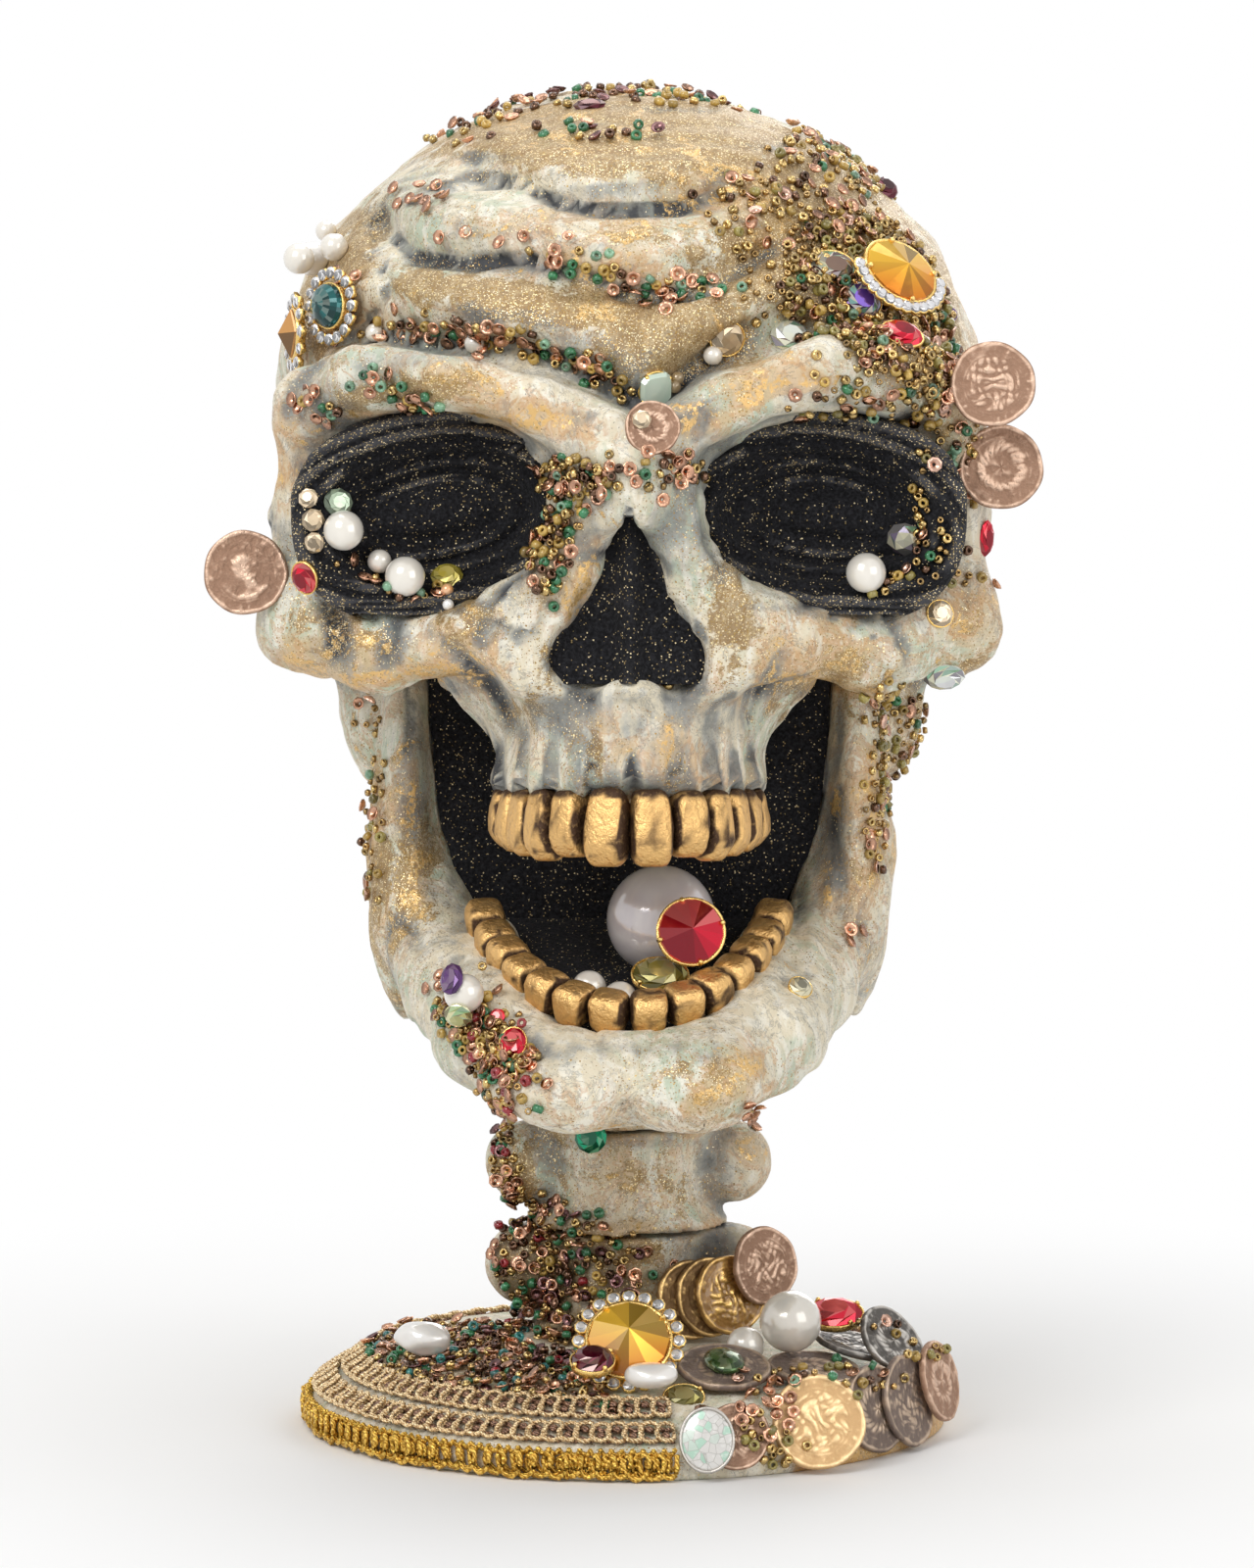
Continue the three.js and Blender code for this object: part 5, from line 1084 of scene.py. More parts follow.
def lining(name, distance, low, high, stands_for):
    points, faces = skin(distance, low, high, 0.9)
    _, _, _, raised = marks_of(distance, points)
    add_cover(from_head(points), faces)
    return make_piece(name, from_head(points), faces, FLOCK, stands_for, marks={"raised": raised})


lining("eye_lining_right", eye_lining, (12, -92, 48), (70, -34, 98), ("eye_liner_right",))
lining("eye_lining_left", eye_lining, (-70, -92, 48), (-12, -34, 98), ("eye_liner_left",))
lining("nose_lining", nose_lining, (-18, -84, 34), (18, -70, 74), ("nose_liner",))


# ---------------------------------------------------------------- teeth
def along_arch(half_width, half_depth, widths, gap=1.0):
    """Middles of the teeth on half an oval, as angles, so that their widths follow each other along it."""
    t = np.linspace(0, np.pi / 2, 400)
    way = np.concatenate([[0], np.cumsum(np.hypot(half_width * np.diff(np.sin(t)), half_depth * np.diff(np.cos(t))))])
    ends = np.concatenate([[0], np.cumsum(widths)])
    return np.interp((ends[:-1] + ends[1:]) / 2, way, t)


def tooth(width, height, depth, seed, lower=False):
    """A rounded box (cosines and sines to the power 0.42 and 0.5), narrower at the root, uneven by noise. It stands
    on z = 0 with its root up; its sunk mark is painted shade at its sides, where it meets its neighbours, and at its
    root, with patches of tarnish."""
    u = np.linspace(0, 2 * np.pi, 28, endpoint=False)
    v = np.linspace(-np.pi / 2, np.pi / 2, 17)[1:-1, None]

    def power(value, e):
        return np.sign(value) * np.abs(value) ** e

    x = power(np.cos(v), 0.42) * power(np.cos(u), 0.5)
    y = power(np.cos(v), 0.42) * power(np.sin(u), 0.5)
    z = np.broadcast_to(power(np.sin(v), 0.55), x.shape)
    root = (z + 1) / 2
    narrow = 1 - (0.3 if lower else 0.22) * root**1.4 - 0.1 * (1 - root) ** 3
    swell = 1 + 0.16 * np.exp(-(((root - 0.35) / 0.3) ** 2)) - (0.0 if lower else 0.35) * fade(0.25 - root, 0, 0.25)
    rings = np.stack([x * width / 2 * narrow, y * depth / 2 * swell, root * height], -1)
    spots = rings.reshape(-1, 3)
    lumps = 1 + (0.07 * cloud(spots, 3.5, seed * 2.3) + 0.05 * cloud(spots, 1.6, seed))[:, None] * [1, 1, 0.3]
    rings = (spots * lumps).reshape(rings.shape)
    points, faces = shell(rings)
    side = np.abs(points[:, 0]) / (width / 2)
    # Painted shade: darker at the sides, where the teeth meet, and at the root against the gum.
    sunk = 0.95 * fade(side, 0.7, 0.2) + 0.7 * fade(points[:, 2] / height, 0.84, 0.12)
    points[:, 0] += 0.07 * width * np.sin(1.7 * seed) * (points[:, 2] / height - 0.5)
    return points, faces, np.clip(sunk + 0.3 * cloud(points, 1.6, seed) + 0.4 * fade(cloud(points, 2.4, seed + 5.0), 0.25, 0.3), 0, 1)


UPPER_WIDTHS = np.array([8.4, 7.3, 6.9, 6.6, 6.8, 8.4])
UPPER_DROPS = [-1.3, 0.5, -0.3, 0.6, 1.4, 2.2]
LOWER_WIDTHS = np.array([7.7, 7.5, 7.5, 7.6, 7.9, 8.5, 9.0])


def tooth_row(half_width, half_depth, widths, drops, height, depth, lower):
    """Teeth side by side on half an oval whose front is on -Y, each facing out from it."""
    parts = []
    for side in (-1, 1):
        for k, t in enumerate(along_arch(half_width, half_depth, widths)):
            points, faces, sunk = tooth(widths[k] * 1.1, height - drops[k], depth, side * (k + 1) + 9, lower)
            place = np.array([side * half_width * np.sin(t), -half_depth * np.cos(t), drops[k]])
            skew = t + 0.09 * np.sin(7.3 * (side * (k + 1) + 9))
            out = np.array([side * half_depth * np.sin(skew), -half_width * np.cos(skew), 0])
            out /= np.linalg.norm(out)
            axes = np.stack([np.cross(-out, [0, 0, 1]), -out, [0, 0, 1]])
            parts.append((points @ axes + place, faces, {"sunk": sunk}))
    return parts


def lower_place(points):
    """From the lower row's own plane to the head: tilted back by 25.5 degrees behind the jaw's front."""
    c, s = np.cos(np.radians(25.5)), np.sin(np.radians(25.5))
    y = points[:, 1] + 0.339 * DEPTH
    z = -points[:, 2]
    return np.stack([points[:, 0], y * c - z * s - 0.424 * DEPTH, y * s + z * c - 0.159 * HEIGHT], 1)


upper = tooth_row(0.163 * WIDTH, 0.212 * DEPTH, UPPER_WIDTHS, UPPER_DROPS, 14.0, 7.4, False)
upper = [(from_head(p + [0, -0.25 * DEPTH, 0]), f, m) for p, f, m in upper]
join_piece("gold_upper_teeth", upper, TEETH_GOLD, ("upper_teeth",))
lower = tooth_row(0.207 * WIDTH, 0.339 * DEPTH, LOWER_WIDTHS, [1.0, 0.9, 0.6, 0.7, 0.2, 0.3, 0], 9.5, 7.0, True)
lower = [(from_head(lower_place(p)), [g[:, ::-1] for g in f], m) for p, f, m in lower]
join_piece("gold_lower_teeth", lower, TEETH_GOLD, ("lower_teeth",))


# ---------------------------------------------------------------- neck
def vertebra(seed):
    """A waisted body with a flared lip, two wings and a rear spine, blended; uneven by noise."""

    def distance(p):
        x, y, z = p.T
        up = np.clip(z / (PITCH - 0.35), 0, 1)
        radius = 17.4 + 3.4 * np.exp(-((up / 0.16) ** 2)) + 1.3 * np.exp(-(((up - 1) / 0.12) ** 2)) - 0.6 * bell(up, 0.55, 0.25)
        body = np.maximum(np.hypot(x, y) - radius, np.abs(z - (PITCH - 0.35) / 2) - (PITCH - 0.35) / 2 + 0.4)
        q = np.stack([np.abs(x), y, z], 1)
        level = 10.8 + 7 - 4.65
        d = blend(body, ellipsoid(q, [22, 0, level], [8.5, 9, 8.6], np.ones(3, np.float32)), 0.035)
        d = blend(d, ellipsoid(p, [0, 19.5, 10.8], [5, 13, 5.5], np.ones(3, np.float32)), 0.035)
        return d - 0.35 * cloud(p, [9, 9, 12], seed * 3.3) - 0.18 * cloud(p, 3.5, seed)

    return distance


NECK_GLITTER = [(650, 1210, 90, 45, 0, 0.3), (650, 1275, 60, 20, 0, 0.5), (580, 1150, 60, 40, 0, 0.2), (520, 1190, 30, 60, 0, 0.4)]
# Painted shade on the vertebrae: the chin's shadow across the top, the dark under the flared lips, and the sides.
NECK_SHADE = [(735, 1185, 24, 30, 0, 0.4), (720, 1280, 50, 24, 0, 0.6), (560, 1185, 30, 12, 20, 0.35), (700, 1262, 60, 8, 0, 0.6),
             (640, 1165, 90, 10, 0, 0.55)]
skins = [(skull_points, skull_normals) for skull_points, skull_normals in CAST_SKINS]
for count in range(6):
    foot = np.array([0.0, NECK_Y, NECK_FOOT + count * PITCH])
    shape = vertebra(count + 1)
    points, faces = skin(shape, (-32, -23, -0.8), (32, 34, 23), 1.25)
    points[:, 2] = np.clip(points[:, 2], 0.05, PITCH - 0.4)
    _, sunk, wide, raised = marks_of(shape, points)
    view = in_view(points + foot)
    marks = {"sunk": sunk, "wide": 0.6 * wide, "raised": raised, "glitter": 0.12 + blots(view, NECK_GLITTER), "tan": 0.35 + 0.3 * cloud(points, 12),
             "shade_and_wash": blots(view, NECK_SHADE), "crust": near_crust(points + foot)}
    make_piece(f"neck_vertebra_{count + 1}", points + foot, faces, PAINT, (f"vertebra_{count + 1}",), marks=marks)
    middles, outs, _ = quads_of((points + foot, faces))
    skins.append((middles, outs))


# ---------------------------------------------------------------- base
def base_top(angle, radius):
    """Height of the base at a radius: flat to half the shoulder, then sloping to the shoulder and to the edge."""
    return np.interp(radius, [0, 27, 54, 66.5], [17, 17, 14.5, 6.5])


def round_base():
    """A turned disc whose slope and top are slightly uneven."""
    angle = np.linspace(0, 2 * np.pi, 220, endpoint=False)
    radius = np.concatenate([[0.5, 20, 45, 60, 65.6], [66.3, 66.5, 66.5, 66.5, 66.2], np.linspace(65.4, 4.6, 46)])
    height = np.concatenate([[0] * 5, [0.3, 1.2, 3.5, 5.6, 6.4], base_top(0, np.linspace(65.4, 4.6, 46))])
    r, a = np.broadcast_arrays(radius[:, None], angle)
    rings = np.stack([r * np.cos(a), r * np.sin(a), np.broadcast_to(height[:, None], r.shape)], -1)
    spots = rings.reshape(-1, 3)
    lift = np.where(spots[:, 2] > 5.5, 0.25 * cloud(spots, 5) + 0.3 * cloud(spots, 16, 3.0), 0) - np.where(spots[:, 2] > 5.5, 0.4, 0)
    rings[..., 2] += lift.reshape(r.shape)
    return shell(rings), spots


(base_points, base_faces), _ = round_base()
out = np.arctan2(base_points[:, 0], -base_points[:, 1])
bare = ((out > np.radians(30)) & (out < np.radians(118))).astype(float)
rim = fade(np.hypot(base_points[:, 0], base_points[:, 1]), 52, 6)
# The shade_and_wash mark on the base: darker towards the bottom of the bare rim, lighter elsewhere.
base_marks = {"tan": 1.6 * bare * rim, "shade_and_wash": 0.15 * bare * rim * (base_points[:, 2] < 4) - 0.3 * (1 - bare), "glitter": np.full(len(base_points), 0.05),
              "crust": near_crust(base_points)}
make_piece("round_base", base_points, base_faces, aged_paint("base paint", 1.0, 0.75), ("base_plinth",), marks=base_marks)
middles, outs, base_areas = quads_of((base_points, base_faces[0]))
skins.append((middles, outs))
BASE_SKIN = (base_points, base_faces[0])


# ---------------------------------------------------------------- braid and fringe
BARE = (np.radians(8), np.radians(118))


def round_rim(share, radius, height):
    """Places round the base from the end of the bare part on to its start, at a share of that way."""
    angle = BARE[1] + share * (2 * np.pi - BARE[1] + BARE[0])
    return np.stack([radius * np.sin(angle), -radius * np.cos(angle), np.broadcast_to(height, angle.shape)], 1)


def fringe_yarns():
    """Looped yarn: it hangs in long round loops (height = middle + reach x cos t, along = pitch x t - sway x sin t),
    lumpy along its length, three rows deep, and a crimped yarn runs along the top."""
    parts = []
    for middle, reach, loops, start, radius, thick, sway in ((3.3, 2.3, 92, 0.0, 68.2, 0.58, 1.35), (3.6, 2.2, 87, 2.6, 67.1, 0.52, 1.2),
                                                             (3.0, 2.0, 97, 4.4, 67.6, 0.46, 1.2), (6.0, 0.5, 140, 1.0, 67.6, 0.5, 0.3)):
        t = np.linspace(0, 1, loops * 16)
        phase = 2 * np.pi * loops * t + start
        wobble = np.sin(phase * 0.37 + start) + np.sin(phase * 0.113 + 2 * start)
        height = middle + reach * (1 + 0.07 * wobble) * np.cos(phase)
        shift = -sway / 295 * np.sin(phase) * (1 + 0.15 * wobble)
        path = round_rim(np.clip(t + shift, 0, 1), radius + 0.35 * np.cos(phase + 1.1) + 0.15 * wobble, np.clip(height, 0.55, 6.8))
        parts.append(tube(path, thick * (1 + 0.2 * np.sin(5.3 * phase + start)), 5))
    return parts


def slope_place(share, along, lift):
    """Places on the slope between edge and shoulder: along = 0 at the edge and 1 at the shoulder."""
    radius = 66.5 + (54 - 66.5) * along
    height = 6.5 + (14.5 - 6.5) * along
    spots = round_rim(share, radius + 0.54 * lift, height + 0.84 * lift)
    return spots


def twisted(path, lay, ply, sides=5):
    """Two plies round a path: each lies at a small distance from it, and turns round it once per lay length."""
    ahead = np.gradient(path, axis=0)
    step = np.linalg.norm(ahead, axis=1)
    side = np.cross(ahead / step[:, None], [0.0, 0, 1])
    side /= np.linalg.norm(side, axis=1, keepdims=True)
    other = np.cross(ahead / step[:, None], side)
    angle = (2 * np.pi * np.cumsum(step) / lay)[:, None]
    return [tube(path + 0.8 * ply * (np.cos(angle + start) * side + np.sin(angle + start) * other), ply, sides) for start in (0, np.pi)]


LOOP, RISE = 1.8, 0.85


def braid_row(low, high, round_way, seed):
    """Gimp: a twisted cord in round open loops, up and down in turn. Each loop is the arc of a circle of radius LOOP
    whose middle stands RISE off the row's middle line, so that the arcs meet in the line with one direction. It lies
    over flat shiny cords, with a small knot of the same in each loop."""
    middle, half, slope = (low + high) / 2, (high - low) / 2, 14.84
    pitch = 2 * np.sqrt(LOOP**2 - RISE**2)
    count = 2 * round(round_way / pitch / 2)
    tip = np.arcsin(RISE / LOOP)
    swing = np.linspace(np.pi + tip, -tip, 28, endpoint=False)
    index = np.arange(count)[:, None]
    side = np.where(index % 2, -1, 1)
    along = ((index + 0.5) * pitch + LOOP * np.cos(swing)).ravel() / (count * pitch)
    across = (side * (RISE + LOOP * np.sin(swing))).ravel() * (1 + 0.05 * np.sin(np.arange(count * 28) * 0.011 + seed))
    lift = 1.3 + 0.3 * np.repeat(np.where(np.arange(count) % 2, -1, 1), 28) * np.tile(np.cos(swing), count)
    cords = twisted(slope_place(np.clip(along, 0, 1), middle + across / slope, lift), 1.7, 0.33)
    cords += twisted(slope_place(np.clip(along, 0, 1), middle - across / slope, 2.35 - lift), 1.7, 0.3)
    heart = []
    few = np.linspace(0, 1, count * 10)
    for shift in (-0.45, 0.45):
        phase = np.pi * count * few
        heart.append(tube(slope_place(few, middle + shift * half + 0.1 * half * np.sin(2 * phase + shift), 0.3 + 0.15 * np.sin(3.1 * phase + 5 * shift)), 0.5, 6))
    spots = (np.arange(count) + 0.5) / count
    places = slope_place(spots, middle + 0.9 * side.ravel() / slope, 0.95)
    outwards = places * [1, 1, 0] / np.hypot(places[:, :1], places[:, 1:2])
    knot = turned([(0.5, -0.4), (1.0, 0.0), (0.8, 0.45), (0.3, 0.6)], 8)
    heart.append(copies(knot, places, frames_on(0.54 * outwards + [0, 0, 0.84], spots * 40), np.full(count, 0.95)))
    return cords, heart


join_piece("gold_loop_fringe", fringe_yarns(), FRINGE, ("gold_fringe",))
for name, low, high, loops in (("braid_lower", 0.03, 0.48, 275), ("braid_upper", 0.52, 0.97, 249)):
    cords, heart = braid_row(low, high, loops, len(name))
    join_piece("gimp_" + name, cords, CORD, (name,))
    join_piece("gimp_heart_" + name, heart, CORD_HEART)


# ---------------------------------------------------------------- coins
def coin_relief(x, y, kind, seed):
    """Height of a worn struck face over the unit disc: a rim, a broken ring of pellets, and in the middle worn scrolls
    (two waves that bend each other), a leafy wreath round a boss, or a plain head in profile."""
    r, a = np.hypot(x, y), np.arctan2(y, x)
    h = 0.9 * np.exp(-(((r - 0.94) / 0.045) ** 2)) + 0.25 * np.exp(-(((r - 0.7) / 0.02) ** 2))
    h = h + 0.7 * np.exp(-(((r - 0.82) / 0.045) ** 2)) * np.clip(np.cos(30 * a) * (0.6 + 0.5 * np.sin(5 * a + seed)), 0, 1)
    inner = fade(0.66 - r, 0, 0.05)
    if kind == 0:
        waves = np.sin(11 * x + 2.6 * np.sin(7 * y + seed)) * np.sin(10 * y + 2.4 * np.sin(9 * x + 2 * seed))
        figure = 0.75 * fade(np.abs(waves), 0.05, 0.6) + 0.3 * np.exp(-(((r - 0.34) / 0.03) ** 2))
    elif kind == 1:
        leaves = np.abs(np.sin(9 * a + 13 * (r - 0.45) * np.sign(np.sin(a))))
        figure = 1.1 * np.exp(-(((r - 0.46) / 0.12) ** 2)) * leaves**0.6 + 0.8 * np.exp(-((r / 0.22) ** 4)) * (0.7 + 0.3 * np.cos(5 * a))
    else:
        def oval(cx, cy, rx, ry):
            return np.exp(-((((x - cx) / rx) ** 2 + ((y - cy) / ry) ** 2) ** 2))

        figure = np.maximum.reduce([oval(-0.03, 0.14, 0.27, 0.32), 0.8 * oval(0.02, -0.3, 0.14, 0.22), 0.75 * oval(0, -0.52, 0.36, 0.13),
                                    0.7 * oval(0.25, 0.1, 0.07, 0.06), 0.7 * oval(0.16, -0.12, 0.1, 0.07)])
        figure = figure + 0.25 * np.sin(34 * (x + 0.6 * y)) * oval(-0.14, 0.22, 0.2, 0.24) - 0.3 * oval(0.12, 0.17, 0.05, 0.025)
        figure = figure + 0.5 * np.exp(-(((r - 0.6) / 0.05) ** 2)) * np.abs(np.sin(11 * a))
    return h + inner * figure


def coin_shape(radius, thickness, kind, seed):
    """A disc in rings: back from its middle out, the edge, and the struck face back to the middle."""
    r = np.concatenate([np.linspace(0.05, 0.96, 8), [1.0, 1.0, 0.985], np.linspace(0.96, 0.02, 26)])
    a = np.linspace(0, 2 * np.pi, 84, endpoint=False)
    x, y = r[:, None] * np.cos(a), r[:, None] * np.sin(a)
    relief = 0.3 * coin_relief(x, y, kind, seed) + 0.16 * cloud(np.stack([x.ravel(), y.ravel(), np.full(x.size, seed)], 1), 0.16).reshape(x.shape)
    base = np.concatenate([[-1] * 8, [-0.7, 0.5, 0.9], [1] * 26])[:, None] * thickness * 0.36
    bend = 0.25 * x * y * np.sin(seed)
    z = base + np.where(np.arange(len(r))[:, None] > 9, relief, -0.5 * relief) * np.where(base > 0, 1, 0.6) + bend
    uneven = 1 - 0.012 * np.cos(3 * a + seed) - 0.008 * np.cos(7 * a)
    points, faces = shell(np.stack([x * radius * uneven, y * radius * uneven, z], -1))
    sunk = np.clip(0.7 - 0.8 * np.append(relief.ravel(), [0, 0]) / 0.34, 0, 1)
    return points, faces, {"sunk": sunk}


def lay_coin(name, centre, facing, radius, kind, finish, spin=0.0, stands_for=()):
    points, faces, marks = coin_shape(radius, 1.5, kind, len(name) + spin)
    turned_axes = frames_on(facing[None], np.array([spin]))[0]
    add_cover(points @ turned_axes + centre, faces[0])
    return make_piece(name, points @ turned_axes + centre, faces, finish, stands_for, marks=marks)


COINS = [
    ("cheek_coin", 2, ROSE_COPPER, "copper_coin", 0.4), ("temple_coin_upper", 0, ROSE_COPPER, "copper_coin", 0.9),
    ("temple_coin_lower", 1, ROSE_COPPER, "copper_coin", 0.2), ("brow_coin", 1, ROSE_COPPER, "copper_coin", 0.5),
    ("stack_coin_back", 1, OLD_GOLD, "gold_coin", 0.3), ("stack_coin_middle", 1, OLD_GOLD, "gold_coin", 1.3),
    ("stack_coin_front", 0, LACQUERED, "gold_coin", 0.8), ("wing_coin", 0, ROSE_COPPER, "copper_coin", 0.1),
    ("lying_brown_coin", 1, DARK_COIN, "dark_coin", 0.6), ("lying_silver_coin", 0, OLD_SILVER, "silver_coin", 0.2),
    ("leaning_silver_coin", 1, OLD_SILVER, "silver_coin", 0.7), ("cabochon_coin", 0, DARK_COIN, "dark_coin", 0.9),
    ("front_gold_coin", 0, LEAF_GOLD, "gold_coin", 2.9), ("rim_dark_coin", 0, DARK_COIN, "dark_coin", 0.5),
    ("rim_copper_coin", 1, ROSE_COPPER, "copper_coin", 0.9),
]
for key, kind, finish, slot_name, spin in COINS:
    centre, axes, half = seat_of(key)
    lay_coin("struck_" + key, centre, axes[2], (half[0] + half[1]) / 2, kind, finish, spin, (key,))


def about_axis(v, degrees):
    """A place or direction turned about the base's own upright axis."""
    c, s = np.cos(np.radians(degrees)), np.sin(np.radians(degrees))
    return np.array([v[0] * c - v[1] * s, v[0] * s + v[1] * c, v[2]])


centre, axes, half = seat_of("rim_dark_coin")
centre, facing = about_axis(centre, -9.0), about_axis(axes[2], -12.0)
lay_coin("second_rim_coin", centre - 1.2 * facing, facing, half[0] * 0.95, 1, DARK_COIN, 1.7)
centre, axes, half = seat_of("shell_pendant")
lay_coin("rose_disc", about_axis(centre, 5.2) + [0, 0, 0.6] - 1.3 * axes[2], about_axis(axes[2], 8.0), half[0] * 1.02, 1, ROSE_COPPER, 0.3)


# ---------------------------------------------------------------- pearls and stones
def ball(radii, sides=32, uneven=0.0, seed=0.0):
    """A sphere in rings, scaled along its axes, with lumps from noise for irregular pearls."""
    v = np.linspace(-np.pi / 2, np.pi / 2, sides // 2 + 1)[1:-1, None]
    u = np.linspace(0, 2 * np.pi, sides, endpoint=False)
    rings = np.stack([np.cos(v) * np.cos(u), np.cos(v) * np.sin(u), np.broadcast_to(np.sin(v), (len(v), sides))], -1)
    if uneven:
        rings = rings * (1 + uneven * cloud(rings.reshape(-1, 3), 0.8, seed).reshape(rings.shape[:2]))[..., None]
    return shell(rings * radii)


CREAM, LILAC = (0.82, 0.78, 0.7), (0.7, 0.66, 0.69)
PEARLS = [("left_eye_pearl_outer", CREAM), ("left_eye_pearl_inner", CREAM), ("right_eye_pearl", CREAM), ("jaw_pearl", CREAM),
          ("temple_pearl", (0.85, 0.83, 0.8)), ("mouth_pearl", LILAC), ("mouth_seed_pearl_left", CREAM),
          ("mouth_seed_pearl_right", CREAM), ("base_pearl", CREAM), ("small_base_pearl", CREAM)]
for key, tone in PEARLS:
    centre, _, half = seat_of(key)
    points, faces = ball(half.mean(), 48 if half[0] > 9 else 32)
    add_cover(points + centre, faces[0])
    make_piece("round_" + key, points + centre, faces, PEARL, (key,), marks={"tint": np.tile(tone, (len(points), 1))})
for key, uneven, seed in (("chip_pearl", 0.16, 2.0), ("baroque_pearl", 0.2, 5.0)):
    centre, axes, half = seat_of(key)
    points, faces = ball(half * 0.97, 40, uneven, seed)
    add_cover(points @ axes + centre, faces[0])
    make_piece("natural_" + key, points @ axes + centre, faces, PEARL, (key,), marks={"tint": np.tile((0.85, 0.83, 0.8), (len(points), 1))})


def rivoli(sides=16):
    """A pointed stone: facets from one peak to the girdle, and a shallow back."""
    return turned([(0.3, -0.5), (0.96, -0.12), (1.0, 0.0), (0.97, 0.09), (0.02, 0.62)], sides, 0.0)


def brilliant(sides=10):
    """A cut stone: back, girdle, crown facets set half a side on, and a flat table."""
    return turned([(0.35, -0.6), (0.97, -0.12), (1.0, 0.02), (0.8, 0.3), (0.5, 0.46), (0.02, 0.47)], sides, 0.5)


def cabochon():
    return turned([(0.9, -0.3), (1.0, 0.0), (0.92, 0.28), (0.7, 0.52), (0.4, 0.68), (0.08, 0.74)], 28)


PRONG = turned([(0.5, -0.8), (0.55, 0.1), (0.42, 0.42), (0.15, 0.6)], 8)


def ring_of(centre, axes, half, count, out=1.0, lift=0.0, start=0.0, way=2 * np.pi):
    """Places evenly round an oval seat, or along a part of its way round."""
    angle = way * np.arange(count) / count + start
    local = np.stack([half[0] * out * np.cos(angle), half[1] * out * np.sin(angle), np.full(count, lift)], 1)
    return centre + local @ axes, angle


def turned_seat(facing, turn):
    """Axes of a seat that faces a way, its long side turned in the view by an angle in degrees, down to the right."""
    across = np.array([np.cos(np.radians(turn)), 0, -np.sin(np.radians(turn))])
    across -= (across @ facing) * facing
    across /= np.linalg.norm(across)
    return np.stack([across, np.cross(facing, across), facing])


def set_stone(name, centre, axes, half, tint, shape, prongs=4, frame_stones=0, finish=GLASS, stands_for=(),
              cup=True, share=1.0, arc=(0.0, 360.0)):
    """A cut stone in a gold cup with prongs, and, where it has them, a frame of small crystals round it."""
    stone_half = np.array([half[0] * share, half[1] * share, min(half[0], half[1]) * share])
    points, faces = shape
    lift = 0.25 * half[2] if frame_stones else 0.0
    spots = (points * stone_half) @ axes + centre + lift * axes[2]
    low_tone, high_tone = tint if np.ndim(tint) == 2 else (tint, tint)
    # Painted light: the tint turns from its lower to its upper colour towards the top of the stone.
    lit_from_above = fade(spots[:, 2:] - centre[2], -2, 5)
    tones = np.array(low_tone) + lit_from_above * (np.array(high_tone) - np.array(low_tone))
    make_piece(name, spots, faces, finish, stands_for, smooth=False, marks={"tint": tones})
    parts = []
    if cup:
        section = [(0.8, -0.42), (1.02, -0.34), (1.06, 0.02), (0.99, 0.05), (0.93, -0.2)]
        points, faces = hoop(section, 32)
        parts.append(((points * [stone_half[0], stone_half[1], stone_half[2]]) @ axes + centre + lift * axes[2], faces))
    if prongs:
        places, angle = ring_of(centre + lift * axes[2], axes, stone_half, prongs, 0.98, 0.12 * stone_half[2], 0.6)
        inward = centre - places
        turned_axes = frames_on(np.repeat(axes[2:3], prongs, 0) + 0.06 * inward, angle)
        parts.append(copies(PRONG, places, turned_axes, np.full(prongs, 0.85 + 0.02 * half[0])))
    if frame_stones:
        places, angle = ring_of(centre, axes, half, frame_stones, 0.92, 0.1 * half[2], np.radians(arc[0]), np.radians(arc[1]))
        seats = frames_on(np.repeat(axes[2:3], frame_stones, 0), angle)
        size = min(1.25, 0.92 * np.pi * (half[0] + half[1]) / 2 / frame_stones)
        sides = 4 if name.endswith(("teal_jewel", "honey_jewel")) else 8
        parts.append(copies(turned([(0.7, -0.9), (1.2, -0.5), (1.24, 0.1), (0.95, 0.2)], sides), places, seats, np.full(frame_stones, size)))
        gems = copies(brilliant(8), places + axes[2] * 0.25, seats, np.full(frame_stones, size))
        make_piece(name + "_crystals", gems[0], gems[1], GLASS, smooth=False, marks={"tint": np.tile((0.8, 0.8, 0.82), (len(gems[0]), 1))})
    if parts:
        join_piece(name + "_setting", parts, SETTING_GOLD)


# AMBER is a pair of tints, lower and upper: painted light, lighter towards the top of the stone.
AMBER, RUBY, GARNET, TEAL, EMERALD = ((0.86, 0.26, 0.01), (1.0, 0.6, 0.05)), (0.75, 0.0, 0.03), (0.12, 0.005, 0.02), (0.01, 0.12, 0.12), (0.0, 0.36, 0.17)
SET_STONES = [
    ("base_amber_jewel", AMBER, rivoli(12), 4, 20, GLASS, "amber_stone", 0.77),
    ("temple_amber_jewel", AMBER, rivoli(14), 4, 15, GLASS, "amber_stone", 0.78),
    ("temple_teal_jewel", TEAL, cabochon(), 0, 16, GLASS, "green_stone", 0.62),
    ("temple_honey_jewel", (0.6, 0.28, 0.06), rivoli(4), 0, 12, GLASS, "amber_stone", 0.66),
    ("mouth_ruby", RUBY, rivoli(14), 4, 0, GLASS, "red_stone", 1.0),
    ("neck_emerald", EMERALD, brilliant(10), 0, 0, GLASS, "green_stone", 1.0),
    ("red_stone", RUBY, brilliant(8), 4, 0, GLASS, "red_stone", 1.0),
    ("garnet_stone", GARNET, brilliant(10), 4, 0, GLASS, "red_stone", 1.0),
]
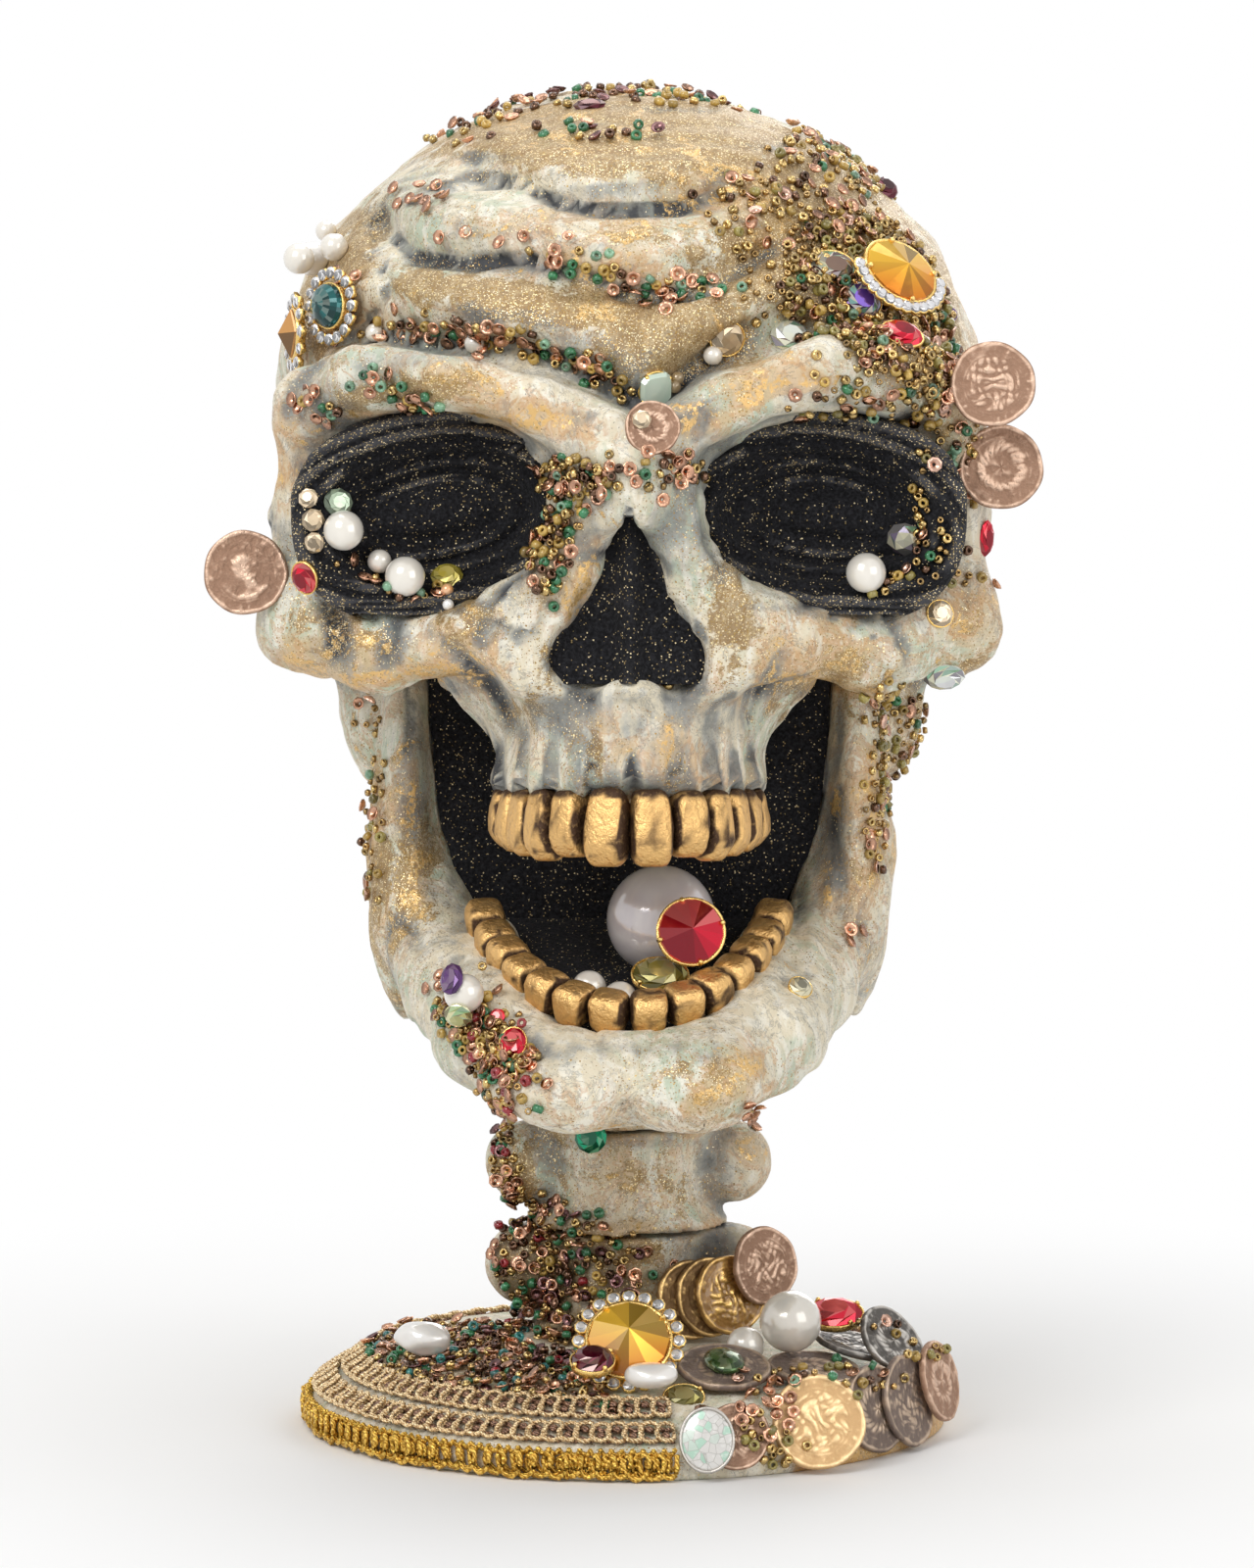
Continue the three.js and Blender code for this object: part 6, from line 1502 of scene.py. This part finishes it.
for key, tone, shape, prongs, crystals, finish, slot_name, share in SET_STONES:
    centre, axes, half = seat_of(key)
    arc = (0.0, 360.0)
    if key == "temple_amber_jewel":
        axes, half, arc = turned_seat(axes[2], 25), np.array([10.0, 7.4, half[2]]), (-150.0, 185.0)
        centre = centre - 0.8 * axes[0] + 0.4 * axes[1]
    elif key in ("temple_teal_jewel", "temple_honey_jewel"):
        half = half * [1.2, 1.25, 1.0]
    set_stone("cut_" + key, centre, axes, half, tone, shape, prongs, crystals, finish, (key,), key != "neck_emerald", share, arc)


# ---------------------------------------------------------------- places in the view
def on_plane(x, y, depth):
    """The place at a pixel of the view, where the line of sight reaches a given Y."""
    ahead = (AIM - EYE) / np.linalg.norm(AIM - EYE)
    up = np.cross([1.0, 0.0, 0.0], ahead)
    ray = ahead + np.array([1.0, 0, 0]) * (x - 640) / FOCAL + up * (800 - y) / FOCAL
    return EYE + ray * (depth - EYE[1]) / ray[1]


SEEN = [(spots, outs, in_view(spots)) for spots, outs in skins + COVERS]
CELL = 14
SEEN_SPOTS, SEEN_OUTS, SEEN_VIEW = [np.concatenate(part) for part in zip(*SEEN)]
SEEN_OWNER = np.repeat(np.arange(len(SEEN)), [len(spots) for spots, _, _ in SEEN])
SEEN_KEY = np.floor(SEEN_VIEW / CELL).astype(int) @ [1000, 1]
FRONT = np.flatnonzero(SEEN_OUTS[:, 1] < 0.3)
FRONT = FRONT[np.argsort(SEEN_KEY[FRONT], kind="stable")]
FRONT_KEY = SEEN_KEY[FRONT]


def surface_at(x, y):
    """The place and direction of the skin nearest the camera round a pixel of the view; past the outline, of the
    nearest skin that shows. The skins' faces are sorted by the square cell of the view that they lie in."""
    columns = [(int(x // CELL) + i) * 1000 + int(y // CELL) for i in (-1, 0, 1)]
    near = np.concatenate([FRONT[np.searchsorted(FRONT_KEY, key - 1):np.searchsorted(FRONT_KEY, key + 2)] for key in columns])
    for reach, among in ((7, near), (14, near), (28, FRONT), (56, FRONT)):
        hits = among[np.hypot(*(SEEN_VIEW[among] - [x, y]).T) < reach]
        if len(hits):
            first = hits[np.argmin(SEEN_SPOTS[hits, 1])]
            close = hits[(SEEN_OWNER[hits] == SEEN_OWNER[first]) & (SEEN_SPOTS[hits, 1] < SEEN_SPOTS[first, 1] + 4)]
            out = SEEN_OUTS[close].mean(0)
            return SEEN_SPOTS[close].mean(0), out / np.linalg.norm(out)
    raise ValueError(f"nothing near pixel {x}, {y}")


def seat_at(x, y, wide, high, turn, lift=0.3, face=0.55):
    """A seat for a stone on the skin at a pixel: its middle, axes and half sizes. It faces between the skin's
    direction and the camera, and its long side is turned in the view by an angle."""
    place, out = surface_at(x, y)
    to_eye = EYE - place
    facing = out + face * to_eye / np.linalg.norm(to_eye)
    facing /= np.linalg.norm(facing)
    scale = (place[1] - EYE[1]) / FOCAL
    half = np.array([wide * scale / 2, high * scale / 2, 0])
    half[2] = 0.5 * min(half[:2])
    return place + facing * (lift + 0.55 * half[2]), turned_seat(facing, turn), half


# ---------------------------------------------------------------- loose stones, pearls and beads
def cushion():
    """A square stone with rounded corners and a low crown."""
    a = 2 * np.pi * (np.arange(16) + 0.5) / 16
    square = (np.abs(np.cos(a)) ** 5 + np.abs(np.sin(a)) ** 5) ** (-1 / 5)
    levels = [(0.6, -0.5), (0.92, -0.2), (0.95, 0.1), (0.8, 0.34), (0.1, 0.4)]
    return shell(np.stack([np.stack([r * square * np.cos(a), r * square * np.sin(a), np.full(16, z)], 1) for r, z in levels]))


def chaton(sides=8):
    """A round foiled stone in its pressed cup."""
    return turned([(0.5, -0.7), (0.98, -0.1), (1.0, 0.05), (0.72, 0.36), (0.45, 0.42), (0.05, 0.43)], sides, 0.5)


CHAMPAGNE, PALE, OLIVE = (0.86, 0.68, 0.46), (0.78, 0.84, 0.8), (0.3, 0.26, 0.06)
LOOSE_STONES = [
    ("purple_oval", 847, 274, 53, 34, -8, (0.2, 0.15, 0.06), brilliant(10), FILM_GLASS, 0, True),
    ("violet_oval", 876, 307, 46, 38, 12, (0.07, 0.04, 0.32), brilliant(12), FILM_GLASS, 4, True),
    ("red_temple_oval", 920, 341, 44, 36, 10, RUBY, brilliant(10), GLASS, 0, True),
    ("crown_plum", 602, 104, 34, 18, 0, GARNET, brilliant(6), GLASS, 0, False),
    ("violet_small", 972, 321, 15, 15, 0, (0.1, 0.02, 0.2), brilliant(7), GLASS, 0, False),
    ("crown_garnet", 910, 186, 29, 29, 0, GARNET, brilliant(8), GLASS, 0, False),
    ("pale_drop", 805, 345, 43, 38, 20, PALE, brilliant(9), FILM_GLASS, 0, False),
    ("champagne_round", 741, 344, 36, 36, 0, CHAMPAGNE, brilliant(8), GLASS, 0, True),
    ("mint_square", 667, 395, 37, 37, 0, (0.6, 0.74, 0.62), cushion(), PEARL, 4, True),
    ("brow_round", 654, 428, 20, 20, 0, CHAMPAGNE, brilliant(7), GLASS, 0, False),
    ("red_side_navette", 1004, 548, 20, 38, 4, RUBY, brilliant(8), GLASS, 0, False),
    ("cheek_chaton", 957, 627, 28, 28, 0, CHAMPAGNE, chaton(9), GLASS, 0, True),
    ("opal_oval", 962, 690, 44, 34, 10, PALE, brilliant(9), FILM_GLASS, 0, False),
    ("red_cheek_oval", 313, 588, 30, 36, 0, RUBY, brilliant(8), GLASS, 0, True),
    ("mint_round", 343, 513, 31, 29, 0, (0.5, 0.62, 0.45), chaton(9), GLASS, 0, False),
    ("pale_round_upper", 317, 509, 21, 21, 0, CHAMPAGNE, brilliant(7), GLASS, 0, False),
    ("pale_round_middle", 319, 531, 24, 24, 0, CHAMPAGNE, brilliant(7), GLASS, 0, False),
    ("pale_round_lower", 321, 554, 22, 22, 0, CHAMPAGNE, brilliant(7), GLASS, 0, False),
    ("yellow_round", 457, 590, 34, 30, 0, (0.75, 0.62, 0.1), brilliant(10), GLASS, 0, False),
    ("dark_star", 924, 550, 40, 34, 20, (0.08, 0.08, 0.13), brilliant(5), FILM_GLASS, 0, False),
    ("purple_jaw_stone", 464, 1003, 26, 38, 0, (0.12, 0.04, 0.18), brilliant(8), GLASS, 0, False),
    ("iridescent_drop", 469, 1034, 30, 36, 20, (0.7, 0.72, 0.25), brilliant(8), FILM_GLASS, 0, False),
    ("red_jaw_oval", 526, 1066, 29, 37, -10, RUBY, brilliant(8), GLASS, 0, True),
    ("red_jaw_small", 508, 1039, 18, 18, 0, RUBY, brilliant(7), GLASS, 0, False),
    ("jaw_chaton", 816, 1009, 25, 25, 0, (0.7, 0.65, 0.45), chaton(8), GLASS, 0, True),
]
for key, x, y, wide, high, turn, tone, shape, finish, prongs, cup in LOOSE_STONES:
    centre, axes, half = seat_at(x, y, wide, high, turn)
    set_stone("loose_" + key, centre, axes, half, tone, shape, prongs, 0, finish, (), cup)

LOOSE_PEARLS = [("temple_left_large", 311, 264, 32, CREAM), ("temple_left_middle", 347, 256, 29, CREAM),
                ("temple_left_small", 334, 238, 22, CREAM), ("eye_small", 384, 580, 25, CREAM), ("brow_small", 727, 366, 20, CREAM),
                ("groove_left", 387, 341, 19, CREAM), ("groove_middle", 489, 353, 21, CREAM), ("brow_gold_upper", 691, 385, 14, (0.3, 0.2, 0.08)),
                ("brow_gold_lower", 688, 398, 14, (0.3, 0.2, 0.08)), ("orange_bead", 458, 605, 13, (0.85, 0.35, 0.04)),
                ("white_bead", 457, 617, 12, (0.85, 0.85, 0.85))]
parts = []
for key, x, y, wide, tone in LOOSE_PEARLS:
    place, out = surface_at(x, y)
    radius = wide * (place[1] - EYE[1]) / FOCAL / 2
    points, faces = ball(radius, 24)
    parts.append((points + place + out * 0.8 * radius, faces, {"tint": tone}))
join_piece("loose_pearls", parts, PEARL)

place = on_plane(674, 994, -60.5)
axes = frames_on(np.array([[0.12, -0.7, 0.7]]), np.array([0.0]))[0]
set_stone("mouth_olive_oval", place, axes, np.array([5.6, 4.2, 2.0]), OLIVE, brilliant(10), 2, 0, GLASS, (), True)
place, out = surface_at(697, 1428)
set_stone("base_olive_oval", on_plane(698, 1425, -52.0), frames_on(np.array([[0.05, -0.75, 0.66]]), np.array([0.0]))[0],
          np.array([4.1, 2.9, 1.6]), OLIVE, brilliant(10), 2, 0, GLASS, (), True)
centre, axes, half = seat_of("cabochon_coin")
points, faces = cabochon()
make_piece("green_cabochon", (points * [5.2, 4.2, 2.6]) @ axes + centre + axes[2] * 1.4, faces, GLASS,
           marks={"tint": np.tile((0.07, 0.14, 0.04), (len(points), 1))})

# Shell disc in its thin silver frame
centre, axes, half = seat_of("shell_pendant")
points, faces = turned([(0.9, -0.6), (1.0, -0.3), (1.0, 0.3), (0.93, 0.42), (0.05, 0.46)], 40)
make_piece("shell_disc", (points * [half[0] * 0.92, half[1] * 0.92, 1.2]) @ axes + centre, faces, SHELL, ("shell_pendant",))
points, faces = hoop([(0.9, -0.9), (1.0, -0.9), (1.02, 0.5), (0.97, 0.75), (0.91, 0.5)], 48)
make_piece("shell_frame", (points * [half[0], half[1], 1.0]) @ axes + centre, faces, OLD_SILVER)


# ---------------------------------------------------------------- bead crusts
SEED = hoop([(0.42, -0.5), (0.82, -0.62), (1.0, 0.0), (0.82, 0.62), (0.42, 0.5)], 8)
CUP = hoop([(0.2, -0.12), (0.62, 0.02), (1.0, 0.42), (0.96, 0.56), (0.56, 0.22), (0.24, 0.1)], 8)
DROP = ball(1.0, 10)
COLOURS = {
    "bronze": (0.42, 0.27, 0.1), "gold": (0.6, 0.42, 0.16), "brown": (0.16, 0.085, 0.05), "copper": (0.66, 0.36, 0.23),
    "rose": (0.72, 0.45, 0.34), "plum": (0.19, 0.09, 0.09), "honey": (0.55, 0.36, 0.08), "olive": (0.34, 0.28, 0.07),
    "green": (0.03, 0.2, 0.08), "mint": (0.2, 0.38, 0.24), "teal": (0.03, 0.24, 0.22), "red": (0.35, 0.02, 0.03),
}
BEAD_KINDS = {
    "seed": (SEED, 1.05, 1.0), "tiny": (SEED, 0.78, 1.0), "glass": (SEED, 1.15, 0.05), "cup": (CUP, 1.5, 1.0), "round": (DROP, 1.0, 0.1),
}
MIXES = {
    "temple": [(34, "tiny", "bronze"), (24, "seed", "gold"), (8, "seed", "brown"), (10, "cup", "copper"), (9, "glass", "olive"),
               (8, "glass", "honey"), (3, "glass", "green"), (2, "glass", "mint"), (2, "cup", "rose")],
    "nose": [(24, "tiny", "bronze"), (18, "seed", "brown"), (18, "seed", "gold"), (18, "cup", "copper"), (10, "glass", "honey"),
             (7, "glass", "green"), (5, "glass", "mint")],
    "jaw": [(22, "tiny", "bronze"), (22, "cup", "copper"), (18, "seed", "gold"), (10, "glass", "green"), (10, "glass", "honey"),
            (8, "seed", "brown"), (4, "glass", "red")],
    "neck": [(26, "tiny", "bronze"), (24, "cup", "copper"), (16, "seed", "gold"), (12, "seed", "brown"), (8, "cup", "plum"),
             (7, "glass", "green"), (5, "glass", "honey"), (2, "glass", "red")],
    "base": [(9, "cup", "plum"), (22, "cup", "copper"), (18, "seed", "brown"), (24, "tiny", "bronze"), (13, "seed", "gold"),
             (4, "glass", "teal"), (7, "glass", "green"), (2, "glass", "red")],
    "cups": [(86, "cup", "copper"), (8, "cup", "rose"), (6, "seed", "gold")],
    "row": [(40, "cup", "copper"), (16, "glass", "green"), (8, "glass", "mint"), (18, "seed", "gold"), (10, "glass", "honey"), (8, "seed", "brown")],
    "crown": [(26, "seed", "brown"), (16, "cup", "plum"), (14, "cup", "copper"), (22, "seed", "gold"), (12, "glass", "green"), (12, "glass", "honey")],
    "green": [(1, "round", "mint")],
    "string": [(50, "seed", "gold"), (20, "glass", "olive"), (16, "glass", "green"), (14, "tiny", "bronze")],
}


def apart(places, gap, taken=()):
    """Which places stay, first come first served, when each keeps a gap from all the others and from those taken."""
    cells, keep = {}, []
    around = [np.array(step) for step in np.ndindex(3, 3, 3)]
    for k, place in enumerate([*taken, *places]):
        cell = np.floor(place / gap).astype(int)
        close = [other for step in around for other in cells.get(tuple(cell + step - 1), ())]
        if all(((place - other) ** 2).sum() >= gap * gap for other in close):
            cells.setdefault(tuple(cell), []).append(place)
            if k >= len(taken):
                keep.append(k - len(taken))
    return np.array(keep, int)


def strewn(places, outs, mix, lean=0.5):
    """Beads at places as mesh parts: each gets a kind by its share in the mix, a size, a spin and a tilt by chance."""
    shares = np.array([share for share, _, _ in mix], float)
    kinds = chance.choice(len(mix), len(places), p=shares / shares.sum())
    tilt = outs + lean * chance.normal(size=places.shape) * np.where(np.array([mix[k][1] == "cup" for k in kinds]), 0.5, 1.0)[:, None]
    spins = chance.uniform(0, 2 * np.pi, len(places))
    sizes = chance.uniform(0.9, 1.1, len(places))
    shade = np.clip(chance.normal(1, 0.2, len(places)), 0.5, 1.5)
    parts = []
    for k, (_, kind, tone) in enumerate(mix):
        shape, size, metal = BEAD_KINDS[kind]
        mine = np.flatnonzero(kinds == k)
        if len(mine):
            points, faces = copies(shape, places[mine], frames_on(tilt[mine], spins[mine]), size * sizes[mine])
            tint = np.repeat(np.clip(np.array(COLOURS[tone]) * shade[mine, None], 0, 1), len(shape[0]), 0)
            parts.append((points, faces, {"tint": tint, "metal": metal}))
    return parts


ALL_SPOTS, ALL_OUTS, ALL_VIEW = [np.concatenate(part) for part in zip(*SEEN[:len(skins)])]


def scatter(weight, count, gap, lift=0.55, taken=()):
    """Chance places on all skins by weight, a gap apart, lifted along the skin's direction."""
    picks = chance.choice(len(weight), count, p=weight / weight.sum())
    places = ALL_SPOTS[picks] + chance.uniform(-0.7, 0.7, (count, 3))
    keep = apart(places, gap, taken)
    outs = ALL_OUTS[picks][keep]
    return places[keep] + lift * outs, outs


def crust_piece(name, node_name, mix, tries, gap=1.75):
    """A node's crust as two layers of beads: a close one on the skin and a looser one on top."""
    weight = near_crust(ALL_SPOTS, (node_name,), 2.6) ** 2 + 1e-12 * (np.arange(len(ALL_SPOTS)) == 0)
    low, out_low = scatter(weight, tries, gap, 0.5)
    high, out_high = scatter(weight, tries // 3, 1.5 * gap, 1.75)
    parts = strewn(low, out_low, MIXES[mix]) + strewn(high, out_high, MIXES[mix], 0.8)
    join_piece(name, parts, BEADS, (node_name,))


crust_piece("temple_beads", "temple_bead_crust", "temple", 5200)
crust_piece("nose_root_beads", "nose_root_bead_crust", "nose", 800)
crust_piece("jaw_beads", "jaw_bead_crust", "jaw", 1100)
crust_piece("neck_beads", "neck_bead_crust", "neck", 2600, 1.85)
crust_piece("base_beads", "base_bead_crust", "base", 6000, 2.0)

FACING = fade(-ALL_OUTS[:, 1], -0.1, 0.2) * (ALL_SPOTS[:, 1] < 20)
STREWS = [
    ("brow_groove_row", "row", 420, 1.9, [([(384, 338), (410, 330), (450, 335), (489, 348), (520, 340), (545, 357), (590, 368), (635, 398)], 13, 1.0)], []),
    ("upper_row", "row", 300, 1.9, [([(566, 268), (600, 272), (640, 288), (680, 296), (728, 288)], 13, 1.0)], []),
    ("forehead_cups", "cups", 46, 3.0, [], [(435, 205, 30, 14, 0, 1), (470, 240, 26, 12, 0, 1), (525, 245, 20, 12, 0, 0.8), (570, 254, 28, 8, 0, 0.8)]),
    ("brow_row_left", "row", 160, 1.9, [([(362, 380), (400, 396), (447, 416)], 12, 1.0), ([(303, 405), (325, 414), (346, 428)], 10, 1.0)], []),
    ("temple_left_cups", "cups", 60, 2.4, [([(355, 282), (358, 300), (352, 318), (345, 340)], 9, 1.0)], []),
    ("crown_beads", "crown", 240, 2.3, [([(480, 118), (540, 104), (600, 97), (660, 94), (720, 100), (770, 112)], 9, 1.0)],
     [(610, 134, 60, 10, 0, 0.8), (480, 130, 60, 20, -20, 0.4), (860, 160, 50, 20, 30, 0.5)]),
    ("temple_edge_beads", "temple", 900, 1.9, [([(760, 190), (700, 205), (660, 200)], 10, 0.25), ([(740, 270), (700, 290)], 12, 0.3)],
     [(800, 200, 60, 24, 10, 0.5), (880, 400, 70, 34, 0, 0.6), (960, 430, 40, 60, 0, 0.6), (850, 170, 60, 30, 20, 0.4)]),
    ("orbit_beads", "nose", 420, 1.9, [([(945, 455), (935, 490), (940, 520), (975, 565), (960, 590)], 12, 1.0)], [(985, 470, 20, 50, 0, 0.5)]),
    ("ramus_beads", "temple", 900, 1.9, [([(905, 715), (918, 745), (908, 775)], 20, 1.2), ([(894, 790), (892, 830), (890, 880)], 9, 0.6)], []),
    ("left_ramus_beads", "temple", 160, 2.4, [([(388, 770), (386, 830), (384, 880), (378, 920)], 7, 0.8), ([(372, 710), (380, 740)], 10, 0.8)], []),
    ("left_eye_beads", "nose", 90, 1.9, [([(345, 560), (362, 576), (400, 600), (440, 606)], 9, 1.0)], []),
    ("nose_side_beads", "nose", 520, 1.9, [([(560, 480), (575, 530), (560, 570), (565, 600)], 11, 0.7), ([(600, 486), (640, 478), (670, 492), (690, 474), (705, 484)], 13, 1.2)], []),
    ("nose_foot_beads", "nose", 26, 1.9, [([(676, 690), (690, 694)], 9, 1.0)], []),
    ("jaw_right_beads", "cups", 22, 2.2, [([(862, 948), (870, 960)], 10, 1.0)], []),
    ("neck_right_cups", "cups", 26, 2.4, [([(756, 1126), (768, 1134), (772, 1145)], 8, 1.0)], []),
    ("jaw_row_beads", "jaw", 420, 1.8, [([(455, 1015), (480, 1040), (505, 1065), (540, 1095)], 18, 1.0), ([(500, 1075), (520, 1110), (545, 1120)], 16, 1.0)], []),
    ("neck_left_beads", "neck", 260, 2.0, [([(512, 1130), (520, 1180), (525, 1215)], 8, 0.8)], []),
]
for key, mix, tries, gap, lines, spots in STREWS:
    density = line_marks(ALL_VIEW, lines) + blots(ALL_VIEW, spots)
    weight = np.where(density > 0.08, density, 0) ** 1.5 * FACING + 1e-12 * (np.arange(len(ALL_SPOTS)) == 0)
    places, outs = scatter(weight, tries, gap)
    join_piece("strewn_" + key, strewn(places, outs, MIXES[mix]), BEADS)

# Beads on whatever the view meets first: (name, mix, gap, ovals as x, y, half width, half height, how many)
CLUSTERS = [
    ("coin_pile_cups", "cups", 2.3, [(786, 1432, 30, 26, 46), (770, 1412, 26, 10, 16)]),
    ("coin_pile_string", "string", 1.8, [(790, 1480, 20, 20, 60), (772, 1462, 16, 18, 26), (866, 1392, 22, 8, 14)]),
    ("coin_pile_beads", "temple", 1.9, [(944, 1378, 18, 12, 24), (896, 1410, 22, 10, 30), (874, 1416, 12, 8, 12), (905, 1352, 26, 10, 16), (812, 1398, 20, 8, 12)]),
    ("left_eye_row", "nose", 2.0, [(350, 573, 10, 5, 8), (378, 593, 9, 5, 6), (398, 602, 8, 5, 7), (428, 606, 16, 5, 12), (447, 604, 8, 6, 5)]),
    ("right_orbit_beads", "temple", 1.7, [(944, 470, 15, 12, 40), (940, 508, 11, 16, 44), (952, 552, 15, 26, 90), (930, 590, 26, 9, 56), (985, 592, 16, 8, 22), (900, 603, 10, 4, 8)]),
    ("neck_edge_beads", "neck", 1.8, [(516, 1140, 12, 16, 30), (512, 1178, 8, 24, 40), (524, 1226, 18, 12, 44), (540, 1246, 26, 10, 40)]),
    ("temple_edge_beads", "temple", 2.0, [(768, 212, 26, 22, 34), (762, 255, 24, 20, 28), (776, 300, 18, 24, 24), (735, 236, 16, 14, 10)]),
    ("left_orbit_green", "green", 2.0, [(396, 600, 5, 3, 2), (430, 605, 5, 3, 2)]),
    ("brow_coin_cups", "cups", 2.2, [(684, 466, 22, 6, 12), (697, 490, 6, 5, 3)]),
    ("jewel_foot_beads", "base", 1.9, [(590, 1392, 16, 14, 30), (612, 1436, 26, 6, 16), (720, 1448, 16, 6, 10)]),
]
for key, mix, gap, ovals in CLUSTERS:
    pixels = np.concatenate([np.array([x, y]) + chance.normal(0, 0.5, (many, 2)) * [rx, ry] for x, y, rx, ry, many in ovals])
    places, outs = [np.array(part) for part in zip(*[surface_at(x, y) for x, y in pixels])]
    keep = apart(places, gap)
    join_piece("cluster_" + key, strewn(places[keep] + 0.6 * outs[keep], outs[keep], MIXES[mix]), BEADS)

for key, thing in nodes.items():
    if thing.data.materials:
        thing.data.materials.clear()
    thing.data.materials.append(FLOCK if "liner" in key else STEEL if "rod" in key else PAINT)


# ---------------------------------------------------------------- view, lights and floor
def area_lamp(name, place, aim, size, power):
    data = bpy.data.lights.new(name, "AREA")
    data.shape, data.size, data.energy = "SQUARE", size, power
    lamp = bpy.data.objects.new(name, data)
    lamp.location = place
    lamp.rotation_euler = (Vector(aim) - Vector(place)).to_track_quat("-Z", "Y").to_euler()
    bpy.context.scene.collection.objects.link(lamp)


def stage_and_view():
    scene = bpy.context.scene
    scene.view_settings.view_transform = "Standard"
    camera_data = bpy.data.cameras.new("camera")
    camera_data.sensor_fit = "VERTICAL"
    camera_data.sensor_height = 36
    camera_data.lens = 36 * FOCAL / 1600
    camera_data.clip_start = 0.01
    camera = bpy.data.objects.new("camera", camera_data)
    camera.location = EYE * MM
    camera.rotation_euler = (Vector(AIM - EYE)).to_track_quat("-Z", "Y").to_euler()
    scene.collection.objects.link(camera)
    scene.camera = camera
    area_lamp("key lamp", (-0.45, -0.75, 0.75), (0, 0, 0.15), 0.5, 5.0)
    area_lamp("fill lamp", (0.65, -0.7, 0.4), (0, 0, 0.15), 0.6, 2.2)
    area_lamp("top lamp", (0.0, 0.15, 0.95), (0, 0, 0.1), 0.6, 2.5)
    area_lamp("back lamp", (0.3, 0.9, 0.5), (0, 0, 0.15), 0.6, 2.5)
    world = bpy.data.worlds.new("studio")
    world.use_nodes = True
    scene.world = world
    tree = world.node_tree
    sky = tree.nodes["Background"]
    link(tree, spread(tree, seen_plainly(tree), 0, 1, 0.42, 1.0), sky.inputs["Strength"])
    sky.inputs["Color"].default_value = colour(1, 1, 1)
    size = 6.0
    mesh = bpy.data.meshes.new("floor")
    mesh.from_pydata([(-size, -size, 0), (size, -size, 0), (size, size, 0), (-size, size, 0)], [], [(0, 1, 2, 3)])
    floor = bpy.data.objects.new("floor", mesh)
    scene.collection.objects.link(floor)
    mesh.materials.append(floor_finish())


def seen_plainly(tree):
    """1 where the camera, a reflection or a view through glass meets the surface, else 0."""
    path = node(tree, "ShaderNodeLightPath")
    seen = math_node(tree, "MAXIMUM", path.outputs["Is Camera Ray"], path.outputs["Is Transmission Ray"])
    return math_node(tree, "MAXIMUM", seen, path.outputs["Is Glossy Ray"])


def floor_finish():
    """Pale paper: it takes the shadow near the object, and further off turns to plain white light when seen."""
    finish, tree, shader = node_tree("pale floor")
    place = object_place(tree)
    shade = noise(tree, place, 3.0, 2.0)
    link(tree, mixed(tree, shade, colour(0.9, 0.9, 0.9), colour(0.93, 0.93, 0.93)), shader.inputs["Base Color"])
    shader.inputs["Roughness"].default_value = 0.9
    away = node(tree, "ShaderNodeVectorMath", {0: place}, operation="LENGTH").outputs["Value"]
    share = math_node(tree, "MULTIPLY", spread(tree, away, 0.09, 0.3, 0.0, 1.0), seen_plainly(tree))
    light = node(tree, "ShaderNodeEmission", {"Color": colour(1, 1, 1), "Strength": 1.0})
    blend_node = node(tree, "ShaderNodeMixShader", {0: share})
    link(tree, shader.outputs[0], blend_node.inputs[1])
    link(tree, light.outputs[0], blend_node.inputs[2])
    link(tree, blend_node.outputs[0], tree.nodes["Material Output"].inputs["Surface"])
    return finish


stage_and_view()
